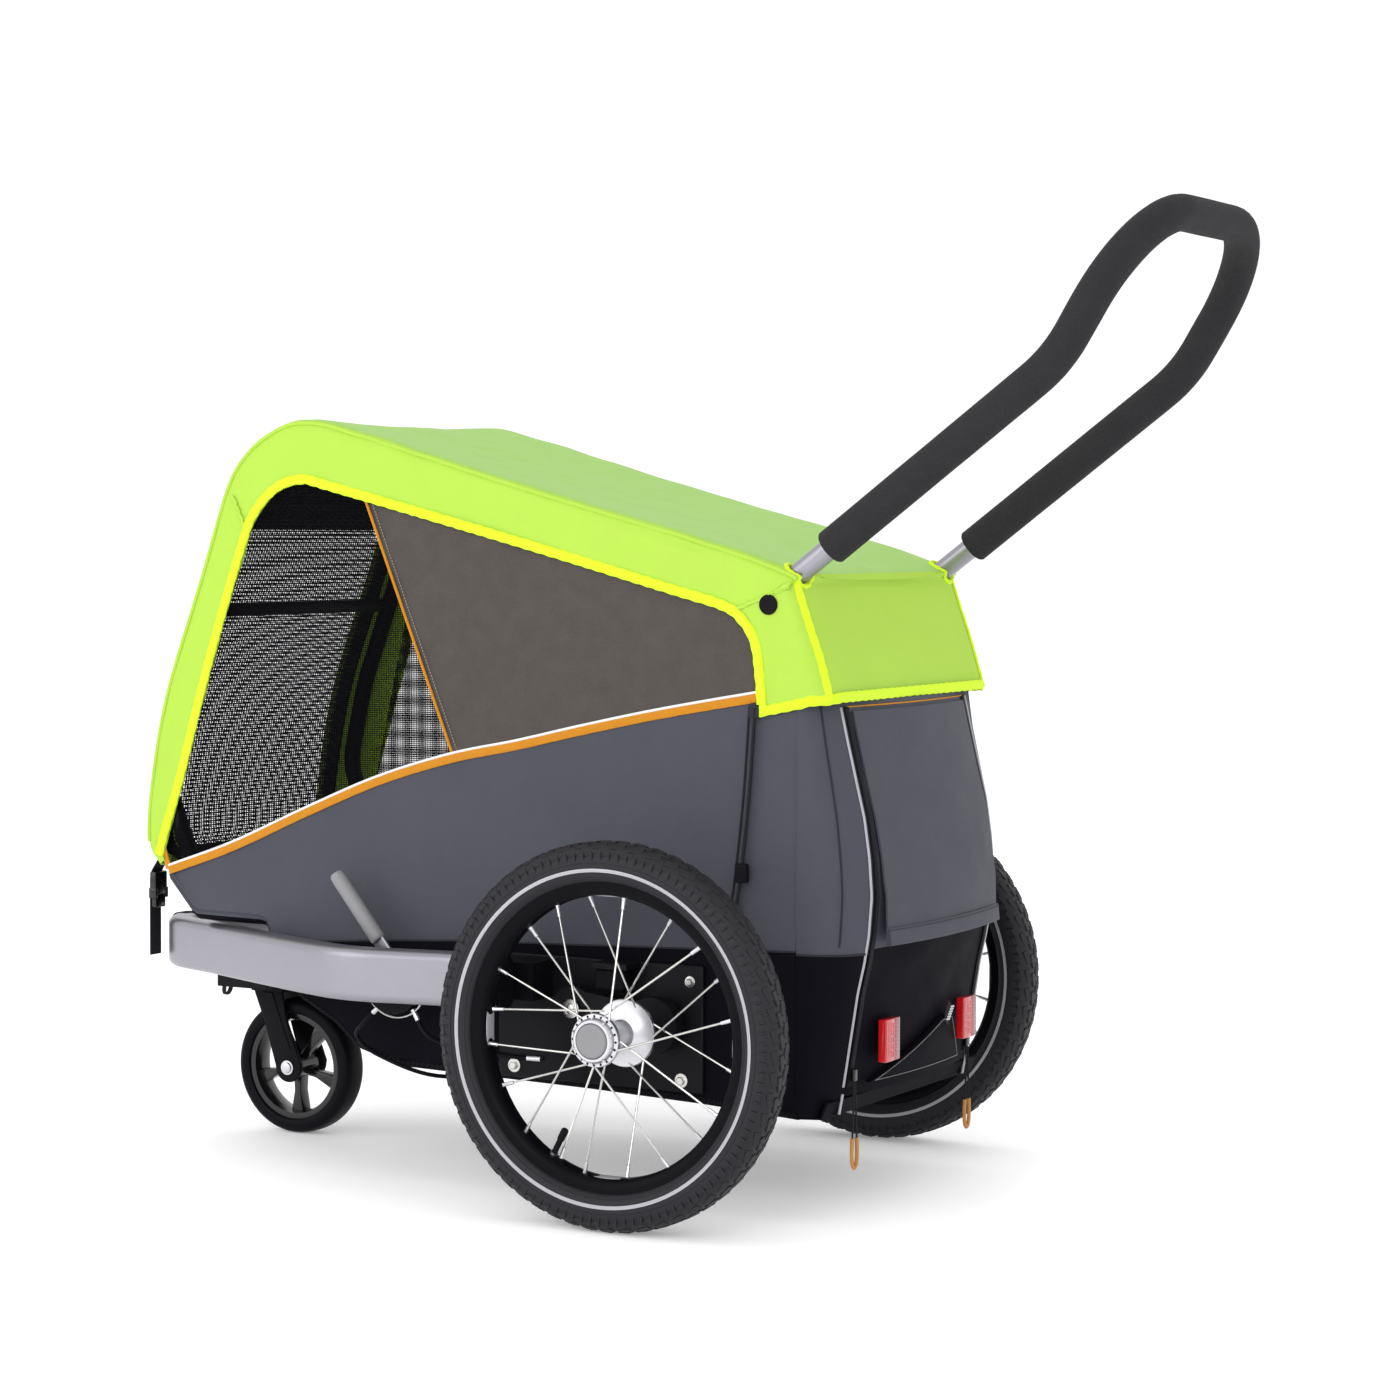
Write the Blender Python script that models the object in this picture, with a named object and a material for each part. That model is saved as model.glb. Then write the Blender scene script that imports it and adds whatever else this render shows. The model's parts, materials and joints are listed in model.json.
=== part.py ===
"""Two-wheeled bicycle trailer in stroller mode: fabric cabin, push bar, bumper and a front caster.

Metres, +Z up, +Y to the rear (where the push bar is), +X to the left-hand wheel. The ground is z = 0.
The body is drawn with y = 0 on the wheel axle; an empty then moves it so that the world origin is the
middle of the length. Heights are those of the body on 400 mm wheels, and BODY_LIFT carries them to others.
"""

import math

import bmesh
import bpy
from mathutils import Vector

# --- driving sizes -----------------------------------------------------------------------------
GAP = 0.0003  # between pieces that touch
RUNNING_GAP = 0.0006  # between pieces that turn or slide on each other

WHEEL_RADIUS = 0.200
TYRE_WIDTH = 0.047
TYRE_HEIGHT = 0.042
RIM_WIDTH = 0.030
RIM_DEPTH = 0.013
HUB_FLANGE_RADIUS = 0.0275
HUB_INNER_FLANGE_RADIUS = 0.035
HUB_HALF_LENGTH = 0.033
HUB_WAIST_RADIUS = 0.014
SPOKE_RADIUS = 0.0012
SPOKES_PER_FLANGE = 10
WHEEL_SIDES = 32
AXLE_RADIUS = 0.006
BUTTON_RADIUS = 0.018
BUTTON_TRAVEL = 0.003
HUB_NOSE = 0.006  # how far the button's collar stands out of the outer flange
WHEEL_OFFSET = 0.1193  # side of the body to the wheel's middle plane

BODY_HALF_WIDTH = 0.197
FABRIC = 0.0025  # wall panels
COVER_FABRIC = 0.002
CORNER_WIDTH = 0.047  # side of the body to the door's zip
CORNER_START_Y = 0.150
DOOR_TOP_Z = 0.540
DOOR_BOTTOM_Z = 0.130
DOOR_BULGE = 0.014
SILL_Y = 0.183
FRAME_TUBE_RADIUS = 0.010
FLOOR_THICKNESS = 0.006
FLAP_HALF_WIDTH, FLAP_LENGTH = 0.138, 0.240
FLAP_DROP = 0.012  # below the top of the door

BUMPER_HEIGHT = 0.058
BUMPER_DEPTH = 0.030
BUMPER_CORNER = 0.010
BUMPER_Z = 0.238

BAR_TUBE_RADIUS = 0.0115
GRIP_RADIUS = 0.019
BAR_HALF_WIDTH = 0.177
BAR_LOW_ANGLE = math.radians(37)
BAR_HIGH_ANGLE = math.radians(59)
BAR_START = (0.086, 0.630)  # y, z of the bottom of its socket
BAR_LOW_LENGTH = 0.424
BAR_HIGH_LENGTH = 0.175
BAR_CORNER_RADIUS = 0.110
GRIP_START = 0.113  # along the tube from its bottom end
GRIP_SIDES = 8
SOCKET_LENGTH = 0.076

CASTER_RADIUS = 0.080
CASTER_WIDTH = 0.038
CASTER_Y = -0.6065
SWIVEL_Y = -0.640
CASTER_RING = 0.018  # depth of the caster's rubber
CASTER_SPOKES = 5
CASTER_SIDES = 28
FORK_LEG = 0.006
CASTER_AXLE_RADIUS = 0.004
BOLT_HEAD_RADIUS = 0.0065
BRACKET_THICKNESS = 0.006
CARRIAGE_HEIGHT = 0.024
CROWN_HEIGHT = 0.010
STEM_RADIUS = 0.008
PIN_RADIUS = 0.003  # of the index pin's shank
PIN_X = 0.016

LEVER_Y, LEVER_Z = -0.309, 0.228
LEVER_ANGLE = math.radians(129)
LEVER_LENGTH = 0.142
BRAKE_HOUSING_RADIUS = 0.035
BRAKE_HOUSING_DEPTH = 0.022
LEVER_PIN_RADIUS = 0.005
LEVER_HUB_RADIUS = 0.014
BLADE_THICKNESS, BLADE_WIDTH = 0.005, 0.015
BLADE_END = 0.070  # along the lever from its pin
CABLE_RADIUS = 0.0024

ARM_PIVOT = (-0.095, 0.212)  # y, z
ARM_THICKNESS = 0.016
PLATE_THICKNESS = 0.005
PIVOT_RADIUS = 0.007
STUB_RADIUS = 0.007  # of the pegs that tie the side plates to the base frame
STUB_YS = (-0.185, 0.020)
RAIL_OFFSET = 0.026  # side of the body to the middle of a rail
CROSS_TUBE_YS = (-0.300, -0.010, 0.148)
NOSE_FOOT = (-0.600, 0.290)  # y, z of the base frame's front cross tube
REAR_CORNER_Y = 0.158
UPRIGHT_RADIUS = 0.009

# --- outlines of the body, as (y, z) ------------------------------------------------------------
CROWN = [
    (-0.668, 0.330), (-0.683, 0.357), (-0.678, 0.427), (-0.656, 0.529), (-0.607, 0.662),
    (-0.573, 0.757), (-0.552, 0.792), (-0.527, 0.814), (-0.497, 0.830), (-0.464, 0.836),
    (-0.409, 0.827), (-0.180, 0.764), (0.032, 0.709), (0.140, 0.676),
]
SEAM = [(0.149, 0.660), (0.163, 0.620), (0.176, 0.585), (0.1885, DOOR_TOP_Z + 0.0015)]
HEM = [
    (-0.660, 0.338), (-0.650, 0.368), (-0.628, 0.429), (-0.597, 0.531), (-0.562, 0.635),
    (-0.537, 0.706), (-0.526, 0.728), (-0.511, 0.745), (-0.492, 0.758), (-0.464, 0.764),
    (-0.429, 0.757), (-0.188, 0.698), (0.000, 0.650), (0.060, 0.636),
    (0.082, 0.622), (0.097, 0.600), (0.103, 0.565), (0.106, 0.525),
]
TRIM = [
    (-0.650, 0.330), (-0.561, 0.361), (-0.461, 0.404), (-0.364, 0.443), (-0.270, 0.471),
    (-0.187, 0.488), (-0.100, 0.508), (0.000, 0.529), (CORNER_START_Y, 0.556),
]
NOSE_TOP = (-0.650, 0.312)
BOUNDARY = [(-0.652, 0.240), (-0.488, 0.254), (-0.365, 0.263), (-0.267, 0.269), (CORNER_START_Y, 0.283)]
BELLY = [
    NOSE_TOP, (-0.614, 0.2715), (-0.516, 0.2700), (-0.500, 0.226), (-0.470, 0.190), (-0.422, 0.165),
    (-0.392, 0.140), (-0.340, 0.125), (-0.100, 0.120), (0.040, 0.115), (CORNER_START_Y, 0.108),
]
BILGE = 0.010  # rounding between the belly and the sides
REAR_PROFILE = [
    (0.110, 0.179), (0.128, 0.183), (0.240, 0.201), (0.270, 0.208), (0.300, 0.213),
    (0.340, 0.216), (0.380, 0.213), (0.420, 0.207), (0.460, 0.197), (0.500, 0.187), (0.560, 0.173),
]  # (z, y) at the zips
PIPING_SLOPE = -0.413  # dy/dz of the seam between window and upper panel
PIPING_FOOT_Y = -0.268

# --- derived places -----------------------------------------------------------------------------
BODY_LIFT = WHEEL_RADIUS - 0.200
RAIL_Z = 0.1285 + FRAME_TUBE_RADIUS
STUB_Z = RAIL_Z + 0.002
RAIL_X = BODY_HALF_WIDTH - RAIL_OFFSET
ARM_X = BODY_HALF_WIDTH + 0.0200  # inner face of the swing arm
WHEEL_X = BODY_HALF_WIDTH + WHEEL_OFFSET
DOOR_HALF_WIDTH = BODY_HALF_WIDTH - CORNER_WIDTH
COVER_HALF_WIDTH = BODY_HALF_WIDTH + GAP + COVER_FABRIC
HOOP_X = BODY_HALF_WIDTH - FABRIC - GAP - FRAME_TUBE_RADIUS
RIM_RADIUS = WHEEL_RADIUS - TYRE_HEIGHT
BUMPER_SIDE_X = BODY_HALF_WIDTH + 0.063
BUMPER_REAR_Y = -0.165
BUMPER_FRONT_Y = -0.692
BUMPER_BOTTOM_Z = BUMPER_Z - BUMPER_HEIGHT / 2
CARRIAGE_TOP_Z = BUMPER_BOTTOM_Z - BRACKET_THICKNESS - 2 * GAP
CROWN_TOP_Z = CARRIAGE_TOP_Z - CARRIAGE_HEIGHT - RUNNING_GAP
STRAP_THICKNESS = 0.0015
FRONT_EXTENT_Y = BUMPER_FRONT_Y - BUMPER_DEPTH / 2 - GAP - STRAP_THICKNESS


def along_bar(distance, sideways=0.0):
    """(y, z) of a point on the straight lower leg of the push bar, moved square to it by sideways."""
    c, s = math.cos(BAR_LOW_ANGLE), math.sin(BAR_LOW_ANGLE)
    return (BAR_START[0] + distance * c - sideways * s, BAR_START[1] + distance * s + sideways * c)


BAR_BEND = along_bar(BAR_LOW_LENGTH)
BAR_TOP_Y = BAR_BEND[0] + BAR_HIGH_LENGTH * math.cos(BAR_HIGH_ANGLE)
GRIP_REACH = GRIP_RADIUS * max(math.cos(BAR_HIGH_ANGLE - math.tau * k / GRIP_SIDES)
                               for k in range(GRIP_SIDES))
REAR_EXTENT_Y = BAR_TOP_Y + GRIP_REACH
Y_SHIFT = -(FRONT_EXTENT_Y + REAR_EXTENT_Y) / 2

# --- finishes: colour, roughness, metallic --------------------------------------------------------
FINISHES = {
    "lime_fabric": ((0.55, 0.86, 0.09), 0.75, 0.0),
    "panel_grey": ((0.085, 0.088, 0.115), 0.8, 0.0),
    "upper_grey": ((0.10, 0.09, 0.08), 0.85, 0.0),
    "black_fabric": ((0.012, 0.011, 0.018), 0.85, 0.0),
    "mesh_fabric": ((0.05, 0.05, 0.055), 0.8, 0.0),
    "aluminium": ((0.62, 0.62, 0.64), 0.35, 1.0),
    "polished": ((0.75, 0.75, 0.77), 0.2, 1.0),
    "black_paint": ((0.02, 0.02, 0.022), 0.5, 0.0),
    "black_plastic": ((0.015, 0.015, 0.017), 0.45, 0.0),
    "grey_plastic": ((0.30, 0.30, 0.32), 0.5, 0.0),
    "rubber": ((0.018, 0.018, 0.02), 0.85, 0.0),
    "foam": ((0.03, 0.029, 0.032), 0.95, 0.0),
    "reflector_red": ((0.65, 0.02, 0.02), 0.15, 0.0),
    "orange_cord": ((0.50, 0.25, 0.04), 0.6, 0.0),
}


# --- small tools ----------------------------------------------------------------------------------
def clear_scene():
    """Removes every object that the scene starts with."""
    for obj in list(bpy.data.objects):
        bpy.data.objects.remove(obj, do_unlink=True)


def finish(name):
    """The material of one finish, made once."""
    material = bpy.data.materials.get(name)
    if material is None:
        colour, roughness, metallic = FINISHES[name]
        material = bpy.data.materials.new(name)
        material.use_nodes = True
        shader = material.node_tree.nodes["Principled BSDF"]
        shader.inputs["Base Color"].default_value = (*colour, 1.0)
        shader.inputs["Roughness"].default_value = roughness
        shader.inputs["Metallic"].default_value = metallic
        material.diffuse_color = (*colour, 1.0)
    return material


def empty(name, location, parent=None):
    """An empty that other objects hang from."""
    obj = bpy.data.objects.new(name, None)
    obj.location = location
    obj.parent = parent
    bpy.context.scene.collection.objects.link(obj)
    return obj


def mesh_object(name, vertices, faces, finish_name, parent, location=(0, 0, 0)):
    """A mesh object with outward normals and smooth round faces."""
    mesh = bpy.data.meshes.new(name)
    mesh.from_pydata([tuple(v) for v in vertices], [], faces)
    tidy = bmesh.new()
    tidy.from_mesh(mesh)
    bmesh.ops.recalc_face_normals(tidy, faces=tidy.faces)
    tidy.to_mesh(mesh)
    tidy.free()
    mesh.shade_smooth()
    mesh.set_sharp_from_angle(angle=math.radians(35))
    obj = bpy.data.objects.new(name, mesh)
    mesh.materials.append(finish(finish_name))
    obj.location = location
    obj.parent = parent
    bpy.context.scene.collection.objects.link(obj)
    return obj


def as_cutter(obj):
    """Keeps a helper out of the part."""
    obj.hide_render = True
    obj.display_type = "WIRE"
    return obj


def combine(obj, other, operation, solver="EXACT"):
    """A Boolean of obj with other, which becomes a helper."""
    boolean = obj.modifiers.new(operation.lower(), "BOOLEAN")
    boolean.operation = operation
    boolean.solver = solver
    boolean.object = as_cutter(other)
    return obj


def box_data(low, high):
    """Corners and faces of a box between two corners."""
    corners = [(x, y, z) for x in (low[0], high[0]) for y in (low[1], high[1]) for z in (low[2], high[2])]
    faces = [(0, 1, 3, 2), (4, 6, 7, 5), (0, 4, 5, 1), (2, 3, 7, 6), (0, 2, 6, 4), (1, 5, 7, 3)]
    return corners, faces


def box(name, low, high, finish_name, parent, bevel=0.0):
    """A box between two corners, with its edges rounded by bevel."""
    obj = mesh_object(name, *box_data(low, high), finish_name, parent)
    if bevel:
        rounding = obj.modifiers.new("bevel", "BEVEL")
        rounding.width = bevel
        rounding.segments = 2
    return obj


def lathe(name, profile, sides, finish_name, parent, location=(0, 0, 0), closed=False):
    """Turns a profile of (x, radius) about the X axis. closed says that it is a ring's section."""
    vertices, faces = [], []
    for step in range(sides):
        angle = math.tau * step / sides
        vertices += [(x, r * math.cos(angle), r * math.sin(angle)) for x, r in profile]
    count = len(profile)
    spans = count if closed else count - 1
    for step in range(sides):
        here, there = step * count, (step + 1) % sides * count
        for k in range(spans):
            after = (k + 1) % count
            faces.append((here + k, here + after, there + after, there + k))
    if not closed:
        faces.append(tuple(step * count for step in range(sides)))
        faces.append(tuple(step * count + count - 1 for step in range(sides)))
    return mesh_object(name, vertices, faces, finish_name, parent, location)


def disc(name, x_low, x_high, radius, sides, finish_name, parent, location=(0, 0, 0)):
    """A plain cylinder along X."""
    return lathe(name, [(x_low, radius), (x_high, radius)], sides, finish_name, parent, location)


def circle_section(radius, sides):
    """Corners of a round section."""
    return [(radius * math.cos(math.tau * k / sides), radius * math.sin(math.tau * k / sides))
            for k in range(sides)]


def rounded_section(width, height, corner, steps=2):
    """Corners of a rounded rectangle."""
    points = []
    centres = ((1, 1, 0), (-1, 1, 90), (-1, -1, 180), (1, -1, 270))
    for sx, sy, start in centres:
        for k in range(steps + 1):
            angle = math.radians(start + 90 * k / steps)
            points.append((sx * (width / 2 - corner) + corner * math.cos(angle),
                           sy * (height / 2 - corner) + corner * math.sin(angle)))
    return points


def sweep_data(path, section, up=Vector((0, 0, 1))):
    """Rings of a section carried along a path, closed by end faces; up is the section's second axis."""
    path = [Vector(p) for p in path]
    vertices, faces = [], []
    for index, point in enumerate(path):
        ahead = (path[min(index + 1, len(path) - 1)] - point)
        behind = (point - path[max(index - 1, 0)])
        tangent = (ahead.normalized() + behind.normalized()).normalized()
        side = tangent.cross(up).normalized()
        top = side.cross(tangent).normalized()
        stretch = 1.0
        if ahead.length and behind.length:
            stretch = 1 / max(0.5, ahead.normalized().dot(tangent))
        in_plane = (ahead.normalized() - behind.normalized())
        lean = abs(in_plane.normalized().dot(side)) if in_plane.length > 1e-6 else 0
        wide = 1 + (stretch - 1) * lean
        tall = 1 + (stretch - 1) * (1 - lean)
        vertices += [point + side * a * wide + top * b * tall for a, b in section]
    count = len(section)
    for ring in range(len(path) - 1):
        for k in range(count):
            after = (k + 1) % count
            faces.append((ring * count + k, ring * count + after,
                          (ring + 1) * count + after, (ring + 1) * count + k))
    faces.append(tuple(range(count)))
    faces.append(tuple((len(path) - 1) * count + k for k in range(count)))
    return vertices, faces


def swept(name, path, section, finish_name, parent, up=Vector((0, 0, 1))):
    """A solid bar of one section along a path."""
    return mesh_object(name, *sweep_data(path, section, up), finish_name, parent)


def smooth_path(points, radius, steps=4):
    """A polyline with each corner rounded by an arc-like curve that starts radius before it."""
    points = [Vector(p) for p in points]
    rounded = [points[0]]
    for before, corner, after in zip(points, points[1:], points[2:]):
        cut = min(radius, (before - corner).length * 0.48, (after - corner).length * 0.48)
        start = corner + (before - corner).normalized() * cut
        end = corner + (after - corner).normalized() * cut
        for k in range(steps + 1):
            t = k / steps
            rounded.append(start * (1 - t) ** 2 + corner * 2 * t * (1 - t) + end * t ** 2)
    rounded.append(points[-1])
    return rounded


def sheet(name, rows, thickness, finish_name, parent, inward):
    """A fabric panel: a grid of points, thickened on the side that inward points to."""
    vertices = [point for row in rows for point in row]
    width = len(rows[0])
    faces = []
    for i in range(len(rows) - 1):
        for j in range(width - 1):
            k = i * width + j
            faces.append((k, k + 1, k + width + 1, k + width))
    mesh = bpy.data.meshes.new(name)
    mesh.from_pydata([tuple(v) for v in vertices], [], faces)
    if mesh.polygons[len(mesh.polygons) // 2].normal.dot(Vector(inward)) > 0:
        mesh.flip_normals()
    mesh.shade_smooth()
    mesh.materials.append(finish(finish_name))
    obj = bpy.data.objects.new(name, mesh)
    obj.parent = parent
    bpy.context.scene.collection.objects.link(obj)
    solid = obj.modifiers.new("thickness", "SOLIDIFY")
    solid.thickness = thickness
    solid.offset = -1
    solid.use_even_offset = True
    return obj


def resample(line, count):
    """count points spread evenly along a polyline of (y, z)."""
    lengths = [math.dist(a, b) for a, b in zip(line, line[1:])]
    total, found = sum(lengths), []
    for k in range(count):
        left, index = total * k / (count - 1), 0
        while index < len(lengths) - 1 and left > lengths[index]:
            left -= lengths[index]
            index += 1
        t = min(1, left / lengths[index])
        a, b = line[index], line[index + 1]
        found.append((a[0] + (b[0] - a[0]) * t, a[1] + (b[1] - a[1]) * t))
    return found


def inset(line, distance):
    """An open polyline of (y, z) moved square to itself, to the right of its direction."""
    moved = []
    for index, point in enumerate(line):
        before, after = line[max(index - 1, 0)], line[min(index + 1, len(line) - 1)]
        dy, dz = after[0] - before[0], after[1] - before[1]
        length = math.hypot(dy, dz)
        moved.append((point[0] + dz / length * distance, point[1] - dy / length * distance))
    return moved


def height_on(line, y):
    """z of a polyline of (y, z) at one y."""
    for (y0, z0), (y1, z1) in zip(line, line[1:]):
        if y0 <= y <= y1:
            return z0 + (z1 - z0) * (y - y0) / (y1 - y0)
    return line[0][1] if y < line[0][0] else line[-1][1]


def rear_y(z):
    """y of the body's rear edge at the zips."""
    return height_on(REAR_PROFILE, z)


def door_y(x, z, offset=0.0):
    """y of the bulging rear door."""
    return rear_y(z) + DOOR_BULGE * (1 - (x / DOOR_HALF_WIDTH) ** 2) + offset


def side_rows(foot, top, side, rows, columns, x=BODY_HALF_WIDTH):
    """A grid on the flat side of the body between two outlines."""
    low = foot if len(foot) == columns else resample(foot, columns)
    high = resample(top, columns)
    grid = []
    for i in range(rows):
        t = i / (rows - 1)
        grid.append([(side * x, a[0] + (b[0] - a[0]) * t, a[1] + (b[1] - a[1]) * t)
                     for a, b in zip(low, high)])
    return grid


# --- frame ----------------------------------------------------------------------------------------
def make_base_frame(body):
    """Two rails with a raised nose, and cross tubes that carry the floor."""
    section = circle_section(FRAME_TUBE_RADIUS, 8)
    plan = [NOSE_FOOT, (-0.490, NOSE_FOOT[1]), (-0.452, 0.212), (-0.380, 0.162), (-0.320, RAIL_Z),
            (REAR_CORNER_Y, RAIL_Z)]
    path = smooth_path([(RAIL_X, y, z) for y, z in plan], 0.03)
    frame = swept("base_frame", path, section, "black_paint", body)
    mirrored = [(-p.x, p.y, p.z) for p in path]
    combine(frame, swept("rail_right_helper", mirrored, section, "black_paint", body), "UNION")
    for index, (y, z) in enumerate([NOSE_FOOT] + [(y, RAIL_Z) for y in CROSS_TUBE_YS]):
        helper = swept(f"cross_helper_{index}", [(-RAIL_X, y, z), (RAIL_X, y, z)], section, "black_paint", body)
        combine(frame, helper, "UNION")
    for side in (1, -1):
        for index, y in enumerate(STUB_YS):
            stub = disc(f"stub_helper_{side}_{index}", 0, side * (RAIL_OFFSET + GAP), STUB_RADIUS, 10,
                        "black_paint", body, (side * RAIL_X, y, STUB_Z))
            combine(frame, stub, "UNION")
        combine(frame, rear_upright(side, body), "UNION")
        cope = socket_shape(f"cope_helper_{side}", side, socket_radius() + GAP, body)
        combine(frame, cope, "DIFFERENCE")


def rear_upright(side, body):
    """The tube from the base frame's rear corner up to the bar socket."""
    x, foot_y = side * RAIL_X, CROSS_TUBE_YS[-1]
    path = smooth_path([(x, foot_y, RAIL_Z), (x, foot_y + 0.004, 0.300), (x, *along_bar(0.030))], 0.12)
    return swept(f"upright_helper_{side}", path, circle_section(UPRIGHT_RADIUS, 8), "black_paint", body,
                 Vector((1, 0, 0)))


def make_floor(body):
    """The stiff board that the load lies on, between the rails and on the cross tubes."""
    half = RAIL_X - FRAME_TUBE_RADIUS - 2 * GAP
    low = RAIL_Z + FRAME_TUBE_RADIUS + GAP
    box("floor_panel", (-half, CROSS_TUBE_YS[0] - 0.025, low),
        (half, CROSS_TUBE_YS[-1] + 0.017, low + FLOOR_THICKNESS), "black_fabric", body, 0.002)


def make_hoop(name, side, body):
    """The side frame tube: up the front corner, over and back along the roof to the bar socket."""
    line = inset(CROWN, COVER_FABRIC + FABRIC + 3 * GAP + FRAME_TUBE_RADIUS)
    points = [(side * HOOP_X, y, z) for y, z in line[2:] if y < 0.04]
    foot = (side * HOOP_X, -0.613, 0.303)
    end_y, _ = along_bar(0.0)
    points.append((side * HOOP_X, end_y - 0.012, height_on(line, end_y - 0.012)))
    swept(name, smooth_path([foot] + points, 0.02, 2), circle_section(FRAME_TUBE_RADIUS, 8),
          "black_paint", body, Vector((1, 0, 0)))


def socket_radius():
    """Outer radius of the fitting, which fills the space between the bar and the side panel."""
    return BODY_HALF_WIDTH - FABRIC - GAP - BAR_HALF_WIDTH


def socket_shape(name, side, radius, body):
    """A cylinder on the bar's axis, as long as the fitting."""
    x = side * BAR_HALF_WIDTH
    return swept(name, [(x, *along_bar(-0.008)), (x, *along_bar(SOCKET_LENGTH))], circle_section(radius, 12),
                 "black_plastic", body)


def make_socket(name, side, body):
    """The plastic corner fitting with the bore that holds the push bar."""
    x = side * BAR_HALF_WIDTH
    socket = socket_shape(name, side, socket_radius(), body)
    bore = swept(name + "_bore_helper", [(x, *along_bar(-GAP)), (x, *along_bar(2 * SOCKET_LENGTH))],
                 circle_section(BAR_TUBE_RADIUS + RUNNING_GAP, 16), "black_plastic", body)
    return combine(socket, bore, "DIFFERENCE")


def make_crossbars(body):
    """Cross tubes between the hoops: one in the front window, one at the rear under the roof."""
    line = inset(CROWN, COVER_FABRIC + FABRIC + 3 * GAP + FRAME_TUBE_RADIUS)
    half = HOOP_X - FRAME_TUBE_RADIUS - GAP
    front_z = 0.622
    front_y = next(y0 + (y1 - y0) * (front_z - z0) / (z1 - z0)
                   for (y0, z0), (y1, z1) in zip(line, line[1:]) if z0 <= front_z <= z1)
    disc("front_crossbar", -half, half, 0.008, 10, "black_paint", body, (0, front_y, front_z))
    socket_half = BAR_HALF_WIDTH - socket_radius() - GAP
    y, z = along_bar(0.035)
    disc("rear_crossbar", -socket_half, socket_half, 0.009, 10, "black_paint", body, (0, y, z))


# --- fabric cabin ----------------------------------------------------------------------------------
def tub_top(y):
    """Height of the trough's side, where the grey side panel starts."""
    return max(height_on(BOUNDARY, y), height_on(BELLY, y) + BILGE + 0.002)


def body_knots():
    """The y values at which the trough's outline turns."""
    return sorted({y for y, _ in BELLY + BOUNDARY if BELLY[0][0] <= y <= CORNER_START_Y})


def tub_rows():
    """Rows of the trough: nose and belly with both sides, then the narrower sill under the door."""
    x, rows = BODY_HALF_WIDTH, []
    for y in body_knots():
        z = height_on(BELLY, y)
        half = [(x, y, tub_top(y)), (x, y, z + BILGE), (x - BILGE * 0.3, y, z + BILGE * 0.3), (x - BILGE, y, z)]
        rows.append(half + [(-a, b, c) for a, b, c in reversed(half)])
    for y, z in ((SILL_Y - 0.004, 0.110), (SILL_Y, 0.127)):
        rows.append([(x - BILGE, y, z), (BILGE - x, y, z)])
    return rows


def build_tub(body):
    """Closes the trough's rows into one shell; its rear rows are narrower than the rest."""
    rows = tub_rows()
    vertices = [point for row in rows for point in row]
    faces, start = [], 0
    for here, there in zip(rows, rows[1:]):
        after = start + len(here)
        shift = (len(here) - len(there)) // 2
        for j in range(len(there) - 1):
            faces.append((start + j + shift, start + j + shift + 1, after + j + 1, after + j))
        start = after
    mesh = bpy.data.meshes.new("tub")
    mesh.from_pydata(vertices, [], faces)
    middle = min(mesh.polygons, key=lambda face: face.center.z)
    if middle.normal.z > 0:
        mesh.flip_normals()
    mesh.materials.append(finish("black_fabric"))
    obj = bpy.data.objects.new("tub", mesh)
    obj.parent = body
    bpy.context.scene.collection.objects.link(obj)
    solid = obj.modifiers.new("thickness", "SOLIDIFY")
    solid.thickness = FABRIC
    solid.offset = -1
    solid.use_even_offset = True
    for side in (1, -1):
        for index, y in enumerate(STUB_YS):
            place = (side * BODY_HALF_WIDTH, y, STUB_Z)
            hole = disc(f"tub_hole_{side}_{index}", -0.01, 0.01, STUB_RADIUS + 2 * GAP, 12,
                        "black_fabric", body, place)
            combine(obj, hole, "DIFFERENCE")


def make_side(side, word, body):
    """Grey panel, window, upper panel and rear corner of one side."""
    inward = (-side, 0, 0)
    foot = [(y, tub_top(y) + 0.0006) for y in body_knots()]
    sheet(f"side_panel_{word}", side_rows(foot, TRIM, side, 4, len(foot)), FABRIC, "panel_grey", body, inward)
    lifted = [(y, z + 0.0010) for y, z in TRIM]
    piping_z = height_on(lifted, PIPING_FOOT_Y)
    roof = inset(CROWN, 0.022)
    top_z = height_on(roof[6:], PIPING_FOOT_Y + PIPING_SLOPE * 0.3)
    top_y = PIPING_FOOT_Y + PIPING_SLOPE * (top_z - piping_z)
    front = [p for p in lifted if p[0] < PIPING_FOOT_Y - 0.02]
    front[0] = (-0.650, 0.3306)
    window_foot = front + [(PIPING_FOOT_Y - 0.0006, piping_z)]
    window_top = [(-0.554, 0.760), (-0.530, 0.788), (-0.500, 0.806), (-0.464, 0.812), (top_y - 0.0006, top_z)]
    sheet(f"side_window_{word}", side_rows(window_foot, window_top, side, 9, 12), FABRIC,
          "mesh_fabric", body, inward)
    panel_foot = [(PIPING_FOOT_Y, piping_z)] + [p for p in lifted if p[0] > PIPING_FOOT_Y + 0.02]
    panel_top = [(top_y, top_z), (-0.180, height_on(roof[6:], -0.180)), (0.128, height_on(roof[6:], 0.128))]
    sheet(f"upper_panel_{word}", side_rows(panel_foot, panel_top, side, 5, 14), FABRIC,
          "upper_grey", body, inward)
    make_corner(f"corner_panel_{word}", side, body)


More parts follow.
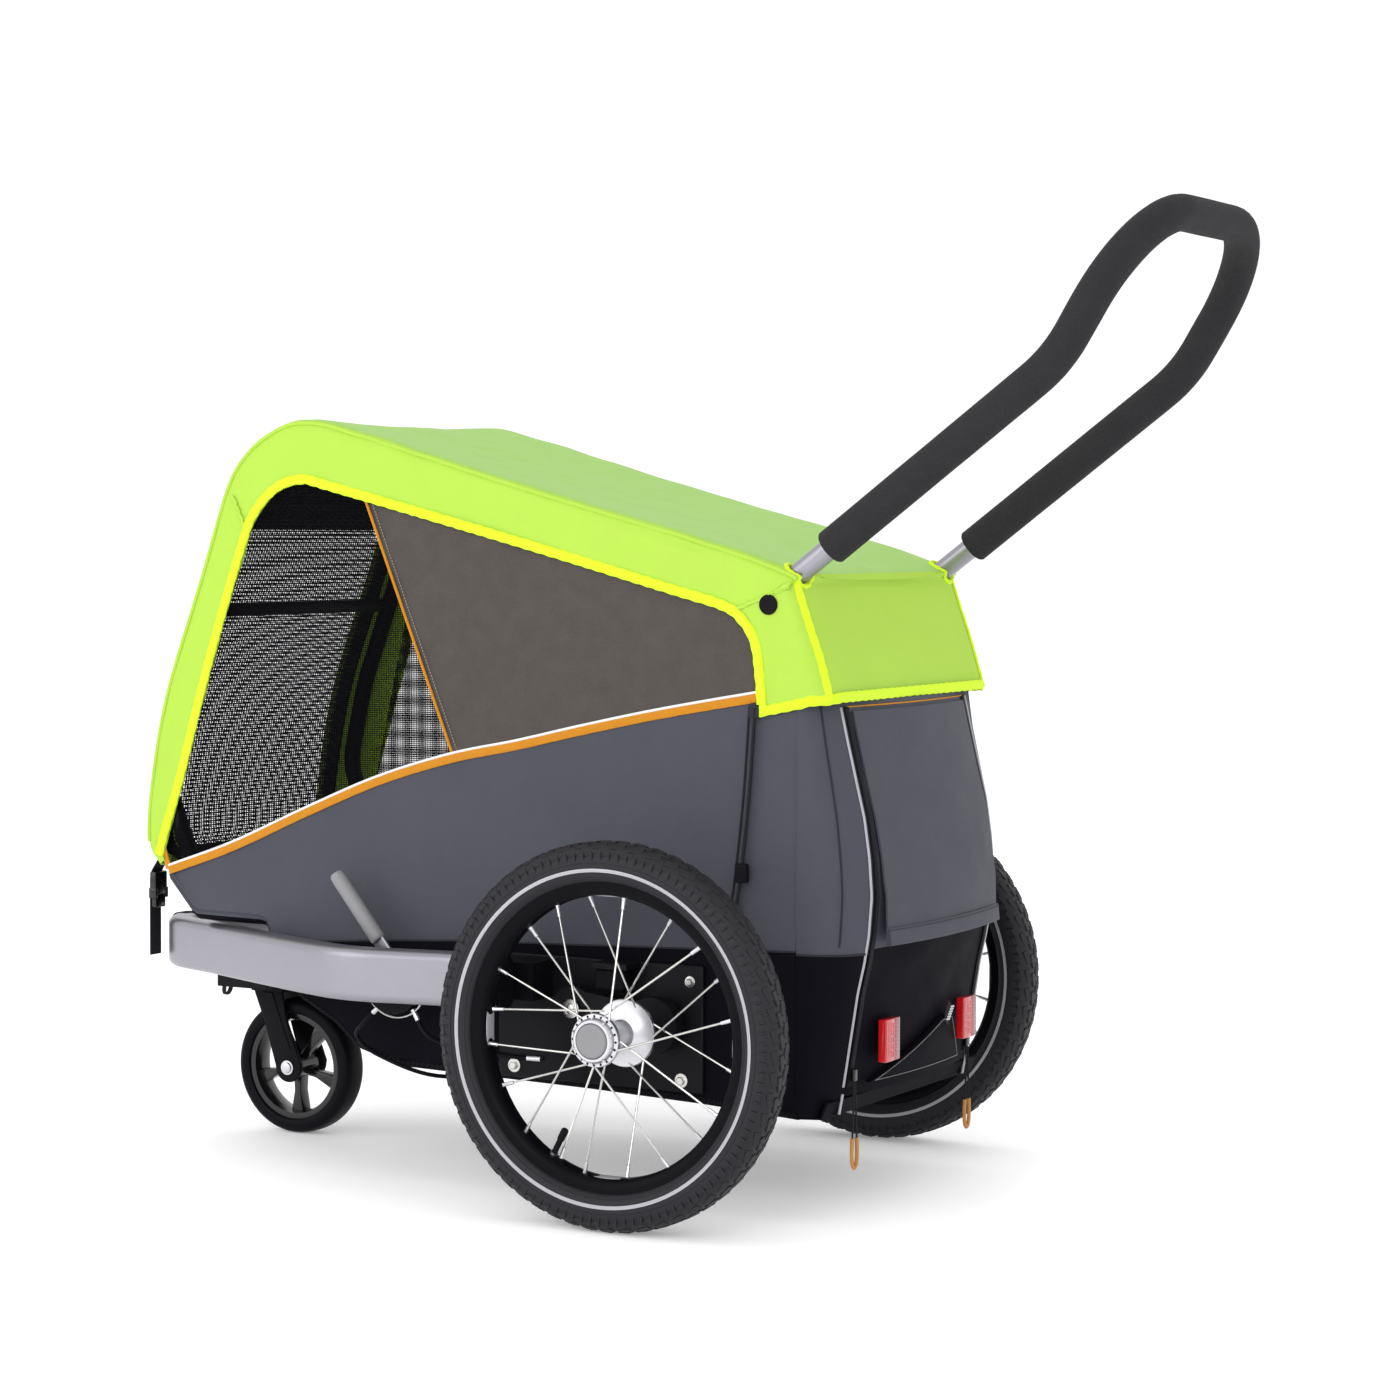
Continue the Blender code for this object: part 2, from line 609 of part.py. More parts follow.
def make_corner(name, side, body):
    """The rear corner, from the flat side round to the zip."""
    rows, count = [], 15
    start_y = CORNER_START_Y + 0.0006
    for i in range(count):
        z = DOOR_BOTTOM_Z + (DOOR_TOP_Z + 0.006 - DOOR_BOTTOM_Z) * i / (count - 1)
        depth = rear_y(z) - start_y
        row = []
        for k in range(6):
            angle = math.radians(90 * k / 5)
            row.append((side * (BODY_HALF_WIDTH - CORNER_WIDTH * (1 - math.cos(angle))),
                        start_y + depth * math.sin(angle), z))
        rows.append(row)
    sheet(name, rows, FABRIC, "panel_grey", body, (-side, -1, 0))


def make_front_window(body):
    """The front of the cabin: black border and fine mesh."""
    line = inset(CROWN, COVER_FABRIC + GAP)
    half = BODY_HALF_WIDTH - FABRIC - 0.018
    rows = [[(-half + 2 * half * k / 4, y, z) for k in range(5)] for y, z in [(-0.6525, 0.336)] + line[1:8]]
    sheet("front_window", rows, FABRIC, "mesh_fabric", body, (0, 1, 0))


def cover_rows():
    """Rows of the cover from its front tip over the roof to the rear hem, as right-half columns."""
    path = CROWN + SEAM
    inner = inset(CROWN, 0.014) + [(y - 0.012, z - 0.002) for y, z in SEAM]
    fold = 0.012
    rows = []
    for index, ((cy, cz), (hy, hz), (iy, iz)) in enumerate(zip(path, HEM, inner)):
        at_seam = index >= len(CROWN)
        x = COVER_HALF_WIDTH
        edge = x - fold if not at_seam else x - fold - 0.010
        middle = ((hy + iy) / 2, (hz + iz) / 2)
        rows.append([
            (x, hy, hz), (x, *middle), (x, iy, iz),
            ((x * 3 + edge) / 4, (iy + cy * 3) / 4, (iz + cz * 3) / 4), (edge, cy, cz),
        ])
    return rows


def make_cover(body):
    """The lime hood: roof, skirts, front border and rear hem, with holes for the push bar."""
    rows = cover_rows()
    roof_start = 6
    vertices, faces, index_of = [], [], {}

    def vertex(i, side, k, point):
        key = (i, side, k)
        if key not in index_of:
            index_of[key] = len(vertices)
            vertices.append((side * point[0], point[1], point[2]))
        return index_of[key]

    border = 0.045
    across = 3
    grid = []
    for i, row in enumerate(rows):
        left = [vertex(i, 1, k, p) for k, p in enumerate(row)]
        right = [vertex(i, -1, k, p) for k, p in enumerate(row)]
        edge_x, y, z = row[-1]
        left.append(vertex(i, 1, 5, (edge_x - border, y, z)))
        right.append(vertex(i, -1, 5, (edge_x - border, y, z)))
        inner = []
        if i >= roof_start:
            reach = edge_x - border
            for k in range(1, across):
                inner.append(vertex(i, 1, 10 + k, (reach - 2 * reach * k / across, y, z)))
        grid.append((left, inner, right))
    for i in range(len(grid) - 1):
        for part in (0, 2):
            here, there = grid[i][part], grid[i + 1][part]
            for k in range(len(here) - 1):
                quad = (here[k], here[k + 1], there[k + 1], there[k])
                faces.append(quad if part == 0 else quad[::-1])
        if i >= roof_start:
            here = [grid[i][0][-1]] + grid[i][1] + [grid[i][2][-1]]
            there = [grid[i + 1][0][-1]] + grid[i + 1][1] + [grid[i + 1][2][-1]]
            for k in range(len(here) - 1):
                faces.append((here[k], here[k + 1], there[k + 1], there[k]))
    mesh = bpy.data.meshes.new("cover")
    mesh.from_pydata(vertices, [], faces)
    highest = max(mesh.polygons, key=lambda face: face.center.z)
    if highest.normal.z < 0:
        mesh.flip_normals()
    mesh.shade_smooth()
    mesh.materials.append(finish("lime_fabric"))
    obj = bpy.data.objects.new("cover", mesh)
    obj.parent = body
    bpy.context.scene.collection.objects.link(obj)
    solid = obj.modifiers.new("thickness", "SOLIDIFY")
    solid.thickness = COVER_FABRIC
    solid.offset = -1
    solid.use_even_offset = True
    for side in (1, -1):
        start, end = along_bar(0.045), along_bar(0.140)
        hole = swept(f"cover_hole_{side}", [(side * BAR_HALF_WIDTH, *start), (side * BAR_HALF_WIDTH, *end)],
                     circle_section(BODY_HALF_WIDTH - FABRIC - BAR_HALF_WIDTH + 0.0006, 12), "lime_fabric", body)
        combine(obj, hole, "DIFFERENCE", "MANIFOLD")


# --- rear door --------------------------------------------------------------------------------------
def make_door(body):
    """The door that the two zips free, its cover flap, reflectors, pouch and zip pulls."""
    hinge = empty("door_hinge", (0, door_y(0, DOOR_TOP_Z), DOOR_TOP_Z), body)
    base = hinge.location
    half = DOOR_HALF_WIDTH - 0.0006
    rows = []
    for i in range(13):
        z = DOOR_BOTTOM_Z + (DOOR_TOP_Z - DOOR_BOTTOM_Z) * i / 12
        rows.append([(x, door_y(x, z) - base.y, z - base.z) for x in (half * (k / 4 - 1) for k in range(9))])
    sheet("rear_door", rows, FABRIC, "panel_grey", hinge, (0, -1, 0))
    flap_top = DOOR_TOP_Z - FLAP_DROP
    flap_y = door_y(0, flap_top, 2 * GAP + FABRIC)
    flap_hinge = empty("flap_hinge", (0, flap_y - base.y, flap_top - base.z), hinge)
    rows = []
    for i in range(8):
        t = i / 7
        z = flap_top - FLAP_LENGTH * t
        stand_off = 2 * GAP + FABRIC + 0.010 * t ** 2
        rows.append([(x, door_y(x, z, stand_off) - flap_y, z - flap_top)
                     for x in (FLAP_HALF_WIDTH * (k / 3 - 1) for k in range(7))])
    sheet("door_flap", rows, FABRIC, "panel_grey", flap_hinge, (0, -1, 0))
    for side, word in ((1, "left"), (-1, "right")):
        y = door_y(0.098 - 0.0175, 0.2075, -GAP)
        box(f"reflector_{word}", (side * 0.098 - 0.0175, y - base.y, 0.1625 - base.z),
            (side * 0.098 + 0.0175, y + 0.010 - base.y, 0.2075 - base.z), "reflector_red", hinge, 0.002)
        make_zip_pull(f"zip_pull_{word}", side, hinge, base)
    make_pouch(hinge, base)


def make_zip_pull(name, side, hinge, base):
    """Slider tab, short cord and ring-shaped pull of one zip, hung from its slider."""
    x, z = side * (DOOR_HALF_WIDTH - 0.008), 0.150
    y = door_y(x, z, 0.002 + 2 * GAP)
    pivot = empty(name + "_pivot", (x, y - base.y, z - base.z), hinge)
    path = [(0, 0, 0), (0, 0.001, -0.020), (0.004, 0.001, -0.050), (0.007, 0.001, -0.080),
            (0.005, 0.001, -0.092), (0.0, 0.001, -0.096), (-0.005, 0.001, -0.092), (-0.007, 0.001, -0.080)]
    swept(name, path, circle_section(0.002, 6), "orange_cord", pivot, Vector((0, 1, 0)))


def make_pouch(hinge, base):
    """The small folded pouch at the foot of the door: a wedge with a blunt tip."""
    foot, tip = (0.118, -0.098, 0.141), (-0.028, -0.056, 0.192)
    rows = []
    for i in range(4):
        left, right, z = (a + (b - a) * i / 3 for a, b in zip(foot, tip))
        xs = [left + (right - left) * k / 6 for k in range(7)]
        rows.append([(x, door_y(x, z, 0.0070) - base.y, z - base.z) for x in xs])
    sheet("pouch", rows, 0.006, "black_fabric", hinge, (0, -1, 0))


# --- bumper and its fittings ----------------------------------------------------------------------------
def bumper_plan():
    """Left half of the bumper's centre line, from its rear end to the middle of its front."""
    side = BODY_HALF_WIDTH
    return [
        (BUMPER_SIDE_X, BUMPER_REAR_Y), (BUMPER_SIDE_X + 0.003, -0.225), (side + 0.088, -0.345),
        (side + 0.058, -0.425), (side - 0.026, -0.607), (side - 0.058, BUMPER_FRONT_Y), (0.0, BUMPER_FRONT_Y),
    ]


def make_bumper(body):
    """The wide aluminium tube that goes round the nose of the cabin."""
    half = smooth_path([(x, y, BUMPER_Z) for x, y in bumper_plan()], 0.045, 3)
    path = half[:-1] + [(-p[0], p[1], p[2]) for p in reversed(half[:-1])]
    swept("bumper", path, rounded_section(BUMPER_DEPTH, BUMPER_HEIGHT, BUMPER_CORNER), "aluminium", body)


def make_strap(name, side, body):
    """Webbing from the tip of the cover down round the bumper, with its side-release buckle."""
    x = side * (COVER_HALF_WIDTH - 0.052)
    front = BUMPER_FRONT_Y - BUMPER_DEPTH / 2 - GAP - STRAP_THICKNESS / 2
    top = BUMPER_Z + BUMPER_HEIGHT / 2
    stand = STRAP_THICKNESS / 2 + GAP
    path = [(x, -0.6822 - stand, 0.368), (x, -0.6840 - stand, 0.348), (x, front, 0.316), (x, front, top - 0.008),
            (x, front, BUMPER_BOTTOM_Z + 0.012)]
    section = [(-0.010, -STRAP_THICKNESS / 2), (0.010, -STRAP_THICKNESS / 2),
               (0.010, STRAP_THICKNESS / 2), (-0.010, STRAP_THICKNESS / 2)]
    strap = swept(f"cover_strap_{name}", path, section, "black_fabric", body, Vector((0, 1, 0)))
    buckle = box(f"buckle_helper_{name}", (x - 0.012, front, 0.276), (x + 0.012, front + 0.009, 0.318),
                 "black_plastic", body)
    combine(strap, buckle, "UNION")


def make_elastic(name, side, body):
    """The elastic that pulls the cover's rear corner down to the base frame."""
    x = side * (COVER_HALF_WIDTH + 0.0025)
    path = smooth_path([(x, 0.104, 0.534), (x, 0.098, 0.440), (x, 0.085, 0.330), (x, 0.068, 0.255)], 0.05, 4)
    swept(name, path, circle_section(0.002, 6), "black_fabric", body, Vector((1, 0, 0)))


# --- wheels and suspension --------------------------------------------------------------------------------
def make_side_plate(name, side, body):
    """The plate on the body's side that carries the arm's pivot and the bumper."""
    x0 = BODY_HALF_WIDTH + 2 * GAP
    plate = box(name, (min(side * x0, side * (x0 + PLATE_THICKNESS)), -0.205, 0.128),
                (max(side * x0, side * (x0 + PLATE_THICKNESS)), 0.045, 0.262), "black_paint", body, 0.0015)
    pin_end = side * (ARM_X + ARM_THICKNESS + 0.003)
    pin = disc(name + "_pin_helper", side * (x0 + 0.002), pin_end, PIVOT_RADIUS, 16, "black_paint", body,
               (0, *ARM_PIVOT))
    combine(plate, pin, "UNION")
    high = BUMPER_SIDE_X - BUMPER_DEPTH / 2 - GAP
    mount = side_box(name + "_mount_helper", side, (x0 + 0.002, high),
                     (BUMPER_REAR_Y - 0.006, BUMPER_REAR_Y + 0.028), (BUMPER_Z - 0.020, BUMPER_Z + 0.020), body)
    combine(plate, mount, "UNION")
    stop = side_box(name + "_stop_helper", side, (x0 + 0.002, ARM_X + ARM_THICKNESS), (-0.072, -0.030),
                    (0.2563, 0.2619), body)
    return combine(plate, stop, "UNION")


def side_box(name, side, x_span, y_span, z_span, parent):
    """A plain box given for the left-hand side and mirrored for the other."""
    low, high = sorted(side * x for x in x_span)
    return box(name, (low, y_span[0], z_span[0]), (high, y_span[1], z_span[1]), "black_paint", parent)


def make_arm(side, word, body):
    """The swing arm with the wheel's stub axle, on its pivot empty; returns the empty."""
    pivot = empty(f"arm_pivot_{word}", (0, *ARM_PIVOT), body)
    to_axle = Vector((0, -ARM_PIVOT[0], 0.200 - ARM_PIVOT[1]))
    low, high = side * ARM_X, side * (ARM_X + ARM_THICKNESS)
    arm = disc(f"swing_arm_{word}", low, high, 0.030, 20, "black_paint", pivot, to_axle)
    beam = box_data((min(low, high), 0, -0.020), (max(low, high), to_axle.length, 0.020))
    web = mesh_object(f"arm_web_{word}", *beam, "black_paint", pivot)
    web.rotation_euler.x = math.atan2(to_axle.z, to_axle.y)
    combine(arm, web, "UNION")
    combine(arm, disc(f"arm_boss_{word}", low, high, 0.024, 20, "black_paint", pivot), "UNION")
    bore = disc(f"arm_bore_{word}", low - side * 0.01, high + side * 0.01, PIVOT_RADIUS + GAP, 16,
                "black_paint", pivot)
    combine(arm, bore, "DIFFERENCE")
    axle = disc(f"axle_helper_{word}", side * (ARM_X + 0.0045), side * (WHEEL_X + HUB_HALF_LENGTH - 0.010),
                AXLE_RADIUS, 14, "polished", pivot, to_axle)
    combine(arm, axle, "UNION")
    return pivot, to_axle


def make_elastomer(name, side, body):
    """The rubber block between the side plate's stop and the arm."""
    near, far = sorted((side * (ARM_X + 0.001), side * (ARM_X + 0.014)))
    box(name, (near, -0.070, 0.2335), (far, -0.034, 0.2560), "rubber", body, 0.003)


def make_tyre(name, wheel):
    """Tyre as a ring whose section is a rounded arch on the rim."""
    half = TYRE_WIDTH / 2
    inner = RIM_RADIUS + GAP
    arch = [(-0.52, 0), (-0.75, 0.06), (-0.94, 0.26), (-1, 0.50), (-0.90, 0.74), (-0.60, 0.93), (-0.22, 1.0)]
    section = [(half * x, inner + (WHEEL_RADIUS - inner) * r) for x, r in arch]
    section += [(-x, r) for x, r in reversed(section)]
    lathe(name, section, WHEEL_SIDES, "rubber", wheel, closed=True)


def make_rim(name, wheel):
    """The black rim, a shallow box section."""
    half = RIM_WIDTH / 2
    inner = RIM_RADIUS - RIM_DEPTH
    section = [(-half * 0.55, inner), (half * 0.55, inner), (half, RIM_RADIUS - 0.006), (half, RIM_RADIUS),
               (-half, RIM_RADIUS), (-half, RIM_RADIUS - 0.006)]
    return lathe(name, section, WHEEL_SIDES, "black_paint", wheel, closed=True)


def spokes_data():
    """All spokes as square bars from the flanges to the rim."""
    vertices, faces = [], []
    rim_end = (RIM_RADIUS - RIM_DEPTH) * math.cos(math.pi / WHEEL_SIDES) - GAP
    for flange, radius, lean in ((1, HUB_FLANGE_RADIUS - 0.005, 1), (-1, HUB_INNER_FLANGE_RADIUS - 0.005, -1)):
        for k in range(SPOKES_PER_FLANGE):
            angle = math.tau * (k + 0.25 * flange) / SPOKES_PER_FLANGE
            turn = lean * math.radians(38) * (1 if k % 2 else -1)
            x0 = flange * (HUB_HALF_LENGTH - 0.003 + (0.0022 if k % 2 else -0.0022))
            start = Vector((x0, radius * math.cos(angle), radius * math.sin(angle)))
            end = Vector((flange * 0.004, rim_end * math.cos(angle + turn), rim_end * math.sin(angle + turn)))
            path = [start, end]
            more, sides = sweep_data(path, circle_section(SPOKE_RADIUS, 4), Vector((1, 0, 0)))
            base = len(vertices)
            vertices += more
            faces += [tuple(base + v for v in face) for face in sides]
    return vertices, faces


def make_hub(side, word, wheel):
    """Hub with both flanges and its spokes, bored for the axle and recessed for the button."""
    length = HUB_HALF_LENGTH
    profile = [
        (-length - 0.003, 0.013), (-length, 0.016), (-length, HUB_INNER_FLANGE_RADIUS),
        (-length + 0.006, HUB_INNER_FLANGE_RADIUS), (-length + 0.012, HUB_WAIST_RADIUS),
        (length - 0.010, HUB_WAIST_RADIUS), (length - 0.006, HUB_FLANGE_RADIUS), (length, HUB_FLANGE_RADIUS),
        (length + HUB_NOSE, BUTTON_RADIUS + 0.0035),
    ]
    hub = lathe(f"hub_{word}", [(side * x, r) for x, r in profile], 24, "polished", wheel)
    spokes = mesh_object(f"spokes_{word}", *spokes_data(), "polished", wheel)
    spokes.scale.x = side
    combine(hub, spokes, "UNION")
    bore = disc(f"hub_bore_{word}", side * -0.05, side * (length - 0.004), AXLE_RADIUS + RUNNING_GAP, 14,
                "polished", wheel)
    combine(hub, bore, "DIFFERENCE")
    recess = disc(f"hub_recess_{word}", side * (length - 0.0045), side * 0.05, BUTTON_RADIUS + GAP, 20,
                  "polished", wheel)
    combine(hub, recess, "DIFFERENCE")


def make_wheel(side, word, arm, to_axle):
    """One 16 inch wheel on its stub axle."""
    wheel = empty(f"wheel_spin_{word}", to_axle + Vector((side * WHEEL_X, 0, 0)), arm)
    make_tyre(f"tyre_{word}", wheel)
    rim = make_rim(f"rim_{word}", wheel)
    make_hub(side, word, wheel)
    outer = HUB_HALF_LENGTH + HUB_NOSE
    lathe(f"release_button_{word}",
          [(side * (HUB_HALF_LENGTH - 0.0045 + BUTTON_TRAVEL + GAP), BUTTON_RADIUS - GAP),
           (side * (outer + 0.0005), BUTTON_RADIUS - GAP), (side * (outer + 0.002), BUTTON_RADIUS - 0.003)],
          20, "grey_plastic", wheel)
    stem_inner = RIM_RADIUS - RIM_DEPTH + 0.004
    valve = lathe(f"valve_{word}", [(0, 0.003), (0.008, 0.0042), (0.030, 0.0042), (0.038, 0.0028)], 8,
                  "black_plastic", wheel)
    angle = math.radians(-118)
    valve.location = (0, stem_inner * math.cos(angle), stem_inner * math.sin(angle))
    inward = Vector((0, -math.cos(angle), -math.sin(angle)))
    valve.rotation_euler = inward.to_track_quat("X", "Z").to_euler()
    combine(rim, valve, "UNION")


# --- parking brake ----------------------------------------------------------------------------------------
def make_brake(body):
    """Round housing on the bumper, the lever on its pivot, and the two cables."""
    inner = min(bumper_inner_x(LEVER_Y + reach) for reach in (-BRAKE_HOUSING_RADIUS, BRAKE_HOUSING_RADIUS))
    thick = BRAKE_HOUSING_DEPTH
    housing = disc("brake_housing", inner - thick, inner, BRAKE_HOUSING_RADIUS, 28, "black_plastic", body,
                   (0, LEVER_Y, LEVER_Z))
    pin = disc("brake_pin_helper", inner - thick - 0.0085, inner - thick + 0.004, LEVER_PIN_RADIUS, 12,
               "black_plastic", body, (0, LEVER_Y, LEVER_Z))
    combine(housing, pin, "UNION")
    pivot = empty("lever_pivot", (0, LEVER_Y, LEVER_Z), body)
    x1 = inner - thick - GAP
    hub = disc("brake_lever", x1 - 0.008, x1, LEVER_HUB_RADIUS, 16, "aluminium", pivot)
    direction = Vector((0, math.cos(LEVER_ANGLE), math.sin(LEVER_ANGLE)))
    mid_x = Vector((x1 - 0.004, 0, 0))
    blade = swept("lever_blade", [mid_x + direction * 0.004, mid_x + direction * BLADE_END],
                  rounded_section(BLADE_THICKNESS, BLADE_WIDTH, 0.002, 1), "aluminium", pivot)
    combine(hub, blade, "UNION")
    bore = disc("lever_bore", x1 - 0.02, x1 + 0.01, LEVER_PIN_RADIUS + GAP, 12, "aluminium", pivot)
    combine(hub, bore, "DIFFERENCE")
    grip = swept("lever_grip", [mid_x + direction * 0.052, mid_x + direction * LEVER_LENGTH],
                 circle_section(0.0085, 12), "grey_plastic", pivot)
    slot = swept("grip_slot", [mid_x + direction * 0.040, mid_x + direction * (BLADE_END + GAP)],
                 rounded_section(BLADE_THICKNESS + 2 * GAP, BLADE_WIDTH + 2 * GAP, 0.002, 1), "grey_plastic", pivot)
    combine(grip, slot, "DIFFERENCE")
    return inner - thick / 2


def bumper_inner_x(y):
    """x of the bumper's inner face beside a point of its side."""
    plan = sorted((py, px) for px, py in bumper_plan()[:5])
    return height_on(plan, y) - BUMPER_DEPTH / 2 * 1.04 - GAP


def make_cables(body, housing_x):
    """Brake cables, from the housing's underside to the clips on the side plates."""
    bottom = LEVER_Z - BRAKE_HOUSING_RADIUS
    clip_x = BODY_HALF_WIDTH + 2 * GAP + PLATE_THICKNESS + GAP + CABLE_RADIUS
    left = [(housing_x, LEVER_Y + 0.022, bottom + 0.0055), (housing_x - 0.003, -0.268, 0.170),
            (clip_x + 0.006, -0.235, 0.155), (clip_x, -0.195, 0.150), (clip_x, -0.150, 0.150)]
    right = [(housing_x, LEVER_Y - 0.022, bottom + 0.0055), (housing_x - 0.002, -0.352, 0.180),
             (housing_x - 0.012, -0.368, 0.162), (housing_x - 0.030, -0.352, 0.140), (0.180, -0.300, 0.1165),
             (0.100, -0.262, 0.1140), (-0.100, -0.220, 0.1140), (-0.184, -0.200, 0.1140),
             (-clip_x - 0.001, -0.186, 0.124), (-clip_x - 0.0004, -0.165, 0.145), (-clip_x, -0.145, 0.160)]
    for name, points in (("brake_cable_left", left), ("brake_cable_right", right)):
        curve = bpy.data.curves.new(name, "CURVE")
        curve.dimensions = "3D"
        curve.bevel_depth = CABLE_RADIUS
        curve.bevel_resolution = 2
        curve.use_fill_caps = True
        spline = curve.splines.new("POLY")
        smooth = catmull(points, 6)
        spline.points.add(len(smooth) - 1)
        for target, point in zip(spline.points, smooth):
            target.co = (*point, 1)
        curve.materials.append(finish("black_plastic"))
        obj = bpy.data.objects.new(name, curve)
        obj.parent = body
        bpy.context.scene.collection.objects.link(obj)


def catmull(points, steps):
    """A smooth curve through points."""
    points = [Vector(p) for p in points]
    points = [points[0] * 2 - points[1]] + points + [points[-1] * 2 - points[-2]]
    curve = []
    for a, b, c, d in zip(points, points[1:], points[2:], points[3:]):
        for k in range(steps):
            t = k / steps
            curve.append(0.5 * (2 * b + (c - a) * t + (2 * a - 5 * b + 4 * c - d) * t * t
                                + (3 * b - a - 3 * c + d) * t ** 3))
    curve.append(points[-2])
    return curve


# --- caster -------------------------------------------------------------------------------------------------
def make_caster_bracket(body):
    """The steel bracket under the bumper, with the rails that the caster's carriage slides in."""
    top = BUMPER_BOTTOM_Z - GAP
    bracket = box("caster_bracket", (-0.048, BUMPER_FRONT_Y - 0.010, top - BRACKET_THICKNESS),
                  (0.048, -0.560, top), "black_paint", body)
    for side in (1, -1):
        rail = box(f"rail_helper_{side}", (min(side * 0.0306, side * 0.042), -0.672, CARRIAGE_TOP_Z - 0.020),
                   (max(side * 0.0306, side * 0.042), -0.565, top - 0.001), "black_paint", body)
        combine(bracket, rail, "UNION")
        lip = box(f"lip_helper_{side}", (min(side * 0.024, side * 0.036), -0.672, CARRIAGE_TOP_Z - 0.0200),
                  (max(side * 0.024, side * 0.036), -0.565, CARRIAGE_TOP_Z - 0.0165), "black_paint", body)
        combine(bracket, lip, "UNION")
        clip = side_box(f"clip_helper_{side}", side, (0.047, 0.082), (-0.668, -0.600),
                        (BUMPER_BOTTOM_Z - 0.030, top - 0.001), body)
        combine(bracket, clip, "UNION")


def make_caster(body):
    """The slide-in carriage with its index pin, the swivelling fork and the small wheel."""
    carriage = box("caster_carriage", (-0.0300, -0.685, CARRIAGE_TOP_Z - 0.0160),
                   (0.0300, -0.575, CARRIAGE_TOP_Z), "black_plastic", body)
    tongue = box("carriage_foot", (-0.0234, -0.672, CARRIAGE_TOP_Z - CARRIAGE_HEIGHT),
                 (0.0234, -0.600, CARRIAGE_TOP_Z - 0.015), "black_plastic", body)
    combine(carriage, tongue, "UNION")
    stem_top = CROWN_TOP_Z + CARRIAGE_HEIGHT - 0.006
    bore = swept("carriage_bore", [(0, SWIVEL_Y, CROWN_TOP_Z - 0.010), (0, SWIVEL_Y, stem_top + GAP)],
                 circle_section(STEM_RADIUS + RUNNING_GAP, 16), "black_plastic", body, Vector((0, 1, 0)))
    combine(carriage, bore, "DIFFERENCE")
    pin_z = CARRIAGE_TOP_Z - 0.008
    pin_bore = swept("pin_bore", [(PIN_X, -0.70, pin_z), (PIN_X, -0.668, pin_z)],
                     circle_section(PIN_RADIUS + RUNNING_GAP, 10), "black_plastic", body)
    combine(carriage, pin_bore, "DIFFERENCE")
    knob = swept("index_knob", [(PIN_X, -0.7035, pin_z), (PIN_X, -0.6995, pin_z), (PIN_X, -0.6895, pin_z)],
                 circle_section(0.0085, 14), "polished", body)
    shank = swept("index_shank", [(PIN_X, -0.692, pin_z), (PIN_X, -0.6745, pin_z)],
                  circle_section(PIN_RADIUS, 10), "polished", body)
    combine(knob, shank, "UNION")
    swivel = empty("caster_swivel", (0, SWIVEL_Y, CROWN_TOP_Z), body)
    make_fork(swivel)
    trail = CASTER_Y - SWIVEL_Y
    axle_drop = CROWN_TOP_Z + BODY_LIFT - CASTER_RADIUS
    spin = empty("caster_spin", (0, trail, -axle_drop), swivel)
    make_caster_wheel(spin)


def make_fork(swivel):
    """Crown, stem and two legs that trail to the wheel's axle."""
    up = Vector((0, 1, 0))
    fork = swept("fork", [(0, 0, -CROWN_HEIGHT), (0, 0, 0)], circle_section(0.023, 20), "black_plastic", swivel, up)
    stem = swept("stem_helper", [(0, 0, -0.004), (0, 0, CARRIAGE_HEIGHT - 0.006)],
                 circle_section(STEM_RADIUS, 14), "black_plastic", swivel, up)
    combine(fork, stem, "UNION")
    drop = CROWN_TOP_Z + BODY_LIFT - CASTER_RADIUS
    trail = CASTER_Y - SWIVEL_Y
    inner = CASTER_WIDTH / 2 + 0.003
    bridge = box("fork_bridge", (-inner - FORK_LEG, -0.020, -CROWN_HEIGHT), (inner + FORK_LEG, 0.026, -0.002),
                 "black_plastic", swivel)
    combine(fork, bridge, "UNION")
    for side in (1, -1):
        outline = [(-0.018, -0.003), (0.024, -0.003), (trail + 0.018, -drop + 0.004),
                   (trail + 0.013, -drop - 0.013), (trail, -drop - 0.018), (trail - 0.013, -drop - 0.013),
                   (trail - 0.018, -drop + 0.004)]
        x0, x1 = side * inner, side * (inner + FORK_LEG)
        count = len(outline)
        vertices = [(x0, y, z) for y, z in outline] + [(x1, y, z) for y, z in outline]
        faces = [tuple(range(count)), tuple(range(count, 2 * count))]
        faces += [(k, (k + 1) % count, count + (k + 1) % count, count + k) for k in range(count)]
        combine(fork, mesh_object(f"fork_leg_{side}", vertices, faces, "black_plastic", swivel), "UNION")
    hole = disc("fork_axle_hole", -0.05, 0.05, CASTER_AXLE_RADIUS + GAP, 12, "black_plastic", swivel,
                (0, trail, -drop))
    combine(fork, hole, "DIFFERENCE")
    reach = inner + FORK_LEG
    half = [(reach + GAP, CASTER_AXLE_RADIUS), (reach + GAP, BOLT_HEAD_RADIUS), (reach + 0.004, BOLT_HEAD_RADIUS)]
    profile = [(-x, r) for x, r in reversed(half)] + half
    lathe("caster_axle", profile, 12, "polished", swivel, (0, trail, -drop))


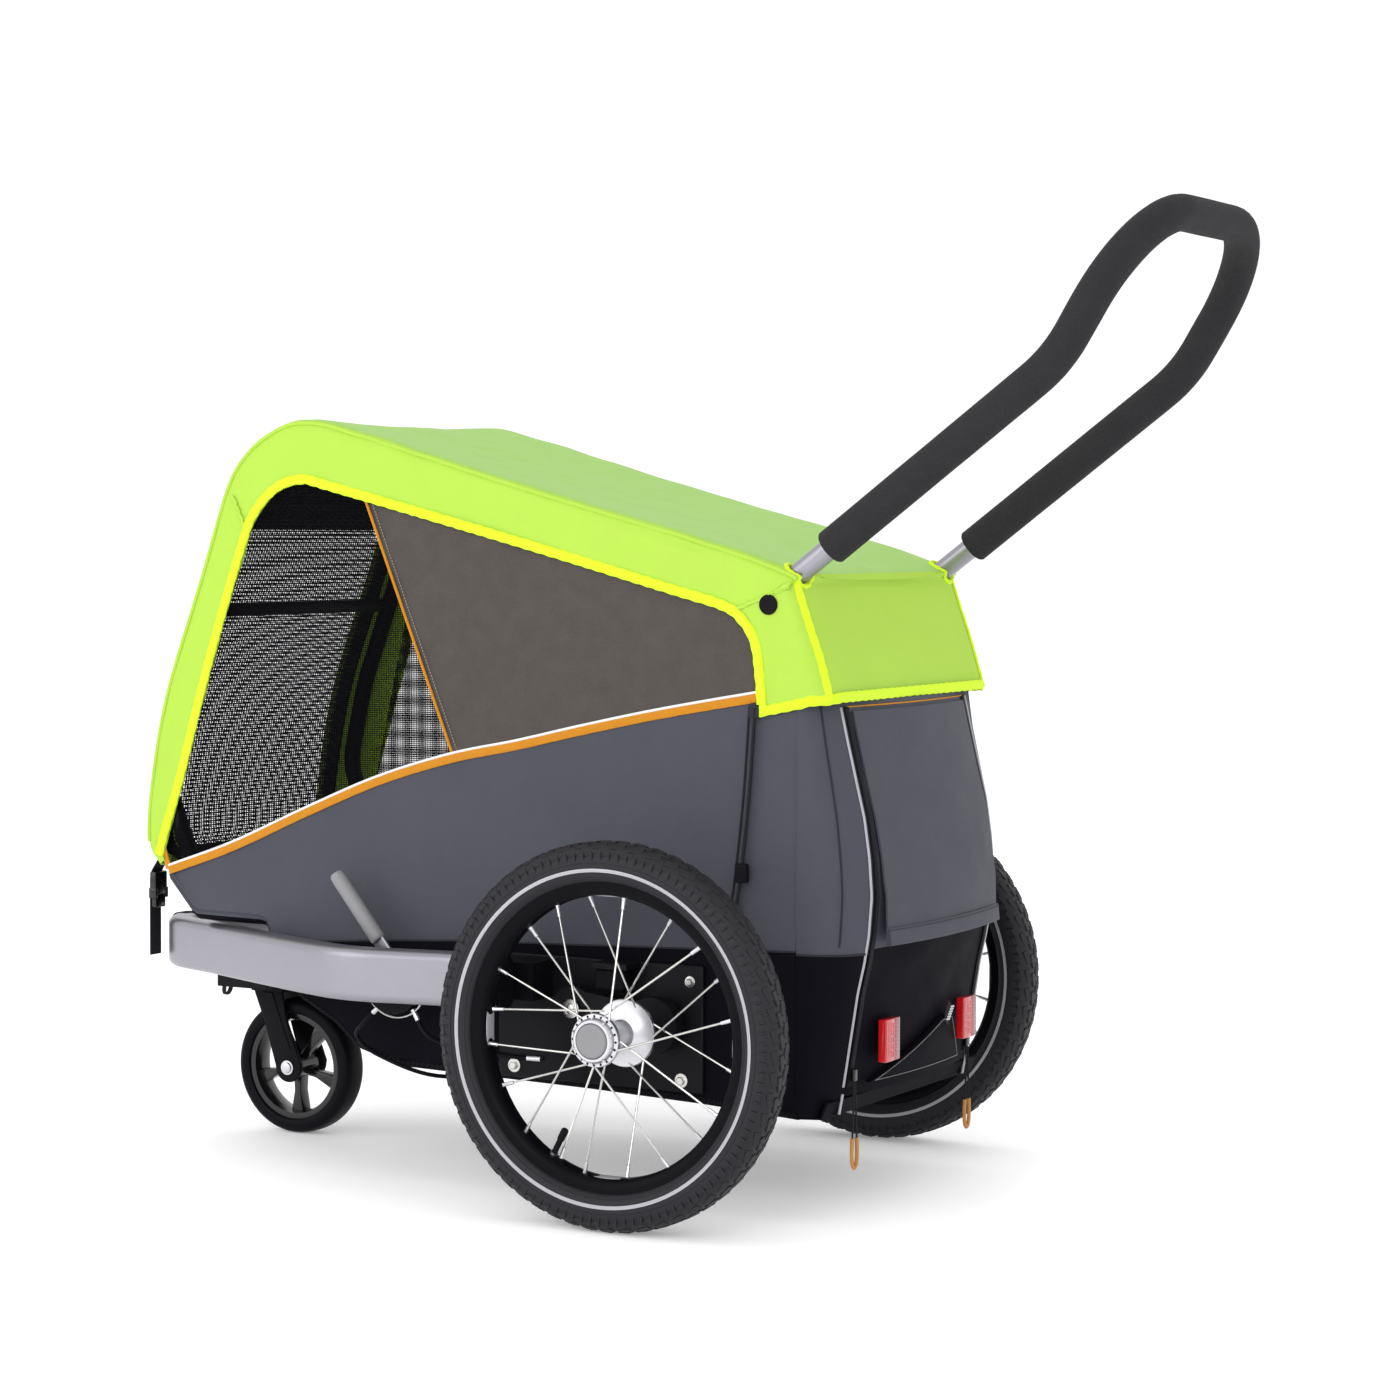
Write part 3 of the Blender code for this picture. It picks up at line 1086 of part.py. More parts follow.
def make_caster_wheel(spin):
    """Solid rubber tyre on a black five-spoke wheel."""
    half = CASTER_WIDTH / 2
    rim_radius = CASTER_RADIUS - CASTER_RING
    arch = [(-0.8, rim_radius + GAP), (-0.98, CASTER_RADIUS - 0.010), (-0.8, CASTER_RADIUS - 0.003),
            (-0.3, CASTER_RADIUS)]
    section = [(half * x, r) for x, r in arch] + [(-half * x, r) for x, r in reversed(arch)]
    lathe("caster_tyre", section, CASTER_SIDES, "rubber", spin, closed=True)
    rim = lathe("caster_rim", [(-0.014, rim_radius - 0.007), (0.014, rim_radius - 0.007), (0.015, rim_radius),
                               (-0.015, rim_radius)], CASTER_SIDES, "black_plastic", spin, closed=True)
    hub = disc("caster_hub_helper", -half + 0.001, half - 0.001, 0.014, 20, "black_plastic", spin)
    combine(rim, hub, "UNION")
    for k in range(CASTER_SPOKES):
        bar = box_data((-0.007, 0.008, -0.0045), (0.007, rim_radius - 0.004, 0.0045))
        spoke = mesh_object(f"caster_spoke_{k}", *bar, "black_plastic", spin)
        spoke.rotation_euler.x = math.tau * k / CASTER_SPOKES + math.radians(54)
        combine(rim, spoke, "UNION")
    bore = disc("caster_bore", -0.05, 0.05, CASTER_AXLE_RADIUS + GAP, 12, "black_plastic", spin)
    combine(rim, bore, "DIFFERENCE")


# --- push bar ------------------------------------------------------------------------------------------------
def bar_path():
    """Centre line of the push bar, from the bottom of one socket to the other."""
    bend_y, bend_z = BAR_BEND
    c, s = math.cos(BAR_HIGH_ANGLE), math.sin(BAR_HIGH_ANGLE)
    straight = BAR_HIGH_LENGTH - BAR_CORNER_RADIUS
    half = smooth_path([(BAR_HALF_WIDTH, *BAR_START), (BAR_HALF_WIDTH, bend_y, bend_z),
                        (BAR_HALF_WIDTH, bend_y + c * straight, bend_z + s * straight)], 0.055, 4)
    for k in range(1, 7):
        angle = math.radians(15 * k)
        rise = straight + BAR_CORNER_RADIUS * math.sin(angle)
        x = BAR_HALF_WIDTH - BAR_CORNER_RADIUS * (1 - math.cos(angle))
        half.append(Vector((x, bend_y + c * rise, bend_z + s * rise)))
    return half + [Vector((-p.x, p.y, p.z)) for p in reversed(half)]


def transported_sweep(path, section):
    """Rings of a section along a path in space, with no twist, and the frames they lie in."""
    side = Vector((1, 0, 0))
    rings = []
    for index, point in enumerate(path):
        ahead = path[min(index + 1, len(path) - 1)] - path[max(index - 1, 0)]
        tangent = ahead.normalized()
        side = (side - tangent * side.dot(tangent)).normalized()
        top = tangent.cross(side)
        rings.append([point + side * a + top * b for a, b in section])
    return rings


def make_push_bar(body):
    """The bent tube and the foam sleeve on it."""
    bar = empty("push_bar_slide", (0, 0, 0), body)
    path = bar_path()
    rings = transported_sweep(path, circle_section(BAR_TUBE_RADIUS, GRIP_SIDES))
    vertices, faces = close_rings(rings)
    mesh_object("push_bar", vertices, faces, "aluminium", bar)
    grip = trimmed(path, GRIP_START)
    outer = transported_sweep(grip, circle_section(GRIP_RADIUS, GRIP_SIDES))
    inner = transported_sweep(grip, circle_section(BAR_TUBE_RADIUS + GAP, GRIP_SIDES))
    make_sleeve("foam_grip", outer, inner, bar)


def trimmed(path, distance):
    """The path without its first and last stretch of that length."""
    first = path[0] + (path[1] - path[0]).normalized() * distance
    last = Vector((-first.x, first.y, first.z))
    return [first] + [p for p in path[1:-1]] + [last]


def tube_faces(rings, count, base=0):
    """Faces between rings of count points each, whose first point is number base."""
    return [(base + i * count + k, base + i * count + (k + 1) % count,
             base + (i + 1) * count + (k + 1) % count, base + (i + 1) * count + k)
            for i in range(rings - 1) for k in range(count)]


def close_rings(rings):
    """A solid from rings, closed by its end faces."""
    count = len(rings[0])
    vertices = [v for ring in rings for v in ring]
    faces = tube_faces(len(rings), count)
    faces.append(tuple(range(count)))
    faces.append(tuple((len(rings) - 1) * count + k for k in range(count)))
    return vertices, faces


def make_sleeve(name, outer, inner, parent):
    """A hollow sleeve between two sets of rings."""
    count, length = len(outer[0]), len(outer)
    vertices = [v for ring in outer + inner for v in ring]
    offset = length * count
    faces = []
    for base in (0, offset):
        faces += tube_faces(length, count, base)
    for end in (0, length - 1):
        faces += [(end * count + k, end * count + (k + 1) % count, offset + end * count + (k + 1) % count,
                   offset + end * count + k) for k in range(count)]
    mesh_object(name, vertices, faces, "foam", parent)


def main():
    """Builds the trailer."""
    clear_scene()
    origin = empty("trailer_origin", (0, Y_SHIFT, 0))
    body = empty("body_origin", (0, 0, BODY_LIFT), origin)
    make_base_frame(body)
    make_floor(body)
    build_tub(body)
    make_front_window(body)
    make_cover(body)
    make_crossbars(body)
    make_door(body)
    make_bumper(body)
    for side, word in ((1, "left"), (-1, "right")):
        make_hoop(f"side_hoop_{word}", side, body)
        make_socket(f"bar_socket_{word}", side, body)
        make_side(side, word, body)
        make_strap(word, side, body)
        make_elastic(f"elastic_{word}", side, body)
        make_side_plate(f"side_plate_{word}", side, body)
        make_elastomer(f"elastomer_{word}", side, body)
        arm, to_axle = make_arm(side, word, body)
        make_wheel(side, word, arm, to_axle)
    housing_x = make_brake(body)
    make_cables(body, housing_x)
    make_caster_bracket(body)
    make_caster(body)
    make_push_bar(body)


main()
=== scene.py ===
"""Looks of a two-wheeled bicycle trailer in stroller mode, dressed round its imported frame.

Shapes are drawn with y = 0 on the wheel axle, in metres, +Z up, +Y to the rear and +X to the left-hand
wheel; the workshop then moves them by the place that the frame gives the axle.
"""

import json
import logging
import math
import sys
from dataclasses import dataclass, field
from enum import Enum
from typing import Callable, Iterable, Sequence

import bmesh
import bpy
from mathutils import Matrix, Vector, noise
from mathutils.bvhtree import BVHTree

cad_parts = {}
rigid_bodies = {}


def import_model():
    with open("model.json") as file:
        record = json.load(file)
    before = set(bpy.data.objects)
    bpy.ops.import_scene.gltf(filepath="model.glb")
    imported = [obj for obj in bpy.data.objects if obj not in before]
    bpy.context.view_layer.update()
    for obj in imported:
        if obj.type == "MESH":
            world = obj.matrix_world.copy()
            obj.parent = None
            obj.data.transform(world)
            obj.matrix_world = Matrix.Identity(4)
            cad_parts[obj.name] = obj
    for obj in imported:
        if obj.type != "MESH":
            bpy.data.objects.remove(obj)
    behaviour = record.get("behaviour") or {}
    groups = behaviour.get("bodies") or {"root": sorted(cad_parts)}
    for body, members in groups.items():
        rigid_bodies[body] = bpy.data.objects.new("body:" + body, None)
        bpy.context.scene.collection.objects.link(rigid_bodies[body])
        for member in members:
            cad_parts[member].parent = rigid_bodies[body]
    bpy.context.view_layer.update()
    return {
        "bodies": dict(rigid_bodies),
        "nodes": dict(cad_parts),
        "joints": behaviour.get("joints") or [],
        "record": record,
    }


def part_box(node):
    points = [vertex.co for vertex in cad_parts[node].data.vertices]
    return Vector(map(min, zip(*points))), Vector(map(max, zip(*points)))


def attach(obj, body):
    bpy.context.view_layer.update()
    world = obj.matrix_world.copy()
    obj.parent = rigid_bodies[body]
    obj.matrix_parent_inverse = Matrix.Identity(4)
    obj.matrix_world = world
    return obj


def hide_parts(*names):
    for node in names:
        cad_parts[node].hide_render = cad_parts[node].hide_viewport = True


log = logging.getLogger("trailer")

Face = tuple[int, ...]
Pair = tuple[float, float]
X_AXIS, Y_AXIS, Z_AXIS = Vector((1, 0, 0)), Vector((0, 1, 0)), Vector((0, 0, 1))
SIDES = ((1, "left"), (-1, "right"))


# --- finishes --------------------------------------------------------------------------------------
class Pattern(Enum):
    """The fine structure of a finish."""

    WOVEN = "woven"
    COATED = "coated"
    MOULDED = "moulded"
    BRUSHED = "brushed"
    FOAM = "foam"
    PRISM = "prism"


@dataclass(frozen=True)
class Finish:
    """One finish: its colour and the structure of its surface."""

    name: str
    slot: str
    colour: tuple[float, float, float]
    roughness: float
    metallic: float = 0.0
    pattern: Pattern = Pattern.MOULDED
    pitch: float = 0.0014
    relief: float = 0.25
    variation: float = 0.10
    patch: float = 0.06
    sheen: float = 0.0
    coat: float = 0.0
    specular: float = 0.5
    # Emission strength in the finish's own colour: a painted glow, light given off by cloth that is no lamp.
    painted_glow: float = 0.0

    def material(self) -> bpy.types.Material:
        """Returns the finish's material, made once."""
        found = bpy.data.materials.get(self.name)
        return found if found else FinishBuilder(self).build()


class FinishBuilder:
    """Lays out the shader nodes of one finish."""

    def __init__(self, finish: Finish) -> None:
        """Starts an empty material.

        Args:
            finish: the finish to build.
        """
        self.finish = finish
        self.material = bpy.data.materials.new(finish.name)
        self.material.use_nodes = True
        tree = self.material.node_tree
        self.node, self.link = tree.nodes.new, tree.links.new
        self.shader = tree.nodes["Principled BSDF"]
        self.place = self.node("ShaderNodeTexCoord").outputs["Object"]

    def build(self) -> bpy.types.Material:
        """Returns the finished material."""
        shader, finish = self.shader, self.finish
        shader.inputs["Metallic"].default_value = finish.metallic
        shader.inputs["Sheen Weight"].default_value = finish.sheen
        shader.inputs["Sheen Roughness"].default_value = 0.5
        shader.inputs["Coat Weight"].default_value = finish.coat
        shader.inputs["Coat Roughness"].default_value = 0.12
        shader.inputs["Specular IOR Level"].default_value = finish.specular
        # The emission set here is painted glow, not light from a lamp.
        shader.inputs["Emission Color"].default_value = (*finish.colour, 1)
        shader.inputs["Emission Strength"].default_value = finish.painted_glow
        fine = self.structure()
        self.colour(fine)
        self.gloss()
        bump = self.node("ShaderNodeBump")
        bump.inputs["Strength"].default_value = finish.relief
        bump.inputs["Distance"].default_value = 0.0008
        self.link(fine, bump.inputs["Height"])
        self.link(bump.outputs["Normal"], shader.inputs["Normal"])
        self.material.diffuse_color = (*finish.colour, 1.0)
        return self.material

    def noise(self, size: float, detail: float = 3.0,
              stretch: Sequence[float] = (1, 1, 1)) -> bpy.types.NodeSocket:
        """Soft random spots.

        Args:
            size: size of a spot, in metres.
            detail: octaves of smaller spots.
            stretch: scale along each axis.

        Returns:
            The socket with values about 0.5.
        """
        mapping = self.node("ShaderNodeMapping")
        mapping.inputs["Scale"].default_value = stretch
        texture = self.node("ShaderNodeTexNoise")
        texture.inputs["Scale"].default_value = 1 / size
        texture.inputs["Detail"].default_value = detail
        self.link(self.place, mapping.inputs["Vector"])
        self.link(mapping.outputs["Vector"], texture.inputs["Vector"])
        return texture.outputs["Fac"]

    def bands(self, direction: str, pitch: float, turn: float = 0.0) -> bpy.types.NodeSocket:
        """Parallel threads.

        Args:
            direction: axis across the threads, X, Y or Z.
            pitch: distance between threads, in metres.
            turn: turn of the pattern about Z, in radians.

        Returns:
            The socket with values from 0 to 1.
        """
        mapping = self.node("ShaderNodeMapping")
        mapping.inputs["Rotation"].default_value = (0, 0, turn)
        wave = self.node("ShaderNodeTexWave")
        wave.bands_direction = direction
        wave.inputs["Scale"].default_value = math.tau / 20 / pitch
        wave.inputs["Distortion"].default_value = 0.6
        wave.inputs["Detail"].default_value = 1.0
        wave.inputs["Detail Scale"].default_value = 2.0
        self.link(self.place, mapping.inputs["Vector"])
        self.link(mapping.outputs["Vector"], wave.inputs["Vector"])
        return wave.outputs["Fac"]

    def combined(self, operation: str, first: bpy.types.NodeSocket, second: bpy.types.NodeSocket | float
                 ) -> bpy.types.NodeSocket:
        """One sum or product of two sockets.

        Args:
            operation: the Math node's operation.
            first: its first value.
            second: its second value, a socket or a number.

        Returns:
            The result's socket.
        """
        node = self.node("ShaderNodeMath")
        node.operation = operation
        self.link(first, node.inputs[0])
        if isinstance(second, (int, float)):
            node.inputs[1].default_value = second
        else:
            self.link(second, node.inputs[1])
        return node.outputs[0]

    def structure(self) -> bpy.types.NodeSocket:
        """Returns the height of the surface's fine structure."""
        kind, pitch = self.finish.pattern, self.finish.pitch
        if kind in (Pattern.WOVEN, Pattern.COATED):
            warp, weft = self.bands("X", pitch, math.radians(45)), self.bands("Z", pitch)
            weave = self.combined("MULTIPLY", warp, weft)
            if kind is Pattern.WOVEN:
                return self.combined("ADD", weave, self.noise(pitch * 1.7, 2.0))
            return self.combined("ADD", self.combined("MULTIPLY", weave, 0.45), self.noise(0.012, 4.0))
        if kind is Pattern.BRUSHED:
            return self.noise(pitch, 4.0, (1.0, 0.12, 1.0))
        if kind is Pattern.FOAM:
            cells = self.node("ShaderNodeTexVoronoi")
            cells.inputs["Scale"].default_value = 1 / pitch
            self.link(self.place, cells.inputs["Vector"])
            return self.combined("ADD", cells.outputs["Distance"], self.noise(pitch * 3, 3.0))
        if kind is Pattern.PRISM:
            return self.combined("MULTIPLY", self.bands("X", pitch), self.bands("Z", pitch))
        return self.noise(pitch, 5.0)

    def colour(self, fine: bpy.types.NodeSocket) -> None:
        """Colour that changes a little with the structure and from patch to patch.

        Args:
            fine: the fine structure's height.
        """
        finish = self.finish
        mix = self.node("ShaderNodeMix")
        mix.data_type = "RGBA"
        low = [c * (1 - finish.variation) for c in finish.colour]
        high = [min(1.0, c * (1 + finish.variation)) for c in finish.colour]
        mix.inputs[6].default_value = (*low, 1.0)
        mix.inputs[7].default_value = (*high, 1.0)
        share = self.combined("MULTIPLY", fine, 0.5)
        both = self.combined("ADD", share, self.combined("MULTIPLY", self.noise(finish.patch, 3.0), 0.6))
        self.link(both, mix.inputs[0])
        self.link(mix.outputs[2], self.shader.inputs["Base Color"])

    def gloss(self) -> None:
        """Roughness that varies about the finish's own."""
        spread = self.node("ShaderNodeMapRange")
        spread.inputs["To Min"].default_value = max(0.02, self.finish.roughness - 0.07)
        spread.inputs["To Max"].default_value = min(1.0, self.finish.roughness + 0.07)
        self.link(self.noise(0.03, 4.0), spread.inputs["Value"])
        self.link(spread.outputs["Result"], self.shader.inputs["Roughness"])


@dataclass(frozen=True)
class Finishes:
    """All finishes of the trailer."""

    # The lime cloth's emission is a painted glow that lifts its shaded parts, most of all its inner side seen
    # through the nets.
    lime: Finish = Finish("lime_cloth", "lime_fabric", (0.335, 0.525, 0.055), 0.60, pattern=Pattern.WOVEN,
                          pitch=0.0016, relief=0.20, variation=0.05, patch=0.05, specular=0.18, painted_glow=0.10)
    # A darker, greyer copy of the lime cloth for the faces that face up: painted shade of the roof, with a
    # weaker painted glow.
    lime_roof_shade: Finish = Finish("lime_roof_painted_shade", "lime_fabric", (0.28, 0.50, 0.085), 0.50,
                               pattern=Pattern.WOVEN, pitch=0.0016, relief=0.20, variation=0.05, patch=0.05,
                               specular=0.25, painted_glow=0.05)
    lime_tape: Finish = Finish("lime_tape", "lime_fabric", (0.56, 0.80, 0.02), 0.70, pattern=Pattern.WOVEN,
                               pitch=0.0022, relief=0.45, patch=0.008, sheen=0.06, specular=0.15)
    panel_grey: Finish = Finish("panel_cloth", "panel_grey", (0.047, 0.049, 0.064), 0.62,
                                pattern=Pattern.COATED, pitch=0.0015, relief=0.14, variation=0.12,
                                patch=0.09, specular=0.28)
    upper_grey: Finish = Finish("upper_cloth", "upper_grey", (0.066, 0.058, 0.053), 0.85,
                                pattern=Pattern.WOVEN, pitch=0.0017, relief=0.50, variation=0.26,
                                patch=0.020, specular=0.15)
    black_cloth: Finish = Finish("black_cloth", "black_fabric", (0.0040, 0.0036, 0.0062), 0.60,
                                 pattern=Pattern.COATED, pitch=0.0015, relief=0.30, variation=0.30,
                                 patch=0.05, specular=0.03)
    webbing: Finish = Finish("black_webbing", "black_fabric", (0.007, 0.007, 0.009), 0.75,
                             pattern=Pattern.WOVEN, pitch=0.0018, relief=0.6, variation=0.30, patch=0.01,
                             specular=0.25)
    net: Finish = Finish("black_net", "mesh_fabric", (0.003, 0.003, 0.004), 0.85, pitch=0.0009, relief=0.2,
                         variation=0.2, patch=0.02, specular=0.05)
    front_net: Finish = Finish("grey_net", "mesh_fabric", (0.050, 0.050, 0.056), 0.80, pitch=0.0009,
                               relief=0.2, variation=0.2, patch=0.02, specular=0.2)
    orange: Finish = Finish("orange_tape", "orange_cord", (0.50, 0.20, 0.010), 0.70, pattern=Pattern.WOVEN,
                            pitch=0.0013, relief=0.5, variation=0.12, patch=0.01, specular=0.2)
    orange_loop: Finish = Finish("orange_loop", "orange_cord", (0.40, 0.18, 0.03), 0.55, pitch=0.001,
                                 relief=0.3, variation=0.15)
    piping_white: Finish = Finish("white_piping", "mesh_fabric", (0.70, 0.70, 0.73), 0.45,
                                  pattern=Pattern.WOVEN, pitch=0.0010, relief=0.3, variation=0.06)
    reflective: Finish = Finish("reflective_tape", "aluminium", (0.42, 0.42, 0.45), 0.45, metallic=0.35,
                                pattern=Pattern.PRISM, pitch=0.0008, relief=0.5)
    thread: Finish = Finish("light_thread", "upper_grey", (0.24, 0.23, 0.22), 0.8, pattern=Pattern.WOVEN,
                            pitch=0.0008, relief=0.4)
    dark_thread: Finish = Finish("dark_thread", "black_fabric", (0.022, 0.023, 0.030), 0.8,
                                 pattern=Pattern.WOVEN, pitch=0.0008, relief=0.4, patch=0.02, specular=0.2)
    aluminium: Finish = Finish("satin_aluminium", "aluminium", (0.30, 0.295, 0.33), 0.33, metallic=0.85,
                               pattern=Pattern.BRUSHED, pitch=0.0006, relief=0.08, variation=0.05,
                               patch=0.02)
    bright: Finish = Finish("turned_aluminium", "polished", (0.60, 0.60, 0.63), 0.30, metallic=1.0,
                            pattern=Pattern.BRUSHED, pitch=0.0008, relief=0.12, variation=0.06, patch=0.008)
    steel: Finish = Finish("spoke_steel", "polished", (0.55, 0.54, 0.52), 0.22, metallic=1.0,
                           pattern=Pattern.BRUSHED, pitch=0.001, relief=0.05, variation=0.05)
    black_paint: Finish = Finish("black_paint_coat", "black_paint", (0.004, 0.004, 0.006), 0.45,
                                 pitch=0.0009, variation=0.2, patch=0.03, specular=0.14)
    rim_black: Finish = Finish("rim_anodised", "black_paint", (0.0035, 0.0035, 0.005), 0.32,
                               pattern=Pattern.BRUSHED, pitch=0.0006, relief=0.12, variation=0.2,
                               patch=0.03, specular=0.05)
    black_plastic: Finish = Finish("black_plastic_grain", "black_plastic", (0.005, 0.005, 0.007), 0.45,
                                   pitch=0.0007, relief=0.35, variation=0.2, patch=0.03, specular=0.07)
    gloss_plastic: Finish = Finish("black_plastic_gloss", "black_plastic", (0.004, 0.004, 0.005), 0.22,
                                   pitch=0.004, relief=0.06, variation=0.2, patch=0.03, coat=0.3,
                                   specular=0.35)
    grey_plastic: Finish = Finish("grey_plastic_grain", "grey_plastic", (0.21, 0.21, 0.22), 0.50,
                                  pitch=0.0007, relief=0.35, variation=0.06)
    tyre: Finish = Finish("tyre_rubber", "rubber", (0.0120, 0.0110, 0.0145), 0.55, pitch=0.0012,
                          relief=0.35, variation=0.25, patch=0.03, specular=0.25)
    rubber: Finish = Finish("smooth_rubber", "rubber", (0.004, 0.004, 0.006), 0.40, pitch=0.0012,
                            relief=0.15, variation=0.2, patch=0.03, specular=0.06)
    foam: Finish = Finish("grip_foam", "foam", (0.0125, 0.012, 0.014), 0.90, pattern=Pattern.FOAM,
                          relief=0.55, variation=0.30, patch=0.02, specular=0.35)
    red: Finish = Finish("reflector_lens", "reflector_red", (0.55, 0.008, 0.012), 0.12,
                         pattern=Pattern.PRISM, pitch=0.0024, relief=0.6, variation=0.35, patch=0.02,
                         coat=0.8)
    dark_red: Finish = Finish("reflector_dark", "reflector_red", (0.22, 0.006, 0.010), 0.15,
                              pattern=Pattern.PRISM, pitch=0.0036, relief=0.6, variation=0.35, patch=0.02,
                              coat=0.8)


FINISH = Finishes()


# --- lines and shapes ------------------------------------------------------------------------------
def smoothed(points: Sequence[Vector], steps: int) -> list[Vector]:
    """A smooth curve through points.

    Args:
        points: the points to pass.
        steps: pieces between two neighbours.

    Returns:
        The finer line, with the same two ends.
    """
    points = [Vector(p) for p in points]
    padded = [points[0] * 2 - points[1], *points, points[-1] * 2 - points[-2]]
    curve = []
    for a, b, c, d in zip(padded, padded[1:], padded[2:], padded[3:]):
        for k in range(steps):
            t = k / steps
            curve.append(0.5 * (2 * b + (c - a) * t + (2 * a - 5 * b + 4 * c - d) * t * t
                                + (3 * b - a - 3 * c + d) * t ** 3))
    return curve + [points[-1]]


def rounded_line(points: Sequence[Vector], radius: float, steps: int = 8) -> list[Vector]:
    """A polyline with each corner rounded off.

    Args:
        points: the corners.
        radius: distance before a corner at which its curve starts.
        steps: pieces in each corner.

    Returns:
        The rounded line.
    """
    points = [Vector(p) for p in points]
    line = [points[0]]
    for before, corner, after in zip(points, points[1:], points[2:]):
        cut = min(radius, (before - corner).length * 0.48, (after - corner).length * 0.48)
        start = corner + (before - corner).normalized() * cut
        end = corner + (after - corner).normalized() * cut
        for k in range(steps + 1):
            t = k / steps
            line.append(start * (1 - t) ** 2 + corner * 2 * t * (1 - t) + end * t ** 2)
    return line + [points[-1]]


def spaced(line: Sequence[Vector], count: int) -> list[Vector]:
    """A line again as evenly spread points.

    Args:
        line: the line's points.
        count: how many points to return.

    Returns:
        The new points.
    """
    lengths = [(b - a).length for a, b in zip(line, line[1:])]
    total, found, index, passed = sum(lengths), [], 0, 0.0
    for k in range(count):
        target = total * k / (count - 1)
        while index < len(lengths) - 1 and passed + lengths[index] < target:
            passed += lengths[index]
            index += 1
        share = min(1.0, (target - passed) / max(lengths[index], 1e-9))
        found.append(line[index].lerp(line[index + 1], share))
    return found


def length_of(line: Sequence[Vector]) -> float:
    """Returns the length of a line."""
    return sum((b - a).length for a, b in zip(line, line[1:]))


def value_on(pairs: Sequence[Pair], at: float) -> float:
    """The second value of a polyline of pairs at a first value.

    Args:
        pairs: the polyline, rising in its first value.
        at: where to read it.

    Returns:
        The value there, or the end's value outside it.
    """
    for (a0, b0), (a1, b1) in zip(pairs, pairs[1:]):
        if a0 <= at <= a1:
            return b0 + (b1 - b0) * (at - a0) / (a1 - a0)
    return pairs[0][1] if at < pairs[0][0] else pairs[-1][1]


def blend_step(t: float) -> float:
    """Returns a smooth rise from 0 to 1 for t from 0 to 1."""
    t = min(1.0, max(0.0, t))
    return t * t * (3 - 2 * t)


def circle(radius: float, sides: int) -> list[Pair]:
    """Returns the corners of a round section."""
    return [(radius * math.cos(math.tau * k / sides), radius * math.sin(math.tau * k / sides))
            for k in range(sides)]


def rounded_box_section(width: float, height: float, corner: float, steps: int = 5) -> list[Pair]:
    """Corners of a rounded rectangle.

    Args:
        width: size along the first axis.
        height: size along the second axis.
        corner: radius of the corners.
        steps: pieces in each corner.

    Returns:
        The section's points, anticlockwise.
    """
    points = []
    for sx, sy, start in ((1, 1, 0), (-1, 1, 90), (-1, -1, 180), (1, -1, 270)):
        for k in range(steps + 1):
            angle = math.radians(start + 90 * k / steps)
            points.append((sx * (width / 2 - corner) + corner * math.cos(angle),
                           sy * (height / 2 - corner) + corner * math.sin(angle)))
    return points


@dataclass
class Shape:
    """Points and faces, with a finish number for each face."""

    points: list[Vector] = field(default_factory=list)
    faces: list[Face] = field(default_factory=list)
    paints: list[int] = field(default_factory=list)

    def add(self, other: "Shape", paint: int | None = None) -> "Shape":
        """Joins another shape to this one.

        Args:
            other: the shape to add.
            paint: finish number for its faces, or None to keep theirs.

        Returns:
            This shape.
        """
        start = len(self.points)
        self.points += [Vector(p) for p in other.points]
        self.faces += [tuple(start + k for k in face) for face in other.faces]
        self.paints += other.paints if paint is None else [paint] * len(other.faces)
        return self

    def moved(self, matrix: Matrix) -> "Shape":
        """Returns a copy placed by a matrix."""
        return Shape([matrix @ p for p in self.points], list(self.faces), list(self.paints))

    def at(self, place: Sequence[float]) -> "Shape":
        """Returns a copy moved by a vector."""
        return self.moved(Matrix.Translation(Vector(place)))

    def flipped(self) -> "Shape":
        """Returns a copy with each face turned over."""
        return Shape(list(self.points), [f[::-1] for f in self.faces], list(self.paints))

    def mirrored(self) -> "Shape":
        """Returns a copy for the other side, with its faces turned to match."""
        return Shape([Vector((-p.x, p.y, p.z)) for p in self.points], self.faces, self.paints).flipped()

    def sided(self, side: int) -> "Shape":
        """Returns this shape for the left side (1) or a mirrored one for the right (-1)."""
        return self if side > 0 else self.mirrored()


def grid(rows: Sequence[Sequence[Vector]], around: bool = False,
         paint: Callable[[int, int], int] | None = None
         ) -> Shape:
    """A surface through rows of points.

    Args:
        rows: rows with the same number of points.
        around: True if each row closes on itself.
        paint: finish number for the face at a row and column.

    Returns:
        The open surface.
    """
    width = len(rows[0])
    shape = Shape([Vector(p) for row in rows for p in row])
    for i in range(len(rows) - 1):
        for j in range(width if around else width - 1):
            after = (j + 1) % width
            shape.faces.append((i * width + j, i * width + after, (i + 1) * width + after,
                                (i + 1) * width + j))
            shape.paints.append(paint(i, j) if paint else 0)
    return shape


def tube(line: Sequence[Vector], section: Sequence[Pair], tops: Sequence[Vector] | None = None,
         sizes: Sequence[float] | None = None, closed: bool = False) -> Shape:
    """A section carried along a line in space.

    Args:
        line: the centre line.
        section: the section's corners; its second axis follows tops.
        tops: direction of the second axis at each point, or None to carry it along with no twist.
        sizes: scale of the section at each point.
        closed: True for a ring.

    Returns:
        A closed shape.
    """
    line = [Vector(p) for p in line]
    count, rings = len(line), []
    carried = None
    for index, point in enumerate(line):
        after = line[(index + 1) % count] if closed else line[min(index + 1, count - 1)]
        before = line[index - 1] if closed or index else point
        tangent = (after - before).normalized()
        if tops is not None:
            carried = Vector(tops[index])
        elif carried is None:
            carried = Z_AXIS if abs(tangent.z) < 0.9 else Y_AXIS
        top = (carried - tangent * carried.dot(tangent)).normalized()
        carried = top
        side = tangent.cross(top)
        size = sizes[index] if sizes else 1.0
        rings.append([point + side * a * size + top * b * size for a, b in section])
    if closed:
        rings.append(rings[0])
    shape = grid(rings, around=True)
    if not closed:
        width = len(section)
        shape.faces += [tuple(range(width))[::-1], tuple((count - 1) * width + k for k in range(width))]
        shape.paints += [0, 0]
    return shape


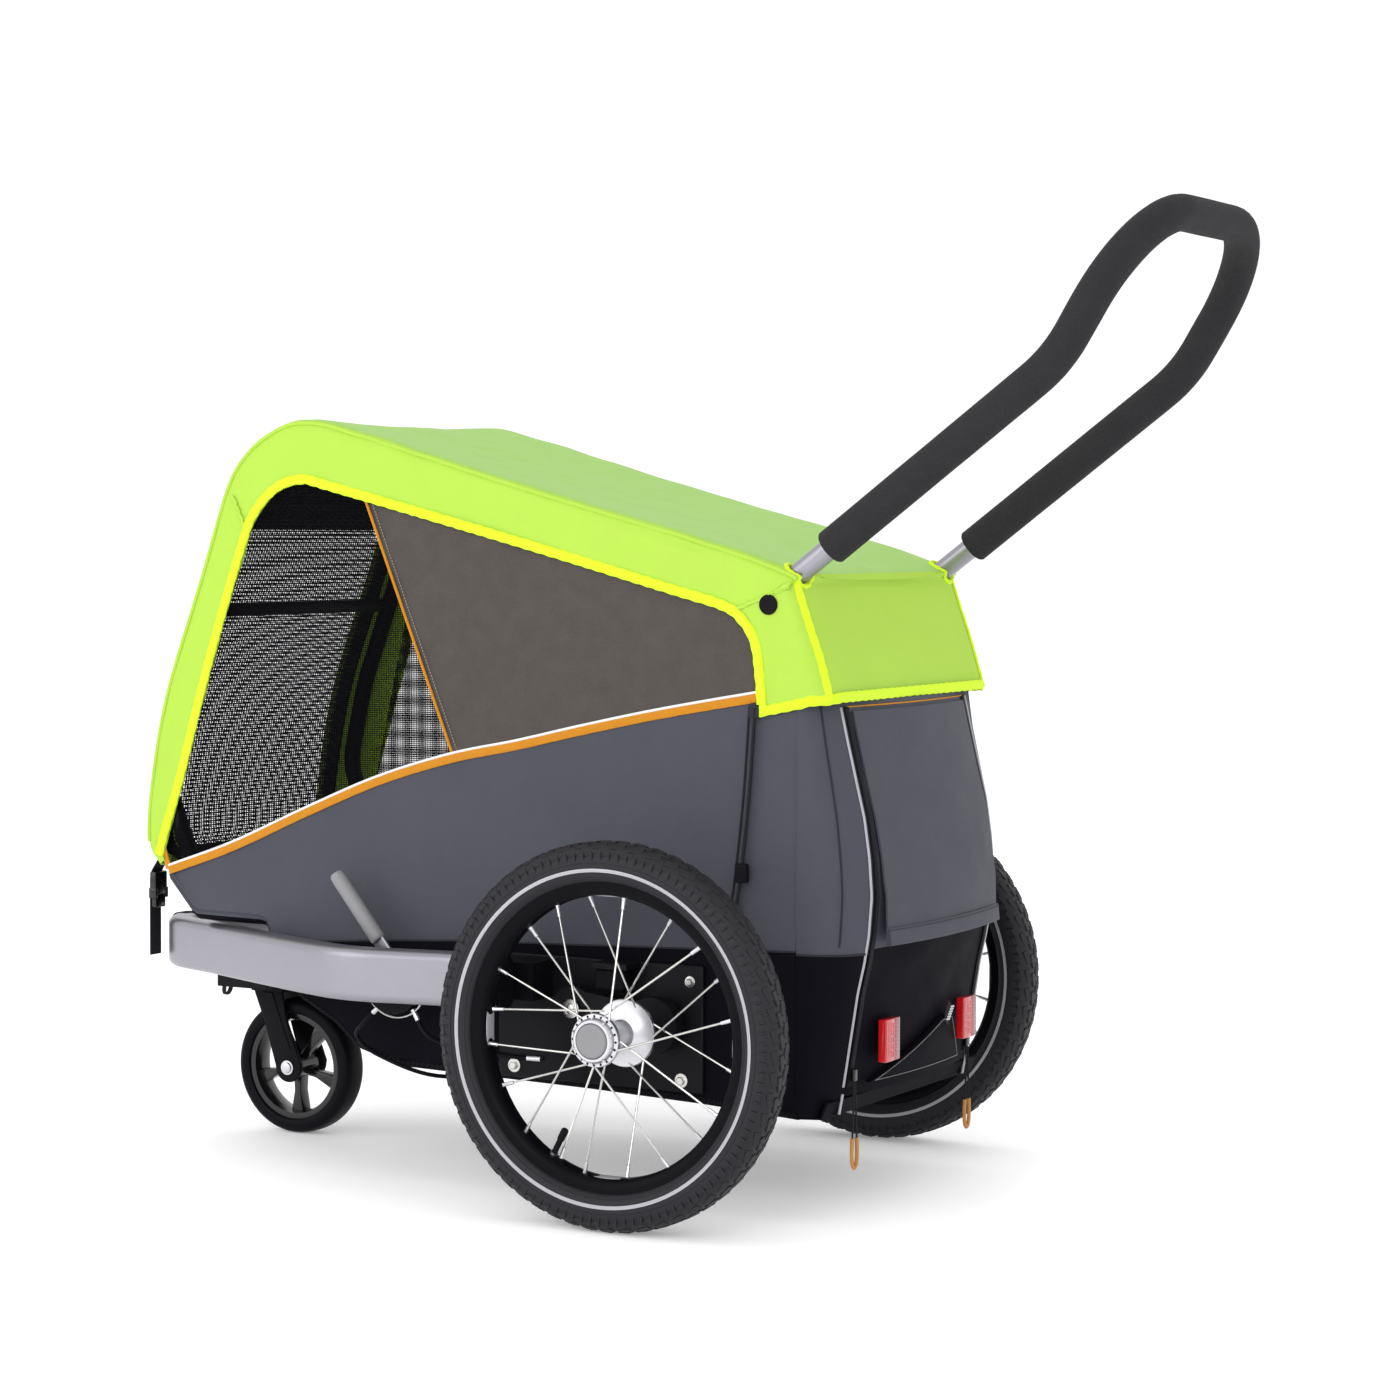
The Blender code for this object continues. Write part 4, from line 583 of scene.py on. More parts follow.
def lathe(profile: Sequence[Pair], sides: int, ring: bool = False) -> Shape:
    """A profile of (x, radius) turned about the X axis.

    Args:
        profile: the profile's points; a radius of 0 makes a pole.
        sides: steps round the axis.
        ring: True if the profile is the closed section of a ring.

    Returns:
        A closed shape.
    """
    profile = list(profile) + ([profile[0]] if ring else [])
    rows = []
    for step in range(sides + 1):
        angle = math.tau * (step % sides) / sides
        rows.append([Vector((x, r * math.cos(angle), r * math.sin(angle))) for x, r in profile])
    shape = grid(rows)
    if not ring:
        width = len(profile)
        for column in (0, width - 1):
            if profile[column][1] > 1e-6:
                shape.faces.append(tuple(step * width + column for step in range(sides)))
                shape.paints.append(0)
    return shape


def slab(outline: Sequence[Pair], x_low: float, x_high: float) -> Shape:
    """A flat plate with an outline in (y, z).

    Args:
        outline: the outline's corners.
        x_low: one face's place.
        x_high: the other face's place.

    Returns:
        A closed shape.
    """
    count = len(outline)
    shape = Shape([Vector((x, y, z)) for x in (x_low, x_high) for y, z in outline])
    shape.faces = [tuple(range(count)), tuple(range(count, 2 * count))[::-1]]
    shape.faces += [(k, (k + 1) % count, count + (k + 1) % count, count + k) for k in range(count)]
    shape.paints = [0] * len(shape.faces)
    return shape


def block(low: Sequence[float], high: Sequence[float]) -> Shape:
    """Returns a box between two corners."""
    (x0, y0, z0), (x1, y1, z1) = low, high
    return slab([(y0, z0), (y1, z0), (y1, z1), (y0, z1)], x0, x1)


def softened(shape: Shape, radius: float, segments: int = 3) -> Shape:
    """A shape with its sharp edges rounded.

    Args:
        shape: a closed shape.
        radius: width of the rounding.
        segments: steps in the rounding.

    Returns:
        The rounded shape.
    """
    work = bmesh.new()
    corners = [work.verts.new(p) for p in shape.points]
    for face in shape.faces:
        work.faces.new([corners[k] for k in face])
    bmesh.ops.remove_doubles(work, verts=work.verts, dist=1e-6)
    bmesh.ops.recalc_face_normals(work, faces=work.faces)
    sharp = [e for e in work.edges if len(e.link_faces) == 2 and e.calc_face_angle() > math.radians(30)]
    bmesh.ops.bevel(work, geom=sharp, offset=radius, segments=segments, profile=0.5, affect="EDGES",
                    clamp_overlap=True)
    work.verts.index_update()
    result = Shape([v.co.copy() for v in work.verts], [tuple(v.index for v in f.verts) for f in work.faces])
    result.paints = [0] * len(result.faces)
    work.free()
    return result


def pad(half: Sequence[float], radius: float, segments: int = 3) -> Shape:
    """Returns a box with rounded edges about the origin, from its half sizes."""
    return softened(block([-size for size in half], half), radius, segments)


def ripple(point: Vector, size: float, seed: float = 0.0) -> float:
    """Returns smooth noise from about -1 to 1 at a point, with spots of that size in metres."""
    return noise.noise(point / size + Vector((seed, seed * 1.7, -seed)))


# --- the workshop ----------------------------------------------------------------------------------
def new_object(name: str, data: bpy.types.ID) -> bpy.types.Object:
    """Returns a new object in the scene that holds the data."""
    made = bpy.data.objects.new(name, data)
    bpy.context.scene.collection.objects.link(made)
    return made


class Repeater:
    """Geometry node trees that repeat a small shape, each laid out once."""

    def __init__(self) -> None:
        """Starts with no tree."""
        self.trees: dict[str, bpy.types.NodeTree] = {}

    def _start(self, name: str, sockets: Sequence[tuple[str, str]]) -> tuple:
        """A new tree with its input and output nodes.

        Args:
            name: the tree's name.
            sockets: (name, type) of each input after the geometry.

        Returns:
            The tree, the input node and the output node.
        """
        tree = bpy.data.node_groups.new(name, "GeometryNodeTree")
        tree.interface.new_socket("Geometry", in_out="INPUT", socket_type="NodeSocketGeometry")
        tree.interface.new_socket("Geometry", in_out="OUTPUT", socket_type="NodeSocketGeometry")
        for label, kind in sockets:
            tree.interface.new_socket(label, in_out="INPUT", socket_type=kind)
        self.trees[name] = tree
        return tree, tree.nodes.new("NodeGroupInput"), tree.nodes.new("NodeGroupOutput")

    @staticmethod
    def _finish(tree: bpy.types.NodeTree, source: bpy.types.NodeSocket, given: bpy.types.Node,
                out: bpy.types.Node) -> bpy.types.NodeTree:
        """Realises the instances, sets the material and returns the tree."""
        node, link = tree.nodes.new, tree.links.new
        real = node("GeometryNodeRealizeInstances")
        paint = node("GeometryNodeSetMaterial")
        link(source, real.inputs[0])
        link(real.outputs[0], paint.inputs["Geometry"])
        link(given.outputs["Material"], paint.inputs["Material"])
        link(paint.outputs[0], out.inputs[0])
        return tree

    def ring_tree(self) -> bpy.types.NodeTree:
        """Returns the tree that turns copies of a shape evenly about the X axis."""
        if "ring_array" in self.trees:
            return self.trees["ring_array"]
        tree, given, out = self._start(
            "ring_array", [("Count", "NodeSocketInt"), ("Material", "NodeSocketMaterial")])
        node, link = tree.nodes.new, tree.links.new
        spots = node("GeometryNodePoints")
        copies = node("GeometryNodeInstanceOnPoints")
        number = node("GeometryNodeInputIndex")
        step, turn = node("ShaderNodeMath"), node("ShaderNodeMath")
        step.operation, turn.operation = "DIVIDE", "MULTIPLY"
        step.inputs[0].default_value = math.tau
        angles = node("ShaderNodeCombineXYZ")
        link(given.outputs["Count"], spots.inputs["Count"])
        link(given.outputs["Count"], step.inputs[1])
        link(number.outputs[0], turn.inputs[0])
        link(step.outputs[0], turn.inputs[1])
        link(turn.outputs[0], angles.inputs["X"])
        link(spots.outputs[0], copies.inputs["Points"])
        link(given.outputs["Geometry"], copies.inputs["Instance"])
        link(angles.outputs[0], copies.inputs["Rotation"])
        return self._finish(tree, copies.outputs[0], given, out)

    def row_tree(self) -> bpy.types.NodeTree:
        """Returns the tree that lays small blocks along a line, each turned to the line."""
        if "row_array" in self.trees:
            return self.trees["row_array"]
        tree, given, out = self._start("row_array", [
            ("Spacing", "NodeSocketFloat"), ("Size", "NodeSocketVector"), ("Facing", "NodeSocketVector"),
            ("Material", "NodeSocketMaterial")])
        node, link = tree.nodes.new, tree.links.new
        line = node("GeometryNodeMeshToCurve")
        even = node("GeometryNodeResampleCurve")
        even.mode = "LENGTH"
        along = node("GeometryNodeInputTangent")
        first = node("FunctionNodeAlignRotationToVector")
        first.axis = "X"
        second = node("FunctionNodeAlignRotationToVector")
        second.axis, second.pivot_axis = "Z", "X"
        brick = node("GeometryNodeMeshCube")
        copies = node("GeometryNodeInstanceOnPoints")
        link(given.outputs["Geometry"], line.inputs["Mesh"])
        link(line.outputs["Curve"], even.inputs["Curve"])
        link(given.outputs["Spacing"], even.inputs["Length"])
        link(along.outputs[0], first.inputs["Vector"])
        link(first.outputs[0], second.inputs["Rotation"])
        link(given.outputs["Facing"], second.inputs["Vector"])
        link(given.outputs["Size"], brick.inputs["Size"])
        link(even.outputs[0], copies.inputs["Points"])
        link(brick.outputs[0], copies.inputs["Instance"])
        link(second.outputs[0], copies.inputs["Rotation"])
        return self._finish(tree, copies.outputs[0], given, out)

    def net_tree(self) -> bpy.types.NodeTree:
        """Returns the tree that turns lines into threads."""
        if "net" in self.trees:
            return self.trees["net"]
        tree, given, out = self._start(
            "net", [("Radius", "NodeSocketFloat"), ("Material", "NodeSocketMaterial")])
        node, link = tree.nodes.new, tree.links.new
        line = node("GeometryNodeMeshToCurve")
        ring = node("GeometryNodeCurvePrimitiveCircle")
        ring.inputs["Resolution"].default_value = 4
        threads = node("GeometryNodeCurveToMesh")
        threads.inputs["Fill Caps"].default_value = True
        link(given.outputs["Geometry"], line.inputs["Mesh"])
        link(line.outputs["Curve"], threads.inputs["Curve"])
        link(given.outputs["Radius"], ring.inputs["Radius"])
        link(ring.outputs["Curve"], threads.inputs["Profile Curve"])
        return self._finish(tree, threads.outputs[0], given, out)

    @staticmethod
    def run(tree: bpy.types.NodeTree, points: Sequence[Vector], edges: Sequence[tuple[int, int]],
            faces: Sequence[Face], values: dict[str, object]) -> Shape:
        """Runs a tree on a mesh.

        Args:
            tree: the tree.
            points: the mesh's points.
            edges: its loose edges.
            faces: its faces.
            values: value of each named input.

        Returns:
            The made shape.
        """
        mesh = bpy.data.meshes.new("source")
        mesh.from_pydata([tuple(p) for p in points], edges, faces)
        holder = new_object("source", mesh)
        repeat = holder.modifiers.new("repeat", "NODES")
        repeat.node_group = tree
        for item in tree.interface.items_tree:
            if item.item_type == "SOCKET" and item.in_out == "INPUT" and item.name in values:
                repeat[item.identifier] = values[item.name]
        graph = bpy.context.evaluated_depsgraph_get()
        made = bpy.data.meshes.new_from_object(holder.evaluated_get(graph))
        shape = Shape([v.co.copy() for v in made.vertices], [tuple(p.vertices) for p in made.polygons])
        shape.paints = [0] * len(shape.faces)
        bpy.data.objects.remove(holder)
        bpy.data.meshes.remove(mesh)
        bpy.data.meshes.remove(made)
        return shape

    def ring(self, unit: Shape, count: int, finish: Finish) -> Shape:
        """Copies of a unit evenly round the X axis.

        Args:
            unit: the shape at its place for the first copy.
            count: number of copies.
            finish: finish of the copies.

        Returns:
            All copies.
        """
        return self.run(self.ring_tree(), unit.points, [], unit.faces,
                        {"Count": count, "Material": finish.material()})

    def row(self, lines: Iterable[Sequence[Vector]], spacing: float, size: Sequence[float],
            facing: Sequence[float], finish: Finish) -> Shape:
        """Small blocks along lines.

        Args:
            lines: the lines.
            spacing: from one block to the next.
            size: length along the line, width and height of a block.
            facing: direction of the block's height.
            finish: finish of the blocks.

        Returns:
            All blocks.
        """
        points, edges = joined_lines(lines)
        return self.run(self.row_tree(), points, edges, [], {
            "Spacing": spacing, "Size": tuple(size), "Facing": tuple(facing), "Material": finish.material()})

    def net(self, lines: Iterable[Sequence[Vector]], radius: float, finish: Finish) -> Shape:
        """Threads along lines.

        Args:
            lines: the lines.
            radius: radius of a thread.
            finish: finish of the threads.

        Returns:
            All threads.
        """
        points, edges = joined_lines(lines)
        return self.run(self.net_tree(), points, edges, [], {"Radius": radius, "Material": finish.material()})


def joined_lines(lines: Iterable[Sequence[Vector]]) -> tuple[list[Vector], list[tuple[int, int]]]:
    """Returns the points and edges of several lines as one mesh."""
    points, edges = [], []
    for line in lines:
        start = len(points)
        points += [Vector(p) for p in line]
        edges += [(start + k, start + k + 1) for k in range(len(line) - 1)]
    return points, edges


class Workshop:
    """Makes the pieces, puts them in their place and keeps count."""

    def __init__(self, axle_y: float) -> None:
        """Starts an empty workshop.

        Args:
            axle_y: y of the wheel axle in the frame.
        """
        self.axle = Vector((0, axle_y, 0))
        self.repeat = Repeater()
        self.made: dict[str, bpy.types.Object] = {}

    def placed(self, points: Iterable[Vector]) -> list[Vector]:
        """Returns points moved from the axle's place into the frame."""
        return [Vector(p) + self.axle for p in points]

    def piece(self, name: str, shape: Shape, finishes: Finish | Sequence[Finish], body: str = "chassis",
              replaces: Sequence[str] = (), sharp: float = 38.0, outward: bool = True,
              thickness: float = 0.0, holes: Sequence[Shape] = ()) -> bpy.types.Object:
        """One finished object.

        Args:
            name: its name.
            shape: its form, with y = 0 on the wheel axle.
            finishes: the finish, or one for each paint number.
            body: the frame's body that it moves with.
            replaces: the frame's nodes that it stands for.
            sharp: edges above this angle, in degrees, stay sharp.
            outward: True to turn the faces outward.
            thickness: cloth thickness to add on the inner side of an open surface.
            holes: closed shapes to cut away.

        Returns:
            The object.
        """
        finishes = [finishes] if isinstance(finishes, Finish) else list(finishes)
        mesh = bpy.data.meshes.new(name)
        mesh.from_pydata([tuple(p) for p in self.placed(shape.points)], [], shape.faces)
        for finish in finishes:
            mesh.materials.append(finish.material())
        mesh.polygons.foreach_set("material_index", shape.paints)
        work = bmesh.new()
        work.from_mesh(mesh)
        bmesh.ops.remove_doubles(work, verts=work.verts, dist=1e-6)
        if outward:
            bmesh.ops.recalc_face_normals(work, faces=work.faces)
        work.to_mesh(mesh)
        work.free()
        piece = new_object(name, mesh)
        if thickness or holes:
            self._cut(piece, thickness, holes)
        piece.data.shade_smooth()
        piece.data.set_sharp_from_angle(angle=math.radians(sharp))
        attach(piece, body)
        if replaces:
            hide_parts(*replaces)
        self.made[name] = piece
        log.info("%s: %d faces, %s, on %s%s", name, len(piece.data.polygons), finishes[0].name, body,
                 f", for {', '.join(replaces)}" if replaces else "")
        return piece

    def _cut(self, piece: bpy.types.Object, thickness: float, holes: Sequence[Shape]) -> None:
        """Thickens a surface and cuts holes, and keeps the result as the mesh."""
        cutters = []
        if thickness:
            solid = piece.modifiers.new("cloth", "SOLIDIFY")
            solid.thickness, solid.offset, solid.use_even_offset = thickness, -1, False
        for hole in holes:
            mesh = bpy.data.meshes.new("cutter")
            mesh.from_pydata([tuple(p) for p in self.placed(hole.points)], [], hole.faces)
            work = bmesh.new()
            work.from_mesh(mesh)
            bmesh.ops.recalc_face_normals(work, faces=work.faces)
            work.to_mesh(mesh)
            work.free()
            cutter = new_object("cutter", mesh)
            cutters.append(cutter)
            cut = piece.modifiers.new("cut", "BOOLEAN")
            cut.operation, cut.solver, cut.object = "DIFFERENCE", "EXACT", cutter
        graph = bpy.context.evaluated_depsgraph_get()
        mesh = bpy.data.meshes.new_from_object(piece.evaluated_get(graph))
        piece.modifiers.clear()
        piece.data = mesh
        for cutter in cutters:
            bpy.data.objects.remove(cutter)

    def cloth(self, name: str, rows: Sequence[Sequence[Vector]], finishes: Finish | Sequence[Finish],
              towards: Sequence[float], thickness: float = 0.0025,
              paint: Callable[[int, int], int] | None = None, **options: object) -> bpy.types.Object:
        """A fabric panel.

        Args:
            name: its name.
            rows: rows of points on its outer face.
            finishes: its finish or finishes.
            towards: a direction on its outer side.
            thickness: of the cloth.
            paint: finish number for a row and column.
            options: more options of piece().

        Returns:
            The object.
        """
        shape = grid(rows, paint=paint)
        a, b, c = (shape.points[k] for k in shape.faces[len(shape.faces) // 2][:3])
        if (b - a).cross(c - b).dot(Vector(towards)) < 0:
            shape.faces = [face[::-1] for face in shape.faces]
        return self.piece(name, shape, finishes, outward=False, thickness=thickness, **options)

    def declare_sheet(self, piece: bpy.types.Object, rests_on: Sequence[str],
                      with_pieces: Sequence = ()) -> None:
        """Declares a stretched cloth by its own measured cut.

        Args:
            piece: the cloth.
            rests_on: names of what holds it; not used.
            with_pieces: pieces sewn to it; not used.
        """
        low, high = (Vector(f(v.co[k] for v in piece.data.vertices) for k in range(3)) for f in (min, max))

    def cord(self, name: str, line: Sequence[Vector], section: Sequence[Pair], diameter: float,
             finish: Finish, far_end: str, tops: Sequence[Vector] | None = None, lay: str = "taut",
             stiffness: str = "medium", with_pieces: Sequence = (), **options: object) -> bpy.types.Object:
        """A declared cord.

        Args:
            name: its name.
            line: its centre line.
            section: its section.
            diameter: of the cord, or a strap's width; not used.
            finish: its finish.
            far_end: what its far end is; not used.
            tops: direction of the section's second axis, one for each point.
            lay: how it lies; not used.
            stiffness: how stiff it is; not used.
            with_pieces: pieces on it; not used.
            options: more options of piece().

        Returns:
            The object.
        """
        piece = self.piece(name, tube(line, section, tops), finish, **options)
        return piece

    @staticmethod
    def repaint(frame: dict, node: str, finish: Finish) -> None:
        """Gives one of the frame's own nodes a better finish.

        Args:
            frame: the loaded frame.
            node: the node's name.
            finish: the finish.
        """
        obj = frame["nodes"][node]
        obj.data.materials.clear()
        obj.data.materials.append(finish.material())
        log.info("%s: kept from the frame, %s", node, finish.name)


# --- sizes of the body -----------------------------------------------------------------------------
@dataclass(frozen=True)
class BodyLines:
    """Outlines of the cabin as (y, z), and its widths."""

    half: float = 0.197
    cover_half: float = 0.1993
    cloth: float = 0.0025
    corner_y: float = 0.150
    door_half: float = 0.150
    door_top: float = 0.540
    door_bottom: float = 0.130
    black_below: float = 0.279
    crown: tuple[Pair, ...] = (
        (-0.668, 0.330), (-0.683, 0.357), (-0.678, 0.427), (-0.656, 0.529), (-0.607, 0.662), (-0.573, 0.757),
        (-0.552, 0.792), (-0.527, 0.814), (-0.497, 0.830), (-0.464, 0.836), (-0.409, 0.827), (-0.180, 0.764),
        (0.032, 0.709), (0.140, 0.676))
    seam: tuple[Pair, ...] = ((0.149, 0.660), (0.163, 0.620), (0.176, 0.585), (0.1885, 0.5415))
    hem: tuple[Pair, ...] = (
        (-0.660, 0.338), (-0.650, 0.368), (-0.628, 0.429), (-0.597, 0.531), (-0.562, 0.635), (-0.537, 0.706),
        (-0.526, 0.728), (-0.511, 0.745), (-0.492, 0.758), (-0.464, 0.764), (-0.429, 0.757), (-0.188, 0.698),
        (0.000, 0.650), (0.060, 0.636), (0.082, 0.622), (0.097, 0.600), (0.103, 0.565), (0.106, 0.525))
    trim: tuple[Pair, ...] = (
        (-0.650, 0.330), (-0.561, 0.361), (-0.461, 0.404), (-0.364, 0.443), (-0.270, 0.471), (-0.187, 0.488),
        (-0.100, 0.508), (0.000, 0.529), (0.150, 0.556))
    boundary: tuple[Pair, ...] = ((-0.652, 0.240), (-0.488, 0.254), (-0.365, 0.263), (-0.267, 0.269),
                                  (0.150, 0.283))
    belly: tuple[Pair, ...] = (
        (-0.650, 0.312), (-0.614, 0.2715), (-0.516, 0.2700), (-0.500, 0.226), (-0.470, 0.190),
        (-0.422, 0.165), (-0.392, 0.140), (-0.340, 0.125), (-0.100, 0.120), (0.040, 0.115), (0.150, 0.108))
    rear: tuple[Pair, ...] = (
        (0.110, 0.179), (0.128, 0.183), (0.240, 0.201), (0.270, 0.208), (0.300, 0.213), (0.340, 0.216),
        (0.380, 0.213), (0.420, 0.207), (0.460, 0.197), (0.500, 0.187), (0.560, 0.173))
    piping_foot: float = -0.268
    piping_slope: float = -0.413

    def rear_y(self, z: float) -> float:
        """Returns y of the rear edge at the zips."""
        return value_on(self.rear, z)

    def door_y(self, x: float, z: float, out: float = 0.0) -> float:
        """Returns y of the bulging door, moved out by a distance."""
        return self.rear_y(z) + 0.014 * (1 - (x / self.door_half) ** 2) + out

    def tub_top(self, y: float) -> float:
        """Returns the height at which the grey side starts."""
        return max(value_on(self.boundary, y), value_on(self.belly, y) + 0.012)

    def inset(self, line: Sequence[Pair], distance: float) -> list[Pair]:
        """Returns a line of (y, z) moved square to itself, towards the cabin."""
        moved = []
        for index, (y, z) in enumerate(line):
            before, after = line[max(index - 1, 0)], line[min(index + 1, len(line) - 1)]
            dy, dz = after[0] - before[0], after[1] - before[1]
            length = math.hypot(dy, dz)
            moved.append((y + dz / length * distance, z - dy / length * distance))
        return moved

    def flat(self, line: Sequence[Pair], x: float) -> list[Vector]:
        """Returns a line of (y, z) as points at one x."""
        return [Vector((x, y, z)) for y, z in line]


BODY = BodyLines()
BAR_ANGLE = math.radians(37)


def along_bar(distance: float, square: float = 0.0) -> Pair:
    """Returns (y, z) of a point on the push bar's lower leg, moved square to it."""
    c, s = math.cos(BAR_ANGLE), math.sin(BAR_ANGLE)
    return 0.086 + distance * c - square * s, 0.630 + distance * s + square * c


# --- the lime cover --------------------------------------------------------------------------------
@dataclass
class Cover:
    """The lime hood with its hems, seams and badge."""

    shop: Workshop
    fine: int = 14
    thickness: float = 0.002
    border: float = 0.045
    roof_from: int = 6
    corner_points: int = 7
    side_points: int = 15
    roof_points: int = 13
    bar_hole: float = 0.0150
    side_tape: float = 0.0112
    rear_tape: float = 0.0110
    seam_tape: float = 0.0085
    rear_corner: float = 0.025
    # Faces whose normal points more nearly straight up or down than this get the painted roof shade.
    flattest_side: float = 0.86

    def _lines(self) -> tuple[list[Vector], list[Vector], list[Vector]]:
        """Returns the hem, the inner corner line and the crown as fine lines in the plane x = 0."""
        crown = BODY.flat(BODY.crown + BODY.seam, 0)
        inner = BODY.flat(BODY.inset(BODY.crown, 0.016) + [(y - 0.016, z - 0.003) for y, z in BODY.seam], 0)
        hem = BODY.flat(BODY.hem, 0)
        return smoothed(hem, self.fine), smoothed(inner, self.fine), smoothed(crown, self.fine)

    def _pucker(self, point: Vector, share: float, travel: float) -> float:
        """Height of the cloth's wrinkles.

        Args:
            point: the place.
            share: 0 at the hem and 1 at the crown.
            travel: distance along the hem.

        Returns:
            The distance to move the point outward.
        """
        near_hem = max(0.0, 1 - share / 0.28)
        gather = math.sin(travel / 0.0085 + 2.2 * ripple(point, 0.05, 3.0)) * 0.0012 * near_hem ** 1.5
        folds = ripple(Vector((point.x, point.y, point.z * 0.35)), 0.050, 5.0) * 0.0034
        broad = ripple(point, 0.13, 9.0) * 0.0036
        return gather + folds * (0.35 + 0.65 * near_hem) + broad * (1 - near_hem)

    def rows(self) -> list[list[Vector]]:
        """Returns rows across the whole cover, from its front tip to the rear hem."""
        hem, inner, crown = self._lines()
        rows, travel = [], 0.0
        for index, (h, i, c) in enumerate(zip(hem, inner, crown)):
            travel += (h - hem[index - 1]).length if index else 0.0
            station = index / self.fine
            late = blend_step((station - 12.3) / 1.6)
            fold = 0.014 + 0.011 * late
            roof = station >= self.roof_from
            edge = BODY.cover_half - fold
            half = []
            for k in range(self.side_points):
                t = k / (self.side_points - 1)
                place = h.lerp(i, t)
                out = self._pucker(place, t, travel) * (1 if k else 0.6)
                half.append(Vector((BODY.cover_half + max(-0.0012, out), place.y, place.z)))
            for k in range(1, self.corner_points + 1):
                angle = math.radians(90 * k / self.corner_points)
                blend = i.lerp(c, math.sin(angle))
                x = edge + fold * math.cos(angle)
                out = 0.0012 * ripple(Vector((x, blend.y, blend.z)), 0.045, 2.0)
                half.append(Vector((x + out * 0.7, blend.y, blend.z + out)))
            inward_to = 0.0 if roof else edge - self.border
            for k in range(1, self.roof_points + 1):
                half.append(Vector((edge + (inward_to - edge) * k / self.roof_points, c.y, c.z)))
            rows.append(half)
        return rows

    def _settled(self, point: Vector, station: float, edge_share: float) -> Vector:
        """Lets the roof sag a little between its edges."""
        sag = 0.0045 * edge_share * (2 - edge_share) * (1 if station > self.roof_from else 0)
        wave = (0.0026 * ripple(point, 0.09, 11.0) + 0.0010 * ripple(point, 0.03, 14.0)) * edge_share
        seam = station > len(BODY.crown) - 0.6
        normal = Vector((0, 0.93, 0.36)) if seam else Vector((0, -0.15, 0.98))
        return point + normal * (wave * (0.5 if seam else 1) - sag * (0.2 if seam else 1))

    def surface(self) -> Shape:
        """Returns the outer surface of both halves, with the front left open for the window."""
        shape = Shape()
        rows = self.rows()
        corner = self.side_points + self.corner_points
        for side in (1, -1):
            table = []
            for index, half in enumerate(rows):
                station = index / self.fine
                row = []
                for k, p in enumerate(half):
                    q = Vector((p.x * side, p.y, p.z))
                    if k >= corner:
                        share = (k - corner + 1) / self.roof_points
                        q = self._settled(q, station, share if station >= self.roof_from else share * 0.2)
                    row.append(q)
                table.append(row)
            joined = self.roof_from * self.fine
            part = grid(table)
            across = len(table[0]) - 1
            kept = [face for number, face in enumerate(part.faces)
                    if number // across != joined - 1 or number % across < corner]
            part = Shape(part.points, kept, [0] * len(kept)).add(self._bridge(table, joined, corner))
            shape.add(part if side > 0 else part.flipped())
        return shape

    def _bridge(self, table: list[list[Vector]], joined: int, corner: int) -> Shape:
        """Joins the narrow border's last row to the full roof's first row.

        Args:
            table: rows of points on one half of the cover.
            joined: number of the roof's first row.
            corner: number of a row's first point on the border or roof.

        Returns:
            The joining faces with their own points.
        """
        low, high = table[joined - 1][corner - 1:], table[joined][corner - 1:]
        shape = Shape(low + high)
        count = len(low)
        tops = [min(range(count), key=lambda m: abs(abs(high[0].x - high[m].x) - abs(low[0].x - p.x)))
                for p in low]
        for k in range(count - 1):
            shape.faces.append((k, k + 1, *(count + m for m in range(tops[k + 1], tops[k] - 1, -1))))
        shape.paints = [0] * len(shape.faces)
        return shape

    def build(self) -> bpy.types.Object:
        """Returns the cover."""
        surface = self.surface()
        rings = [self._bar_ring(surface, side) for side, _ in SIDES]
        self._open_for_bar(surface)
        highest = max(surface.faces, key=lambda f: surface.points[f[0]].z + surface.points[f[2]].z)
        a, b, c = (surface.points[k] for k in highest[:3])
        if (b - a).cross(c - b).z < 0:
            surface.faces = [f[::-1] for f in surface.faces]
        # Finish 1 is the painted roof shade, the darker lime on the faces that face up.
        cover = self.shop.piece("cover_cloth", surface, [FINISH.lime, FINISH.lime_roof_shade], replaces=["cover"],
                                outward=False, thickness=self.thickness, sharp=60)
        collars = [self.shop.piece(f"bar_collar_{word}", ring, FINISH.lime_tape)
                   for ring, (_, word) in zip(rings, SIDES)]
        extras = [*self.hems(), *self.corner_seams(), *self.welts(), self.badge(), *collars]
        self.shop.declare_sheet(cover, ["side_hoop_left", "side_hoop_right"], extras)
        return cover

    @staticmethod
    def _bar_frame(side: int) -> tuple[Vector, Vector, Vector]:
        """Returns a point on the bar outside the cover, the bar's direction and one square to it."""
        ahead = Vector((0, math.cos(BAR_ANGLE), math.sin(BAR_ANGLE)))
        return Vector((side * 0.177, *along_bar(0.150))), ahead, X_AXIS.cross(ahead)

    def _bar_ring(self, surface: Shape, side: int) -> Shape:
        """A sewn ring on the cover where the push bar comes out.

        Args:
            surface: the cover's outer surface.
            side: 1 for left and -1 for right.

        Returns:
            The ring.
        """
        tree = BVHTree.FromPolygons(surface.points, surface.faces)
        origin, ahead, square = self._bar_frame(side)
        loop = []
        for k in range(40):
            angle = math.tau * k / 40
            start = origin + (X_AXIS * math.cos(angle) + square * math.sin(angle)) * self.bar_hole
            hit = tree.ray_cast(start, -ahead, 0.14)[0]
            if hit is not None:
                loop.append(hit)
        sizes = [1 + 0.18 * math.sin(1.9 * k) for k in range(len(loop))]
        return tube(loop, circle(0.0027, 8), None, sizes, closed=True)

